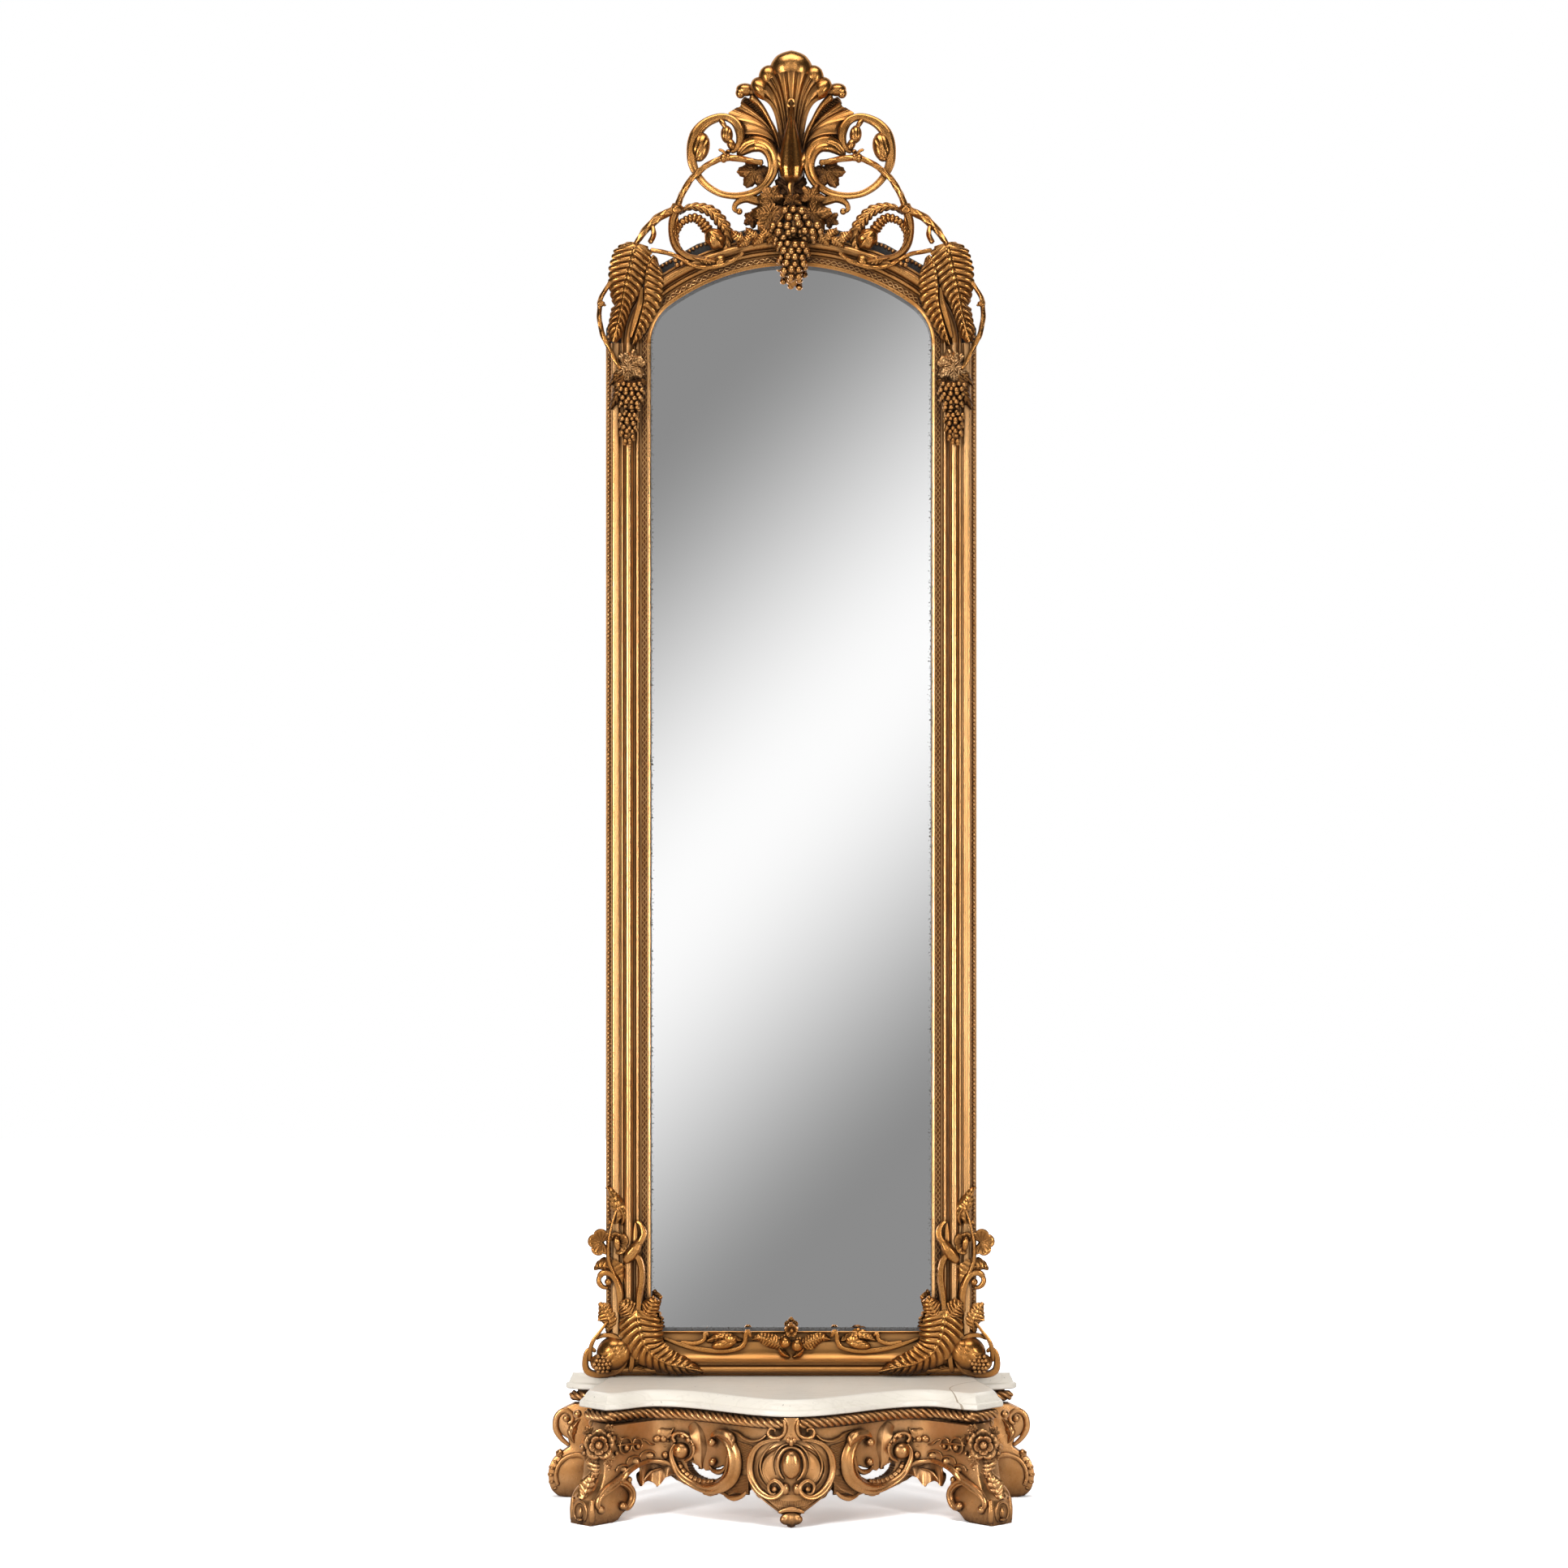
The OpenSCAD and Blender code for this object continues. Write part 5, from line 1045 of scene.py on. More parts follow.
bracket = []
for s in (-1, 1):
    bracket += [
        vine_leaf("leaf", crest(s * 42, 106, 76), 46, s * 148, tilt=(s * -0.15, -0.15), seed=s * 1.3,
            deep=2.8, finish=leaf_gilt),
        vine_leaf("leaf", crest(s * 42, 140, 70), 31, s * 30, tilt=(0, -0.2), thick=4, seed=s * 2.1,
            finish=leaf_gilt),
        vine_leaf("leaf", crest(s * 36, 116, 58), 34, s * 80, thick=4, seed=s * 1.7, finish=leaf_gilt),
        vine_leaf("leaf", crest(s * 80, 96, 62), 22, s * 120, tilt=(s * -0.1, 0.1), thick=4, seed=s * 0.6,
            finish=leaf_gilt),
        rod("hook", path(crest, (28, 144, 52), (62, 134, 54), (92, 139, 55), (113, 130, 55), (118, 117, 54),
            (108, 111, 54), side=s), [(0, 12, 8), (0.5, 10, 7), (0.8, 6, 5), (1, 4.5)], sides=20,
            section=grooved(6, 0.16)),
        rod("edge", path(crest, (4, 122, 84), (14, 104, 86), (26, 88, 84), (38, 74, 80), side=s), (2, 2.6, 2),
            sides=10, section=beading(11, 0.35)),
        knob("curl", crest(s * 108, 112, 55), (7, 7, 6)),
    ]
bracket += [
    vine_leaf("leaf", crest(0, 160, 47), 46, 178, seed=2.2, finish=leaf_gilt),
    vine_leaf("leaf", crest(2, 132, 80), 22, 176, tilt=(0, 0.1), ruffle=3, seed=0.4, finish=leaf_gilt),
    rod("stem", path(crest, (0, 178, 60), (-3, 156, 70), (0, 130, 76)), (5, 5), section=bark),
]
single("arch_vine_leaves", "vine_leaves", carving_gilt, bracket)

# ---- Grape cluster over the middle of the arch ----
# Grapes carved in one block in two tapering bunches, the lower one hanging over the head moulding.


def bunch(name, top, height, half_width, depth, grape, core=0.62, finish=None):
    """A tapering bunch of grapes round a core. Top is [x, z]; depth is how far the core stands from the wall."""
    models = []
    pitch = 1.62 * grape
    rows = int(height / pitch)
    places = [[], []]
    for i in range(rows):
        w = half_width * math.sqrt(max(0.02, 1 - ((i + 0.2) / rows) ** 2))
        count = max(1, int(round(2 * w / (2.05 * grape))))
        for k in range(count):
            x = (2 * (k + 0.5) / count - 1) * w + 0.9 * grape * (i % 2 - 0.5) * (count > 1)
            out = 0.8 * math.sqrt(max(0, w * w - 0.8 * x * x)) + 1.2 * math.sin(2.3 * i + 4.7 * k)
            z = top[1] - grape - i * pitch + 1.6 * math.sin(2.9 * i + 1.9 * k)
            places[(i + 2 * k) % 3 // 2].append((top[0] + x, wall_y - depth - out, z))
            if k in (0, count - 1):
                places[1].append((top[0] + x * 1.12, wall_y - depth - out * 0.3, z - 0.5 * pitch))
    for spots, size in zip(places, (1.02, 0.9)):
        models.append(copies("grapes", round_model(grape * size, 14, 9), spots))
    models.append(knob("core", (top[0], wall_y - depth, top[1] - height * 0.46),
        (half_width * core, height * 0.47, half_width * 0.55)))
    return joined(name, finish, models)


grape_gilt = gilt("grape_gilt", 0.0002, (0.66, 0.345, 0.125), 0.82, 0.55, 1.0)
single("grapes_over_arch", "grape_cluster", carving_gilt, [
    bunch("bunch", (8, arch_z + 118), 62, 26, 74, 8.6, core=0.75, finish=grape_gilt),
    bunch("bunch", (-20, arch_z + 86), 46, 22, 72, 8.2, core=0.75, finish=grape_gilt),
    bunch("bunch", (40, arch_z + 88), 46, 26, 72, 8.2, core=0.75, finish=grape_gilt),
    bunch("bunch", (4, arch_z + 46), 86, 31, 76, 8.0, core=0.75, finish=grape_gilt),
])

# ---- Arch garland ----
# Small ruffled leaves pinned along the head moulding, and under them a thin twig with berries.
garland = []
for s in (-1, 1):
    for k in range(6):
        lean = math.radians(90 - s * (3.6 + 1.75 * k))
        far = crown_r + 0.66 * frame_w
        x, z = (far * math.cos(lean), arch_z - crown_r + far * math.sin(lean))
        drop = 1 if k % 2 else -1
        garland.append(leaf("ruffle", [(x - s * 13, wall_y - 72, z + 3), (x, wall_y - 79, z + drop * 3),
            (x + s * 13, wall_y - 77, z + drop * 12), (x + s * 19, wall_y - 71, z + drop * 21)],
            [(0, 4), (0.4, 11), (0.8, 10), (1, 2)], 7, 2.4, 4, notch=0.28, across=16, per_rib=7, wave=3))
    garland.append(rod("twig", path(crest, (294, 30, 70), (251, 22, 71), (223, 8, 72), (202, -3, 73), (174, -7, 73),
        (145, -2, 73), (120, 8, 73), (98, 26, 74), side=s), (5, 4, 4), section=bark))
    for x, z in ((240, 8), (228, 2), (237, -1)):
        garland.append(knob("berry", crest(s * x, z, 71), 5, around=12, up=8, finish=grape_gilt))
single("arch_foliage", "arch_garland", carving_gilt, garland)

# ---- Shoulders: banana leaves, branch and twig ----
# From the knot a branch drops over each shoulder and carries one long ribbed leaf seen from its face and one seen
# folded, with a bare jointed twig outside them.


def shoulder(x, z, depth):
    """A point measured from the outer edge of the frame at the spring of the arch."""
    return (x - edge_x, wall_y - depth, spring_z + z)


pair("banana_leaves", "shoulder_leaf", carving_gilt, [
    rod("branch", [crest(-238, 117, 58), shoulder(122, 268, 60), shoulder(96, 248, 64), shoulder(74, 220, 72),
        shoulder(62, 200, 82)], [(0, 8), (0.4, 9), (0.6, 8), (1, 5)], sides=18, section=bark),
    rod("stub", path(shoulder, (96, 246, 64), (100, 226, 70), (92, 204, 74)), (5, 6), section=bark),
    leaf("broad_leaf", path(shoulder, (64, 206, 80), (52, 156, 84), (42, 110, 84), (34, 66, 85), (28, 40, 86),
        (17, 0, 86)), [(0, 20), (0.05, 34), (0.12, 43), (0.3, 44), (0.45, 38), (0.6, 25), (0.64, 18), (0.68, 23),
        (0.88, 20), (1, 8)], 16, 7.0, 9, right=[(0, 26), (0.06, 38), (0.2, 42), (0.34, 40), (0.46, 32), (0.6, 20),
        (0.8, 16), (0.93, 14), (1, 6)], cup=10, slant=1.3, cord=(3.4, 5), notch=0.13, across=44, per_rib=12, wave=3),
    leaf("folded_leaf", path(shoulder, (100, 182, 70), (88, 158, 76), (83, 117, 78), (82, 88, 78), (74, 51, 78),
        (57, -6, 76)), (3, 4, 2), 14, 6.5, 9, right=[(0, 12), (0.1, 30), (0.3, 39), (0.5, 36), (0.7, 25), (0.9, 13),
        (1, 3)], cup=9, slant=1.0, cord=(2.6, 4), notch=0.14, across=30, per_rib=12),
    rod("spathe", path(shoulder, (76, 116, 72), (73, 84, 74), (64, 50, 74), (52, 8, 72)),
        [(0, 3), (0.35, 8), (0.7, 7), (1, 3)], sides=20, section=grooved(4, 0.3)),
    rod("twig", path(shoulder, (14, 130, 74), (-4, 102, 73), (-11, 82, 73), (-12, 52, 73), (-7, 22, 74), (6, -8, 76),
        (26, -48, 78), (34, -58, 80)), [(0, 4.5), (0.24, 5), (0.27, 6.5), (0.3, 5), (0.6, 5.5), (1, 4)], sides=16,
        section=bark),
    knob("joint", shoulder(-8, 79, 74), (8, 6, 7), turn=20, carve=lumps),
    rod("spur", path(shoulder, (-10, 80, 74), (2, 76, 74)), (4, 2.5)),
])

# ---- Grape pendants ----
# Below each shoulder an open vine leaf, made pale with painted light, two drooping ones darkened with painted shade
# and a double bunch of small grapes hang down the stile.
# Painted light: the open leaves take a lighter copy of the gold
pale_gilt = gilt("pale_gilt", 0.0004, (0.66, 0.39, 0.18), 0.75, 0.35, 1.0)
pair("grapes_on_stile", "grape_pendant", carving_gilt, [
    vine_leaf("open_leaf", shoulder(48, -52, 80), 38, 118, tilt=(0.05, 0.05), seed=0.8, deep=4,
        finish=pale_gilt),
    vine_leaf("open_leaf", shoulder(52, -46, 77), 34, 20, tilt=(0, -0.1), seed=2.2, deep=4,
        finish=pale_gilt),
    leaf("dark_leaf", path(shoulder, (40, -62, 76), (33, -88, 82), (22, -116, 80), (10, -140, 72)),
        [(0, 6), (0.25, 16), (0.5, 15), (0.8, 8), (1, 2)], 7, 5, 5, right=[(0, 6), (0.3, 21), (0.6, 18), (0.85, 8),
        (1, 2)], cup=8, slant=1.1, notch=0.35, wave=4, finish=leaf_gilt),
    leaf("dark_leaf", path(shoulder, (36, -62, 74), (22, -74, 78), (8, -90, 74)), [(0, 4), (0.4, 12), (1, 2)], 5, 4,
        5, right=[(0, 4), (0.4, 13), (1, 2)], cup=6, slant=1.1, notch=0.3, wave=3, finish=leaf_gilt),
    vine_leaf("dark_leaf", shoulder(66, -84, 73), 22, 150, tilt=(-0.1, 0.1), thick=4, seed=3.6,
        finish=leaf_gilt),
    bunch("bunch", (52 - edge_x, spring_z - 84), 66, 27, 70, 5.6, finish=grape_gilt),
    bunch("bunch", (48 - edge_x, spring_z - 146), 68, 20, 70, 5.4, finish=grape_gilt),
])

# ---- Side sprays low on the stiles ----
# Leaves and open flowers climb the outer edge on thin stalks, and a curled arum lily stands beside the sight edge.


def foot(x, z, depth):
    """A point measured from the bottom outer corner of the frame."""
    return (x - edge_x, wall_y - depth, marble_z + z)


def flower_place(centre, radius, turn, petals, cup, spread=math.pi):
    """An open flower of round petals, ribbed from its eye, that faces the room."""
    def place(u, v):
        way = (2 * u - 1) * spread
        rim = radius * (0.80 + 0.20 * np.abs(np.cos(way * petals / 2)) ** 0.6)
        r = rim * v
        up = cup * v ** 1.5 + 1.3 * v * np.cos(way * petals * 3) * (1 - v ** 4)
        up += 2.5 * v * np.abs(np.cos(way * petals / 2)) - 5 * np.clip((v - 0.85) / 0.15, 0, 1) ** 2
        aim = way + math.radians(turn)
        return np.column_stack((centre[0] + r * np.sin(aim), centre[1] - up, centre[2] + r * np.cos(aim)))
    return place


pair("flower_spray", "side_spray", carving_gilt, [
    leaf("top_leaf", path(foot, (22, 318, 66), (24, 344, 70), (16, 372, 70), (2, 396, 66)),
        [(0, 8), (0.4, 20), (0.75, 13), (1, 3)], 7, 2.2, 7, right=[(0, 8), (0.4, 12), (0.75, 9), (1, 3)], cup=7,
        cord=(2, 2.5), notch=0.06, wave=3),
    leaf("side_leaf", path(foot, (20, 356, 66), (32, 348, 70), (38, 332, 68), (33, 314, 64)), (4, 10, 3), 6, 1.8, 6,
        notch=0.2),
    knob("berry", foot(9, 322, 72), 5, around=14, up=10),
    sheet("flower", 96, 14, flower_place(foot(-8, 280, 62), 29, -80, 5, 12, 2.5), 6),
    sheet("flower", 72, 14, flower_place(foot(25, 278, 64), 25, 60, 4, 9, 2.3), 6),
    knob("eye", foot(24, 278, 72), (7, 15, 6), turn=8, carve=bud_carve),
    rod("stalk", path(foot, (24, 350, 72), (16, 326, 75), (8, 290, 77), (6, 262, 76), (8, 240, 74), (18, 212, 70),
        (30, 184, 68), (32, 156, 66)), [(0, 2.5), (0.4, 3), (0.7, 5), (1, 7)], sides=16),
    leaf("cap_leaf", path(foot, (-24, 222, 62), (-8, 230, 68), (12, 226, 70), (28, 210, 68), (34, 196, 66)),
        [(0, 4), (0.3, 12), (0.8, 14), (1, 5)], 8, 2.6, 7, right=[(0, 4), (0.3, 20), (0.7, 22), (1, 6)], cup=6,
        cord=(1.8, 2), notch=0.16, wave=3),
    rod("crook", path(foot, (-14, 206, 66), (-6, 216, 70), (8, 216, 72), (20, 204, 72), (28, 180, 70), (31, 152, 67),
        (29, 132, 64)), [(0, 7, 6), (0.4, 6), (0.8, 7), (1, 6)], sides=18, section=grooved(4, 0.2)),
    knob("ball", foot(6, 198, 70), 8, around=18, up=12),
    rod("lip", path(foot, (-10, 214, 66), (-14, 200, 68), (-6, 188, 68), (8, 186, 68)), (5, 6, 4)),
    leaf("low_leaf", path(foot, (6, 92, 64), (8, 116, 68), (-2, 138, 68), (-14, 154, 64)),
        [(0, 6), (0.5, 21), (0.8, 16), (1, 4)], 8, 2.4, 6, right=[(0, 6), (0.5, 24), (0.8, 14), (1, 4)], cup=6,
        notch=0.2, wave=3),
    rod("stalk", path(foot, (6, 118, 70), (-10, 96, 70), (-26, 74, 68), (-32, 52, 64), (-32, 30, 60)),
        [(0, 2.5), (0.4, 4), (1, 6)], sides=16, section=grooved(4, 0.16)),
    leaf("hanging_leaf", path(foot, (38, 236, 62), (44, 218, 64), (42, 196, 62)), (3, 7, 2), 5, 1.5, 5,
        right=(3, 8, 2)),
    leaf("hanging_leaf", path(foot, (38, 208, 62), (41, 190, 63), (39, 172, 61)), (2, 5, 2), 4, 1.2, 5,
        right=(2, 6, 2)),
    rod("lily_lip", path(foot, (62, 325, 62), (74, 316, 66), (80, 298, 70), (72, 280, 72), (62, 272, 72)),
        [(0, 2.5), (0.4, 6, 5), (0.8, 6, 6), (1, 4)], sides=20, section=grooved(3, 0.3)),
    rod("lily_throat", path(foot, (63, 322, 58), (62, 300, 58), (62, 276, 60)), (3, 7, 9)),
    rod("lily", path(foot, (74, 286, 70), (64, 270, 71), (54, 256, 70), (44, 244, 66), (38, 238, 64)),
        [(0, 5), (0.35, 12), (0.65, 14), (0.9, 10), (1, 6)], sides=26, section=grooved(5, 0.15)),
    rod("lily_stalk", path(foot, (56, 256, 66), (68, 248, 68), (75, 226, 68), (75, 198, 68), (71, 170, 68),
        (68, 126, 70)), [(0, 8), (0.3, 8), (1, 7)], sides=20, section=grooved(5, 0.2)),
])

# ---- Corner leaves ----
# A broad leaf with two round lobes at its head turns each corner from stile to rail, ribbed all along and curled at
# its margin.
pair("corner_leaf_carved", "corner_leaf", carving_gilt, [
    leaf("corner", path(foot, (66, 140, 78), (70, 110, 82), (78, 80, 83), (96, 50, 82), (130, 30, 80), (164, 22, 76),
        (206, 11, 68)), [(0, 10), (0.02, 26), (0.07, 40), (0.2, 45), (0.34, 38), (0.5, 30), (0.7, 24), (0.85, 16),
        (1, 3)], 15, 6.4, 9, right=[(0, 10), (0.02, 26), (0.07, 42), (0.2, 48), (0.3, 46), (0.38, 38), (0.55, 34),
        (0.72, 26), (0.88, 15), (1, 3)], cup=11, slant=1.3, cord=(3, 5), notch=0.13, across=48, per_rib=12, wave=4),
    leaf("lobe", path(foot, (60, 126, 76), (48, 140, 80), (38, 150, 80), (28, 154, 76)),
        [(0, 10), (0.4, 21), (0.8, 17), (1, 4)], 6, 4.5, 8, cup=7, slant=0.9, notch=0.12),
    leaf("lobe", path(foot, (84, 126, 76), (92, 142, 80), (98, 156, 80), (100, 170, 75)),
        [(0, 10), (0.4, 20), (0.8, 17), (1, 4)], 6, 4.5, 8, cup=7, slant=0.9, notch=0.12),
])

# ---- Corner pomegranates ----
# A split fruit at each corner, its seeds showing, is held in a rolled scroll with a small leaf under it.


def fruit_split(corners):
    """The rind of a fruit, creased where it has split towards its lower left."""
    x, y, z = corners.T
    crease = 0.10 * np.exp(-((x - 0.18 - 0.5 * z) / 0.07) ** 2) + 0.07 * np.exp(-((x + 0.30 - 0.9 * z) / 0.06) ** 2)
    return 1 - crease * np.clip(-y * 3, 0, 1)


seeds = []
for row in range(5):
    for k in range(5 - abs(row - 2)):
        seeds.append(foot(-22 + 8.2 * k + 4.1 * abs(row - 2) + 1.2 * math.sin(3 * row + k),
            14 + 7.4 * row + math.sin(5 * k), 84 - 0.9 * (row - 2) ** 2 + 1.5 * math.sin(2 * k + row)))
pair("pomegranate", "corner_fruit", carving_gilt, [
    knob("fruit", foot(16, 48, 58), (35, 36, 31), turn=-20, around=44, up=30, carve=fruit_split),
    knob("cheek", foot(30, 52, 68), (24, 27, 19), turn=-12, around=36, up=24, carve=fruit_split),
    copies("seeds", round_model(5.0, 10, 8), seeds, finish=grape_gilt),
    knob("bed", foot(-8, 30, 66), (24, 20, 17)),
    rod("scroll", [foot(-20, 50, 62), foot(-28, 58, 64), (-edge_x - 38, wall_y - 64, marble_z + 52),
        foot(-42, 34, 62), foot(-39, 14, 60), foot(-22, 5, 60), foot(8, 5, 60), foot(30, 14, 62), foot(42, 38, 64),
        foot(36, 66, 64), foot(18, 84, 64), foot(-4, 86, 62), foot(-22, 78, 60)],
        [(0, 4), (0.12, 6), (0.25, 8), (0.5, 7), (0.8, 7), (1, 4)], sides=24, section=grooved(4, 0.24)),
    rod("stalk", path(foot, (26, 88, 62), (44, 72, 66), (55, 48, 66), (54, 22, 64), (48, 8, 60)), (5, 7, 7), sides=20,
        section=grooved(5, 0.2)),
    leaf("foot_leaf", path(foot, (50, 18, 62), (68, 18, 66), (88, 12, 64), (106, 4, 58)), [(0, 4), (0.4, 11), (1, 2)],
        7, 2.2, 6, right=[(0, 4), (0.4, 9), (1, 2)], notch=0.3),
])

# ---- Bottom rail ornament ----
# Composition fruit, leaves and a small flower in the middle of the rail, with hooked swags running out to both sides.


def on_rail(x, z, depth):
    return (x, wall_y - depth, marble_z + z)


def melon(corners):
    """A ribbed fruit."""
    return 1 + 0.06 * np.abs(np.sin(4 * np.arctan2(corners[:, 0], -corners[:, 1]))) - 0.06


rail_parts = [
    sheet("flower", 72, 10, flower_place(on_rail(0, 96, 60), 15, 0, 5, 4), 5),
    knob("eye", on_rail(1, 96, 66), (4.5, 4.5, 4), around=12, up=8),
    knob("tip", on_rail(0, 108, 60), (5, 6, 4), around=12, up=8),
    knob("apple", on_rail(-12, 71, 62), (11.5, 11.5, 11), around=28, up=20, carve=lambda c: 1 - 0.14 * np.exp(-((c[:,
        0] + 0.1) ** 2 + (c[:, 2] - 0.1) ** 2) / 0.02) * (c[:, 1] < 0)),
    knob("melon", on_rail(12, 65, 62), (12, 13, 11), around=40, up=20, carve=melon),
]
berry_spots = [on_rail(6 + 6 * k, 84 - 3.5 * k + 2 * math.sin(4 * k), 60) for k in range(5)]
berry_spots += [on_rail(-8 - 5.5 * k, 88 - 3 * k + 2 * math.sin(3 * k), 59) for k in range(4)]
rail_parts.append(copies("berries", round_model(3.4, 10, 6), berry_spots))
for s in (-1, 1):
    rail_parts += [
        leaf("wing", path(on_rail, (16, 62, 60), (40, 72, 60), (64, 80, 57), (82, 76, 54), side=s),
            [(0, 9), (0.35, 17), (0.7, 11), (1, 2)], 11, 2.6, 6, right=[(0, 9), (0.35, 15), (0.7, 12), (1, 2)],
            notch=0.15, wave=3),
        leaf("cup", path(on_rail, (2, 40, 60), (10, 44, 63), (20, 52, 62), (28, 62, 58), side=s), (3, 8, 2), 5, 1.6,
            5, notch=0.2),
        rod("swag", path(on_rail, (84, 80, 54), (87, 90, 57), (91, 94, 58), (95, 86, 57), (96, 74, 56), (103, 62, 55),
            (120, 55, 54), (146, 52, 54), (178, 54, 53), (211, 60, 52), (244, 70, 51), (268, 79, 50), side=s),
            [(0, 3), (0.06, 5), (0.2, 5), (0.6, 6), (0.85, 5), (1, 3)], sides=20, section=grooved(3, 0.2)),
        rod("swag", path(on_rail, (172, 82, 53), (176, 89, 55), (180, 88, 56), (181, 78, 55), (188, 72, 54),
            (206, 68, 53), (232, 72, 51), side=s), [(0, 3), (0.2, 4.5), (0.6, 5), (1, 3)], sides=20,
            section=grooved(3, 0.2)),
        knob("bud", on_rail(s * 142, 66, 55), (24, 10, 9), turn=-s * 8, around=28, up=16, carve=bud_carve),
        knob("flute", on_rail(s * 128, 76, 55), (15, 12, 7), turn=s * 12, around=40, up=20, carve=shell_ribs),
        leaf("web", path(on_rail, (98, 72, 51), (124, 78, 53), (150, 80, 53), (176, 74, 51), side=s), (3, 13, 4), 9,
            1.8, 6, right=(3, 20, 8), notch=0.12),
    ]
single("fruit_and_swags", "rail_ornament", carving_gilt, rail_parts)

# ---- Marble top ----
# A slab of cream marble, sawn to a bowed plan with an ear at each end, its edges worked to a soft ogee. It lies on
# the base by its own weight, and a hairline crack curves in from the right-hand corner.
marble_t = 32
overhang = 24
# The front swells over the middle, is hollow at valley_x and swells again to the corner; each side flares forwards
valley_x, valley_d = 275.2, 263
half_swell, half_horn, horn_run = 68.5, 27.5, 99.8
ear_x, ear_d = 398, 48
side_run, half_flare = 215, 16
ear = smooth([(471, 0, 0), (471, 8, 0), (464, 19, 0), (441, 31, 0), (416, 37, 0), (ear_x, ear_d, 0)], 4)[0][:, :2]


def front_d(x):
    """How far the front edge of the marble stands from the wall."""
    a = np.abs(x)
    return np.where(a < valley_x, valley_d + half_swell * (1 + np.cos(math.pi * a / valley_x)),
        valley_d + half_horn * (1 - np.cos(math.pi * (a - valley_x) / horn_run)))


def side_x(share):
    """How far the marble's side stands from the middle, at a share of the way from the ear to the front corner."""
    return ear_x + half_flare * (1 - np.cos(math.pi * share))


flare = np.linspace(0, 1, 16)[1:]
bow = np.append(375, np.linspace(348, 0, 46))
half_plan = np.vstack((ear, np.column_stack((side_x(flare), ear_d + side_run * flare)),
    np.column_stack((bow, front_d(bow)))))
plan = np.vstack((half_plan, half_plan[-2::-1] * (-1, 1)))


def drawn_in(g):
    """The plan drawn in by g everywhere but along the wall, as [x, distance from the wall]."""
    steps = np.diff(np.vstack((plan[-1:], plan, plan[:1])), axis=0)
    square = np.column_stack((-steps[:, 1], steps[:, 0])) / np.linalg.norm(steps, axis=1)[:, None]
    inward = square[:-1] + square[1:]
    inward /= np.linalg.norm(inward, axis=1)[:, None]
    narrow = np.where(plan[:, 1] < 47, min(g, 14), g)
    moved = plan + inward * (narrow / np.maximum(0.6, (inward * square[:-1]).sum(axis=1)))[:, None]
    moved[plan[:, 1] < 1, 1] = 0
    return moved


ogee = np.vstack(([[7, 0], [2, 0.02], [0, 0.08], [0, 0.30], [1.2, 0.37], [5.5, 0.41]],
    curve((6.5, 0.42), (9, 0.5), (10, 0.93), (24, 1), 12), [[25.5, 1]]))
slab_rings = np.array([np.column_stack((drawn_in(g)[:, 0], wall_y - drawn_in(g)[:, 1],
    np.full(len(plan), marble_z - marble_t * (1 - share)))) for g, share in ogee])


def slab_place(u, v):
    return slab_rings[np.rint(v * (len(ogee) - 1)).astype(int), np.rint(u * len(plan)).astype(int) % len(plan)]


marble, tree, out = new_material("cream_marble")
place = object_place(tree)
clouds = noise(tree, place, 5.0, 6.0)
drift = noise(tree, stretched(tree, place, (2.2, 9, 9)), 2.4, 7.0, distortion=1.4)
off_vein = maths(tree, "ABSOLUTE", maths(tree, "SUBTRACT", drift, 0.5))
vein = ranged(tree, off_vein, 0.0, 0.03, 0.16, 0.0)
speck = ranged(tree, noise(tree, place, 120.0, 3.0), 0.70, 0.76, 0.0, 0.6)
crack_centre = (0.44, -0.02, 0.26)
crack_reach = add_node(tree, "ShaderNodeVectorMath", {0: wandering(tree, place, 0.03, clouds), 1: crack_centre},
    operation="DISTANCE")
on_crack = maths(tree, "COMPARE", crack_reach.outputs["Value"], 0.115, 0.0011)
warm = mixed(tree, clouds, (0.86, 0.80, 0.70), (0.77, 0.71, 0.61))
specked = mixed(tree, speck, mixed(tree, vein, warm, (0.50, 0.43, 0.34)), (0.20, 0.17, 0.13))
surface(tree, out, mixed(tree, on_crack, specked, (0.42, 0.34, 0.25)), ranged(tree, clouds, 0.0, 1.0, 0.24, 0.46),
    (clouds, 0.0008, 0.3))
dress(shaped_grid("marble_slab", len(plan), len(ogee) - 1, slab_place, marble), "white_marble", "marble_top")

# ---- Rope mouldings under the marble ----
# Pine rods carved as four-strand rope and gilt, glued under the marble along each half of the front and each ear.
# The strands lie the same way on both sides, and each front length ends in a ball at the corner.
# Painted light: the base's gold is set lighter than the mirror's carving, for the brighter light low down
base_gilt = gilt("base_gilt", 0.0003, (0.72, 0.385, 0.165), 0.72, 0.3, 1.0)
rope_r = 11
rope_z = marble_z - marble_t - rope_r - 3


def strands(turn, run):
    return 0.54 + 0.50 * np.abs(np.sin(2 * turn - math.pi * run / 15)) ** 0.6


rope_line = drawn_in(12.7)
middle_k = len(half_plan) - 1
front_half = rope_line[len(ear) + 14:middle_k]
ear_half = rope_line[1:len(ear)]
for side, s in (("left", -1), ("right", 1)):
    lengths = []
    for half in (front_half, ear_half):
        points = [(s * x, wall_y - d, rope_z) for x, d in half]
        points.sort()
        lengths.append(rod("rope", points, [(0, 10), (0.03, rope_r), (0.97, rope_r), (1, 10)], sides=48, step=1.3,
            section=strands, across=(0, 0, 1)))
    lengths.append(knob("end", (s * 434, wall_y - 258, rope_z - 1), 9))
    single("rope_carved_" + side, "rope_" + side, base_gilt, lengths)

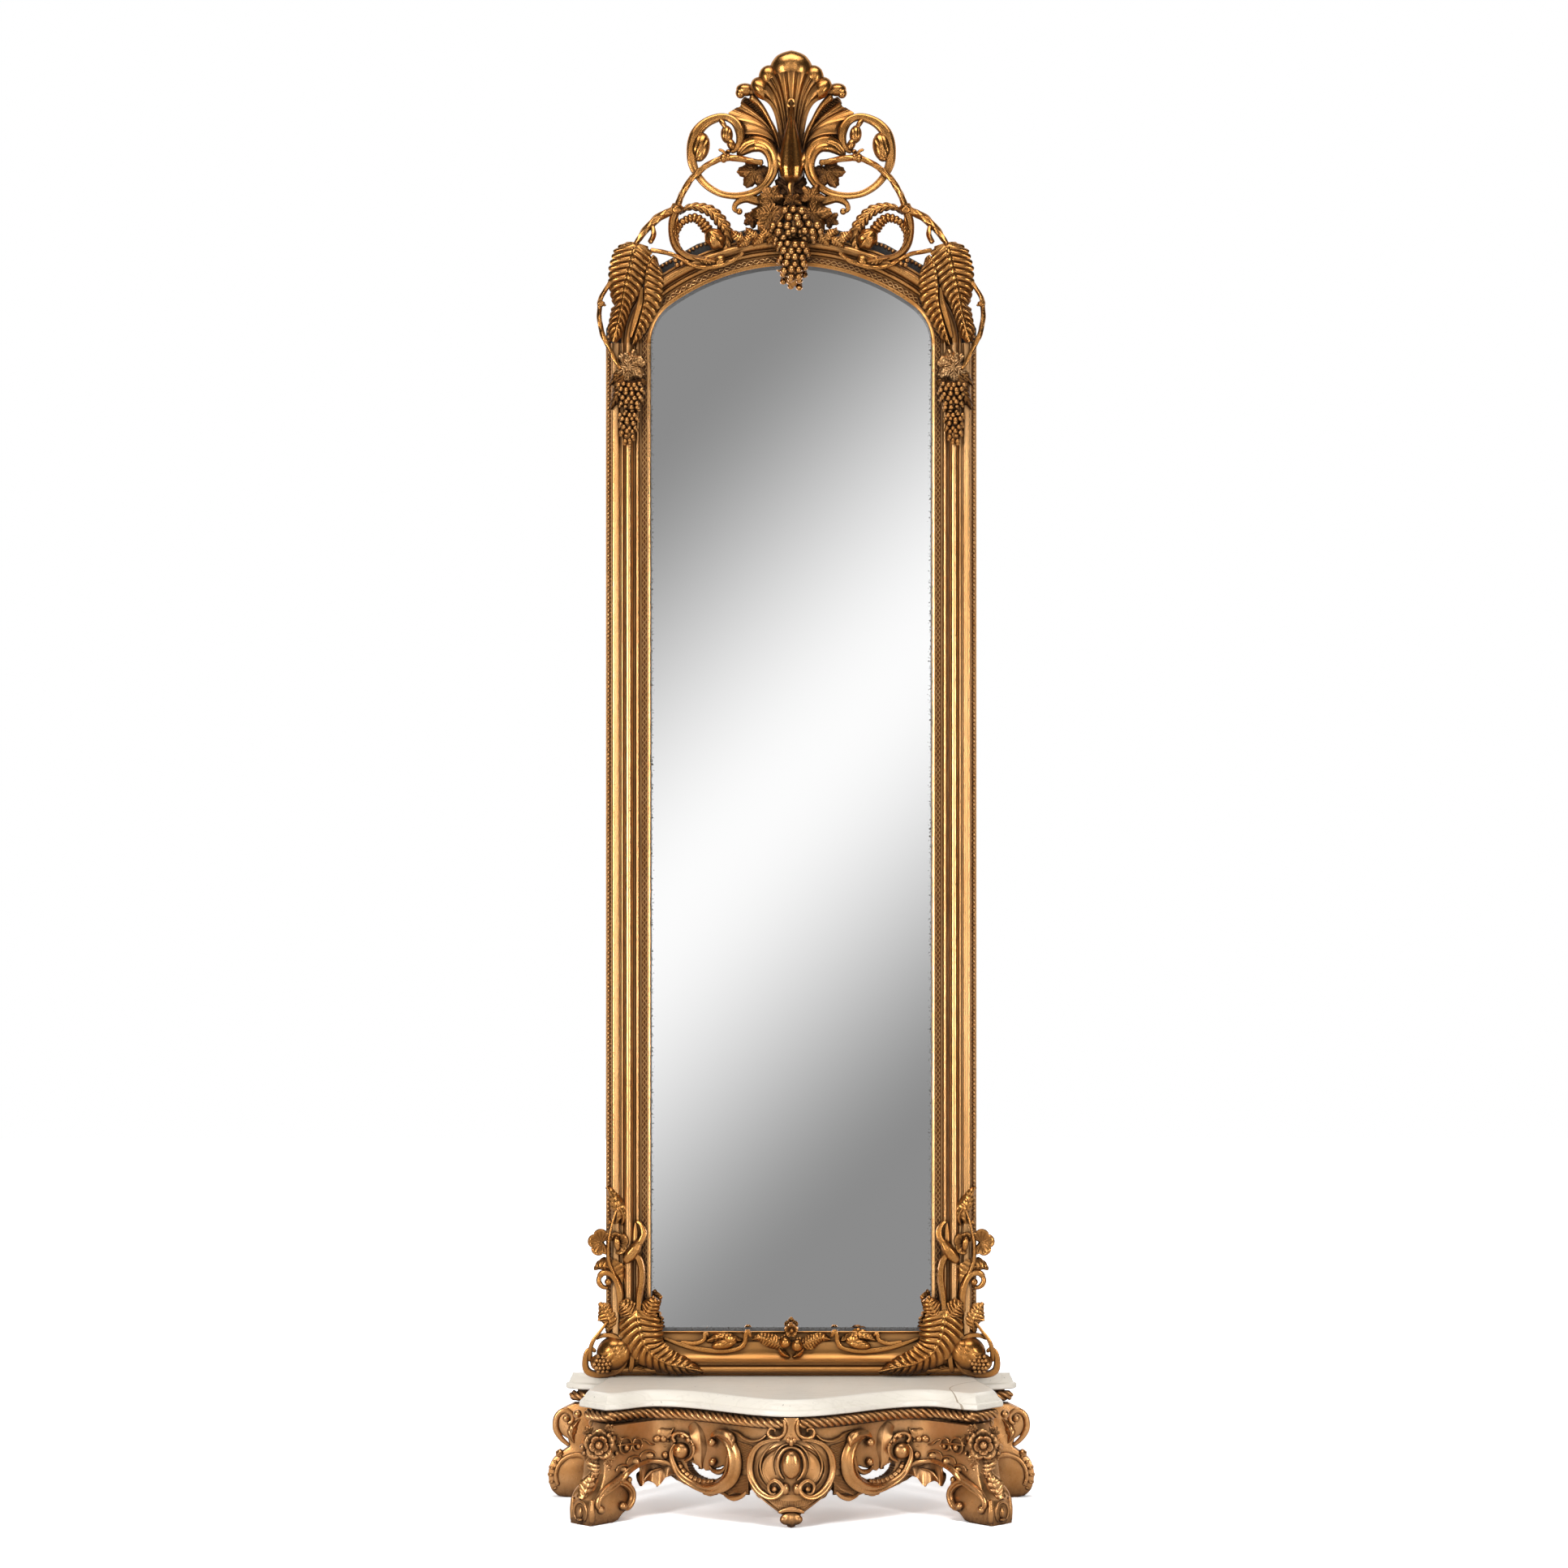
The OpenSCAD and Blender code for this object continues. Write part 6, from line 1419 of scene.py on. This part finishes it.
# ---- Front apron ----
# A pine board, bowed with the marble and pierced inside the scroll rings. Its plain ground is coated in ochre and
# thinly gilt, and its lower edge is rolled forward.
# Its gold is partly the ochre ground's own duller tone and partly set lighter, painted light for the brightly lit
# base
ochre_gilt = gilt("ochre_gilt", 0.0005, (0.74, 0.41, 0.185), 0.2, 0.2, 0.9)
apron_top = marble_z - marble_t - 28
ring_x, ring_z = -178, 118
lower_edge = np.array([(0, 36), (30, 40), (62, 58), (84, 84), (100, 66), (128, 50)]
    + [(-ring_x - 71 * math.cos(a), ring_z + 62 * math.sin(a)) for a in np.radians(range(285, 190, -10))]
    + [(262, 100), (290, 104), (316, 98), (340, 80), (360, 52), (400, 52)])


def on_apron(x, z, lift):
    """A point over the face of the front apron."""
    return (x, wall_y - front_d(x) + overhang - lift, z)


def apron_place(u, v):
    x = 392 * (2 * u - 1)
    low = np.interp(np.abs(x), lower_edge[:, 0], lower_edge[:, 1])
    z = low + (apron_top - low) * v
    lift = 3.5 * np.exp(-((z - low - 4) / 4) ** 2) - 3 * np.exp(-((z - low) / 2) ** 2)
    lift += 1.2 * np.sin(x / 23) * np.sin(z / 17)
    return np.column_stack(on_apron(x, z, lift))


def ring_opening(centres):
    x, z = np.abs(centres[:, 0]), centres[:, 2]
    return (((x - 173) / 38) ** 2 + ((z - 106) / 28) ** 2 < 1) & (z < 98 + 0.45 * np.abs(x - 172))


apron = shaped_grid("apron_board", 400, 84, apron_place, ochre_gilt, close=False)
bpy.context.tool_settings.mesh_select_mode = (False, False, True)
centres = np.array([face.center[:] for face in apron.data.polygons]) * 1000
bpy.ops.object.mode_set(mode="EDIT")
bpy.ops.mesh.select_all(action="DESELECT")
bpy.ops.object.mode_set(mode="OBJECT")
apron.data.polygons.foreach_set("select", ring_opening(centres))
bpy.ops.object.mode_set(mode="EDIT")
bpy.ops.mesh.delete(type="FACE")
bpy.ops.object.mode_set(mode="OBJECT")
bpy.context.tool_settings.mesh_select_mode = (True, False, False)
thicken(apron, 23, (0, -1, 0))
dress(apron, "ochre_gilt", "apron_front")

# ---- Apron scrolls ----
# Each side of the cartouche a pierced C-scroll rings an opening. Its foot is cut with coin fluting, a leaf curls over
# its head to a ball, and an arched roll carries on from it to the leg over a drooping leaf.


def coins(pitch, depth=0.3):
    """The carving of a cove filled with coins laid side by side."""
    return lambda turn, run: 1 - depth * np.exp(-((run % pitch - pitch / 2) / 1.1) ** 2)


def round_to_leg(x, z, lift):
    """A point over the hollow that carries the face of the apron round on to the front of the left leg."""
    return (x, wall_y - 18 * np.logaddexp((front_d(x) - overhang) / 18, (-x - 34) / 18) - lift, z)


def cove_place(u, v):
    x = -228 - 144 * u
    low = np.interp(-x, (228, 262, 291, 317, 340), (92, 106, 113, 110, 108))
    return np.column_stack(round_to_leg(x, low + (apron_top - 1 - low) * v, -5 * np.clip(1 - 6 * u, 0, 1)))


def droop_place(u, v):
    """The leaf under the arched roll, from the ring to the leg, with two hanging tips."""
    x = 231 + 77 * u
    top = np.interp(x, (231, 256, 285, 305, 308), (98, 108, 111, 106, 98))
    tips = np.interp(x, (231, 245, 257, 265, 272, 279, 288, 296, 302, 306, 308),
        (86, 84, 75, 65, 60, 67, 73, 72, 65, 73, 86))
    lift = -10 * v + 4 * np.sin(5 * math.pi * u) * (1 - v) - 4
    return np.column_stack(round_to_leg(-x, tips + (top - tips) * v, lift))


coin_arc = [on_apron(ring_x - 50 * math.cos(a), ring_z + 43 * math.sin(a), 2)
    for a in np.radians(range(-8, -128, -10))]
scroll_parts = [
    rod("ring", path(on_apron, (-150, 176, 6), (-131, 168, 8), (-116, 146, 10), (-112, 118, 10), (-121, 90, 10),
        (-144, 70, 9), (-171, 62, 8), (-200, 69, 8), (-226, 86, 8), (-241, 112, 8), (-243, 132, 8), (-234, 149, 7)),
        [(0, 6, 8), (0.12, 13, 9), (0.25, 15, 10), (0.42, 14, 10), (0.6, 9, 9), (0.8, 7, 8), (1, 4, 6)], sides=36,
        step=2, section=scroll_cove),
    rod("rim", path(on_apron, (-128, 160, 12), (-128, 120, 13), (-137, 92, 12), (-160, 74, 10), (-184, 72, 9)),
        [(0, 2), (0.3, 3), (1, 2)]),
    rod("coins", coin_arc, [(0, 5, 6), (0.5, 8, 7), (1, 5, 6)], sides=20, step=0.9, section=coins(11)),
    knob("volute", on_apron(-223, 134, 4), (18, 17, 14), around=32, up=22),
    rod("volute_rim", path(on_apron, (-234, 149, 7), (-241, 160, 8), (-232, 170, 8), (-216, 168, 9), (-202, 156, 9),
        (-197, 138, 9), (-203, 122, 8), (-218, 112, 6)), (4, 4, 3)),
    copies("beads", round_model(2.4, 10, 6),
        [on_apron(-222 + 23 * math.cos(a), 135 + 22 * math.sin(a), 8) for a in np.radians(range(-40, 80, 14))]),
    knob("berry", on_apron(-220, 165, 10), 6, around=16, up=12),
    knob("berry", on_apron(-208, 158, 11), 6, around=16, up=12),
    knob("berry", on_apron(-199, 150, 10), (4.5, 4.5, 5), around=16, up=12),
    leaf("blade", path(on_apron, (-194, 195, 0), (-187, 176, 8), (-184, 152, 12), (-183, 132, 8), (-184, 116, 6),
        (-181, 100, 4)), [(0, 19), (0.25, 20), (0.45, 14), (0.6, 11), (0.75, 17), (1, 2)], 3, 0.8, 9,
        right=[(0, 18), (0.3, 21), (0.5, 15), (0.66, 19), (0.85, 12), (1, 2)], cup=7, cord=(3, 1.5), notch=0.04,
        wave=3, finish=ochre_gilt),
    leaf("curl", path(on_apron, (-117, 148, 12), (-121, 166, 18), (-136, 177, 21), (-152, 176, 20), (-163, 168, 18)),
        [(0, 5), (0.4, 13), (0.8, 9), (1, 4)], 3, 1.4, 8, right=[(0, 5), (0.4, 12), (0.8, 10), (1, 4)], cup=7,
        cord=(2.4, 2), notch=0.06, wave=3),
    knob("ball", on_apron(-160, 159, 14), (9.5, 9, 9)),
    rod("lip", path(on_apron, (-166, 112, 4), (-158, 101, 5), (-143, 100, 5), (-131, 112, 4), (-129, 134, 3)),
        [(0, 3), (0.4, 6), (1, 3)]),
    knob("ball", on_apron(-158.5, 119, 8), (8.5, 8.5, 9)),
    knob("drop", on_apron(-163, 54, -6), (17, 8, 11), carve=lumps),
    sheet("cove", 60, 12, cove_place, 6, finish=ochre_gilt),
    rod("arch", path(round_to_leg, (-231, 94, 0), (-246, 106, 3), (-262, 111, 3), (-285, 114, 2), (-305, 111, 3),
        (-325, 103, 4), (-338, 92, 4), (-347, 80, 2)), [(0, 4), (0.3, 4.5), (0.6, 5.5), (0.85, 8), (1, 5)], sides=20,
        section=grooved(3, 0.16)),
    sheet("droop", 64, 16, droop_place, 7),
    rod("droop_lip", path(round_to_leg, (-262, 96, -8), (-279, 93, -5), (-290, 87, -4), (-299, 76, -5),
        (-303, 67, -8)), [(0, 2), (0.4, 3.6), (1, 2)]),
    knob("ball", round_to_leg(-328, 83, 2), (7, 7, 6), around=18, up=12),
    knob("ball", on_apron(-256, 124, 5), 8, around=18, up=12),
]
for x, z, wide, high in ((-291, 125, 15, 10), (-318, 117, 14, 11), (-340, 105, 12, 9)):
    scroll_parts += [
        rod("scallop", [round_to_leg(x - wide * math.cos(a), z + high * math.sin(a), 2)
            for a in np.radians(range(-20, 201, 22))], (1.6, 2.6, 1.6), sides=8, step=2),
        knob("dish", round_to_leg(x, z, -1), (wide - 3, high - 3, 4), around=18, up=10),
    ]
for k in range(6):
    a = math.radians(100 + 22 * k)
    scroll_parts.append(knob("scallop", on_apron(-223 + 36 * math.cos(a), 134 + 33 * math.sin(a), 2), (7, 4.5, 5),
        turn=110 + 22 * k, around=14, up=10))


def comb_place(corners, teeth):
    """A four-cornered panel cut with fine teeth that fan from one side; corners go round from the lower left."""
    a, b, c, d = (np.array(corner, float) for corner in corners)

    def place(u, v):
        u, v = u[:, None], v[:, None]
        flat = (a * (1 - u) + b * u) * (1 - v) + (d * (1 - u) + c * u) * v
        lift = 3 + 1.1 * np.abs(np.sin(math.pi * teeth * v[:, 0]))
        return np.column_stack(on_apron(flat[:, 0], flat[:, 1], lift))
    return place


scroll_parts += [
    sheet("comb", 6, 136, comb_place(((-106, 112), (-86, 112), (-78, 160), (-108, 166)), 17), 6),
    sheet("comb", 10, 128, comb_place(((-134, 60), (-86, 62), (-86, 98), (-112, 98)), 16), 6),
    rod("wing", path(on_apron, (-142, 66, 2), (-132, 54, 3), (-116, 50, 4), (-100, 56, 4), (-89, 68, 3)),
        [(0, 2), (0.5, 6, 4), (1, 3)], section=grooved(3, 0.2)),
    rod("moulding", path(on_apron, (-124, 186, 2), (-108, 182, 4), (-96, 174, 5), (-80, 170, 6), (-62, 174, 6),
        (-48, 186, 5)), [(0, 2), (0.3, 3.5), (0.7, 3.5), (1, 2.5)]),
]
pair("apron_c_scroll", "apron_scroll", base_gilt, scroll_parts)

# ---- Cartouche ----
# The oval in the middle of the apron is carved from its own block: a rim that runs down each side to a volute, folds
# and a smooth boss inside it, a clasp that parts the ropes, a combed skirt and a small shell hanging below.


def dish_place(u, v):
    around = 2 * math.pi * u
    x, z = 82 * v * np.sin(around), 116 + 63 * v * np.cos(around)
    fold = np.exp(-((v - 0.70) / 0.035) ** 2) * 3.0 + np.exp(-((v - 0.82) / 0.04) ** 2) * 1.6
    side_way = np.abs(np.sin(around)) ** 0.6
    lift = 1 + 5 * (1 - v) + fold * side_way - 4.5 * np.exp(-((v - 0.76) / 0.03) ** 2) * side_way + 3 * v ** 6
    return np.column_stack(on_apron(x, z, lift))


def skirt_place(u, v):
    """The combed skirt under the rim, from its left end to its right."""
    a = math.pi * (1.16 + 0.68 * u)
    inner = np.column_stack((80 * np.cos(a), 122 + 62 * np.sin(a)))
    outer = np.column_stack((96 * np.cos(a), 124 + (84 + 20 * np.cos(a - 1.5 * math.pi) ** 12) * np.sin(a)))
    flat = inner + (outer - inner) * v[:, None]
    lift = 2 + 1.0 * np.abs(np.sin(52 * math.pi * u)) * np.clip(v * 6, 0, 1) * np.clip((0.8 - v) * 8, 0, 1)
    lift += 3 * np.exp(-((v - 0.92) / 0.07) ** 2)
    return np.column_stack(on_apron(flat[:, 0], flat[:, 1], lift))


def boss_dimple(corners):
    """A faint flat at the head of the boss."""
    return 1 - 0.04 * np.exp(-((corners[:, 2] - 0.9) / 0.2) ** 2)


cartouche = [
    sheet("field", 144, 44, dish_place, 10),
    sheet("skirt", 420, 16, skirt_place, 10),
    knob("boss", on_apron(0, 128, 8), (19, 30, 14), around=36, up=24, carve=boss_dimple),
    rod("boss_ring", [on_apron(27 * math.sin(a), 127 - 35 * math.cos(a), 8) for a in np.radians(range(22, 340, 14))],
        (2, 4.5, 3, 4.5, 2)),
    rod("boss_lip", [on_apron(36 * math.sin(a), 127 - 42 * math.cos(a), 5) for a in np.radians(range(50, 312, 14))],
        [(0, 1), (0.3, 2.5), (0.5, 2), (0.7, 2.5), (1, 1)]),
    sheet("clasp", 24, 40, lambda u, v: np.column_stack(on_apron((2 * u - 1) * (9 + 9 * (2 * v - 1) ** 2 - 3 * v),
        178 + 44 * v, 19 + 3 * np.abs(2 * u - 1) ** 3 - 2 * np.sin(math.pi * v))), 18),
    rod("arch_band", [on_apron(x, 38 - 0.011 * x * x, 9) for x in range(-27, 28, 6)], [(0, 3), (0.5, 6, 5), (1, 3)],
        section=grooved(3, 0.2)),
    knob("shell", on_apron(0, 18, 4), (21, 15, 9), turn=180, around=40, up=24, carve=shell_ribs),
    knob("shell_foot", on_apron(0, 5.5, 3), (9, 5, 6), around=18, up=12),
    knob("drop", on_apron(0, 174, 17), (5, 9, 6), around=18, up=14),
]
for s in (-1, 1):
    cartouche += [
        rod("rim", path(on_apron, (20, 178, 13), (32, 177, 12), (44, 174, 10), (63, 165, 9), (77, 148, 9),
            (83, 125, 9), (82, 103, 9), (73, 83, 9), (59, 68, 10), (42, 61, 12), (26, 66, 14), (17, 79, 14),
            (23, 91, 13), (34, 95, 12), (45, 87, 11), (45, 75, 11), (39, 68, 11), (29, 70, 11), side=s),
            [(0, 4), (0.1, 4), (0.3, 7), (0.5, 7), (0.68, 5), (0.85, 3.5), (1, 2)], sides=24, step=2,
            section=scroll_cove),
        rod("fold", path(on_apron, (28, 172, 4), (44, 160, 5), (58, 140, 5), (62, 118, 5), (55, 98, 5), (44, 86, 4),
            side=s), (1, 2.6, 1), sides=10),
        knob("eye", on_apron(s * 33, 78, 11), (6, 6, 7), around=18, up=12),
        knob("lobe", on_apron(s * 12, 78, 8), (9, 12, 9), turn=s * 12),
        knob("drop", on_apron(s * 6, 178, 16), (5, 7, 6), around=16, up=12),
        rod("clasp_scroll", path(on_apron, (15, 220, 20), (12, 204, 20), (15, 190, 19), (26, 182, 17), (40, 182, 15),
            (46, 191, 14), (41, 199, 14), (33, 198, 14), (32, 192, 14), side=s), [(0, 3), (0.3, 4), (0.7, 4), (1, 2)],
            sides=14, step=1.6),
        knob("shell_lobe", on_apron(s * 15, 17, 5), (8, 9, 8), around=18, up=12),
    ]
single("apron_cartouche", "cartouche", base_gilt, cartouche)

# ---- Front legs ----
# Scroll feet set diagonally under the front corners, sawn from thick pine and carved: a flower panel on the toe,
# hooked rolls ending in balls on both cheeks, and leaves climbing to the corner.
cheek = 32
leg_x, leg_y = -358, -80
diagonal = 0.7071


def leg(along, side, z):
    """A point of the left front leg: along the diagonal outwards, sideways towards the front, and up."""
    return (leg_x + diagonal * (side - along), leg_y - diagonal * (side + along), z)


def board(name, outline, thick, place, round_over=3.0):
    """A board sawn to an outline, its arrises rounded; place puts [point on the outline, distance through]."""
    ring = np.array(outline, float)
    run = np.roll(ring, -1, axis=0) - np.roll(ring, 1, axis=0)
    inward = np.column_stack((-run[:, 1], run[:, 0])) / np.linalg.norm(run, axis=1)[:, None]
    x, z = ring.T
    if (x * np.roll(z, -1) - np.roll(x, -1) * z).sum() < 0:
        inward = -inward
    r = round_over
    cuts = [(0, r), (0.3 * r, 0.3 * r), (r, 0), (thick - r, 0), (thick - 0.3 * r, 0.3 * r), (thick, r)]
    rings = np.array([np.column_stack((ring + g * inward, np.full(len(ring), t))) for t, g in cuts])

    def spot(u, v):
        x, z, t = rings[np.rint(v * 5).astype(int), np.rint(u * len(ring)).astype(int) % len(ring)].T
        return np.column_stack(place(x, z, t))

    return shaped_grid(name, len(ring), 5, spot)


def bent(points, step=4):
    """A smooth outline through points of a plane."""
    return smooth([(*point, 0) for point in points], step)[0][:, :2]


leg_outline = np.vstack(([[30, 0], [92, 0], [92, 40]],
    bent([(89, 48), (80, 56), (68, 70), (59, 92), (54, 124), (46, 160), (30, apron_top)]),
    [[-34, apron_top], [-38, 150]],
    bent([(-26, 112), (-12, 92), (-20, 76), (-23, 56), (-20, 36), (-8, 22), (6, 14), (18, 3)])))
leg_parts = [
    board("leg", leg_outline, 2 * cheek, lambda x, z, t: leg(x, t - cheek, z), round_over=4),
    rod("panel", [leg(92, 19 * math.sin(a), 25 - 21 * math.cos(a)) for a in np.radians(range(30, 331, 20))],
        (2.4, 3, 2.4), sides=10, across=(1, 1, 0)),
    knob("flower", leg(91, 0, 24), (7, 13, 7), around=24, up=16, carve=bud_carve),
    knob("flower_foot", leg(92, 0, 10), (8, 4, 8), around=16, up=10),
    knob("knee", leg(68, -6, 84), (11, 12, 11)),
    leaf("shin", path(leg, (88, 0, 50), (78, 2, 66), (72, 6, 84), (66, 8, 104)), (12, 18, 6), 5, 3.0, 10,
        right=(12, 22, 6), cup=6, notch=0.14),
    leaf("climb", path(leg, (62, 14, 92), (62, 12, 112), (56, 8, 130), (54, 2, 148)), [(0, 6), (0.4, 20), (1, 4)], 6,
        3.0, 10, right=(6, 22, 4), cup=6, notch=0.2, wave=2),
    leaf("climb", path(leg, (58, 20, 100), (50, 30, 112), (44, 34, 128), (42, 34, 142)), [(0, 4), (0.4, 10), (1, 3)],
        6, 2.4, 8, right=(4, 13, 3), notch=0.3, wave=3),
]
for s in (-1, 1):
    flank = (-diagonal * s, diagonal * s, 0)
    leg_parts += [
        rod("hook", [leg(x, s * (cheek + 2), z) for x, z in ((68, 30), (77, 40), (74, 54), (61, 65), (42, 74),
            (22, 83), (4, 93), (-12, 101))], [(0, 5), (0.2, 6), (0.5, 9), (0.8, 9), (1, 5)], sides=24, step=2,
            section=scroll_cove, across=flank),
        knob("ball", leg(68, s * (cheek + 2), 31), 9, around=18, up=12),
        rod("hook", [leg(x, s * (cheek + 2), z) for x, z in ((34, 76), (18, 80), (1, 75), (-15, 59), (-16, 42),
            (-5, 28), (8, 28))], [(0, 4), (0.3, 8), (0.8, 8), (1, 6)], sides=24, step=2, section=scroll_cove,
            across=flank),
        knob("ball", leg(8, s * (cheek + 2), 31), 9, around=18, up=12),
        rod("column", [leg(87, s * 28, z) for z in (2, 24, 44, 54)], (6, 7, 4)),
    ]
pair("scroll_leg", "front_leg", base_gilt, leg_parts)

# ---- Back legs ----
# Boards standing against the wall, cut at the foot to a round scroll with a sunk panel and a serrated rim, and above
# it to a leaf under the ear of the marble.
back_outline = np.vstack(([[-388, 0], [-470, 0]],
    bent([(-486, 3), (-500, 16), (-506, 36), (-506, 58), (-498, 78), (-482, 92), (-462, 106)]),
    bent([(-466, 122), (-482, 134), (-492, 156), (-482, 180), (-452, apron_top)]),
    [[-386, apron_top], [-386, 120], [-398, 60]]))
back_parts = [
    board("board", back_outline, 34, lambda x, z, t: (x, wall_y - t, z), round_over=4),
    rod("panel_rim", [(-448 + 43 * math.cos(a), wall_y - 35, 46 + 43 * math.sin(a))
        for a in np.radians(range(-30, 216, 15))], [(0, 4, 5), (0.5, 5.5, 5), (1, 4, 5)], sides=18,
        section=grooved(3, 0.2)),
    rod("ear_scroll", [(x, wall_y - 34, z) for x, z in ((-462, 108), (-480, 124), (-491, 146), (-488, 170),
        (-472, 182), (-457, 172), (-458, 158), (-468, 154))], [(0, 4), (0.3, 7, 5), (0.7, 6, 5), (1, 4)], sides=16,
        section=grooved(3, 0.2)),
    knob("ear_ball", (-469, wall_y - 36, 165), (7, 7, 4), around=16, up=12),
    leaf("ear_leaf", [(-452, wall_y - 34, 112), (-458, wall_y - 38, 132), (-452, wall_y - 38, 150),
        (-440, wall_y - 36, 164)], (4, 12, 3), 5, 2, 7, notch=0.3),
    knob("bud", (-483, wall_y - 30, 92), (9, 8, 9), turn=30, around=18, up=12, carve=lumps),
]
for k in range(6):
    a = math.radians(128 + 17 * k)
    back_parts.append(knob("serration", (-448 + 53 * math.cos(a), wall_y - 24, 46 + 49 * math.sin(a)), (6, 8.5, 13),
        turn=38 + 17 * k, around=14, up=10))
pair("scroll_board", "back_leg", base_gilt, back_parts)

# ---- Side aprons ----
# Short boards that follow the side of the marble from the front leg to the back one, arched below, with a C-scroll
# cut with coin fluting on the outer face and a rolled lower edge.


def on_side(d, z, lift):
    """A point over the left side apron, at a distance from the wall."""
    return (overhang - side_x(np.clip((d - ear_d) / side_run, 0, 1)) - lift, wall_y - d, z)


def side_arch(d):
    """The rise of the arch under a side apron."""
    return 185 * np.clip(1 - ((d - 151.5) / 109) ** 2, 0, 1) ** 0.5


def side_place(u, v):
    d = 42 + 214 * u
    low = np.maximum(26, side_arch(d) - 70)
    z = low + (apron_top - low) * v
    return np.column_stack(on_side(d, z, 3.5 * np.exp(-((z - low - 4) / 4) ** 2)))


side_coins = [on_side(150 - 50 * math.cos(a), 152 + 26 * math.sin(a), 3) for a in np.radians(range(-190, 11, 10))]
pair("side_apron", "apron_side", base_gilt, [
    sheet("board", 80, 60, side_place, 22, facing=(-1, 0, 0), finish=ochre_gilt),
    rod("c_scroll", [on_side(150 - 62 * math.cos(a), 154 + 36 * math.sin(a), 6)
        for a in np.radians(range(-240, 61, 12))], [(0, 4), (0.3, 8), (0.7, 8), (1, 4)], sides=24,
        section=scroll_cove, across=(1, 0, 0)),
    rod("coins", side_coins, (4, 7, 4), sides=18, step=0.9, section=coins(11), across=(1, 0, 0)),
    rod("lower_roll", [on_side(d, max(30, side_arch(d) - 66), 3) for d in 60 + 183 * np.arange(13) / 12], (4, 6, 4),
        across=(1, 0, 0)),
    knob("ball", on_side(97, 182, 6), 8, around=18, up=12),
    knob("ball", on_side(203, 182, 6), 8, around=18, up=12),
])

# ---- Corner rose sprays ----
# An open rose nailed over each front corner, with berries, leaves running down to the leg, two looped sprigs and a
# small shell along the apron.
rose_at = (-386, -136, 160)
rose_parts = [
    sheet("rose", 150, 20, flower_place(rose_at, 32, 0, 5, 9), 6),
    sheet("rose", 110, 14, flower_place((rose_at[0], rose_at[1] - 7, rose_at[2]), 20, 36, 5, 10), 5),
    knob("heart", (rose_at[0], rose_at[1] - 12, rose_at[2]), 8, around=28, up=18, carve=bud_carve),
    rod("bar", path(round_to_leg, (-352, 156, 4), (-334, 156, 8), (-318, 154, 8), (-302, 150, 5)), (2.4, 1.6),
        sides=10),
    rod("stem", path(round_to_leg, (-303, 160, 2), (-294, 157, 3), (-286, 149, 3), (-276, 146, 1)),
        [(0, 1.6), (0.6, 2.4), (1, 1)], sides=10),
    knob("fan", round_to_leg(-264, 166, -1), (24, 13, 5), turn=6, around=48, up=24, carve=shell_ribs),
    knob("lobe", round_to_leg(-273, 158, 3), (9, 7, 6), turn=20, around=24, up=16),
    knob("lobe", round_to_leg(-260, 157, 3), (8, 7, 6), turn=-20, around=24, up=16),
    rod("spike", path(round_to_leg, (-238, 181, 1), (-246, 166, 2), (-254, 152, 1)), (1, 2, 1.4), sides=10),
]
for x, z, wide, high, berry in ((-334, 153, 12, 16, 7), (-311, 152, 9, 12, 5.5)):
    rose_parts += [
        rod("loop", [round_to_leg(x + wide * math.cos(a), z + high * math.sin(a), 6)
            for a in np.radians(range(0, 361, 24))], (2, 2), sides=8, step=2),
        knob("berry", round_to_leg(x + 1, z - 4, 5), berry, around=18, up=12),
    ]
for x, z, r in ((-367, 178, 6), (-358, 172, 6), (-361, 184, 5), (-420, 154, 6), (-416, 142, 5), (-352, 140, 5)):
    spot = round_to_leg(x, z, 5) if x > -375 else (x, wall_y - 329, z)
    rose_parts.append(knob("berry", spot, r, around=14, up=10))
for x, z, turn, size in ((-407, 182, 30, 15), (-366, 190, -40, 13), (-368, 132, -160, 17), (-398, 128, 170, 19),
        (-410, 138, 150, 15), (-352, 168, -80, 12)):
    rose_parts.append(vine_leaf("leaf", (x, -128 if x < -372 else round_to_leg(x, z, 6)[1], z), size, -turn,
        tilt=(0, 0.1), ruffle=2, seed=x / 9))
roses = joined("corner_roses_left", base_gilt, rose_parts)
single("corner_roses", "rose_sprays", base_gilt, [roses, mirrored(roses, "corner_roses_right")])
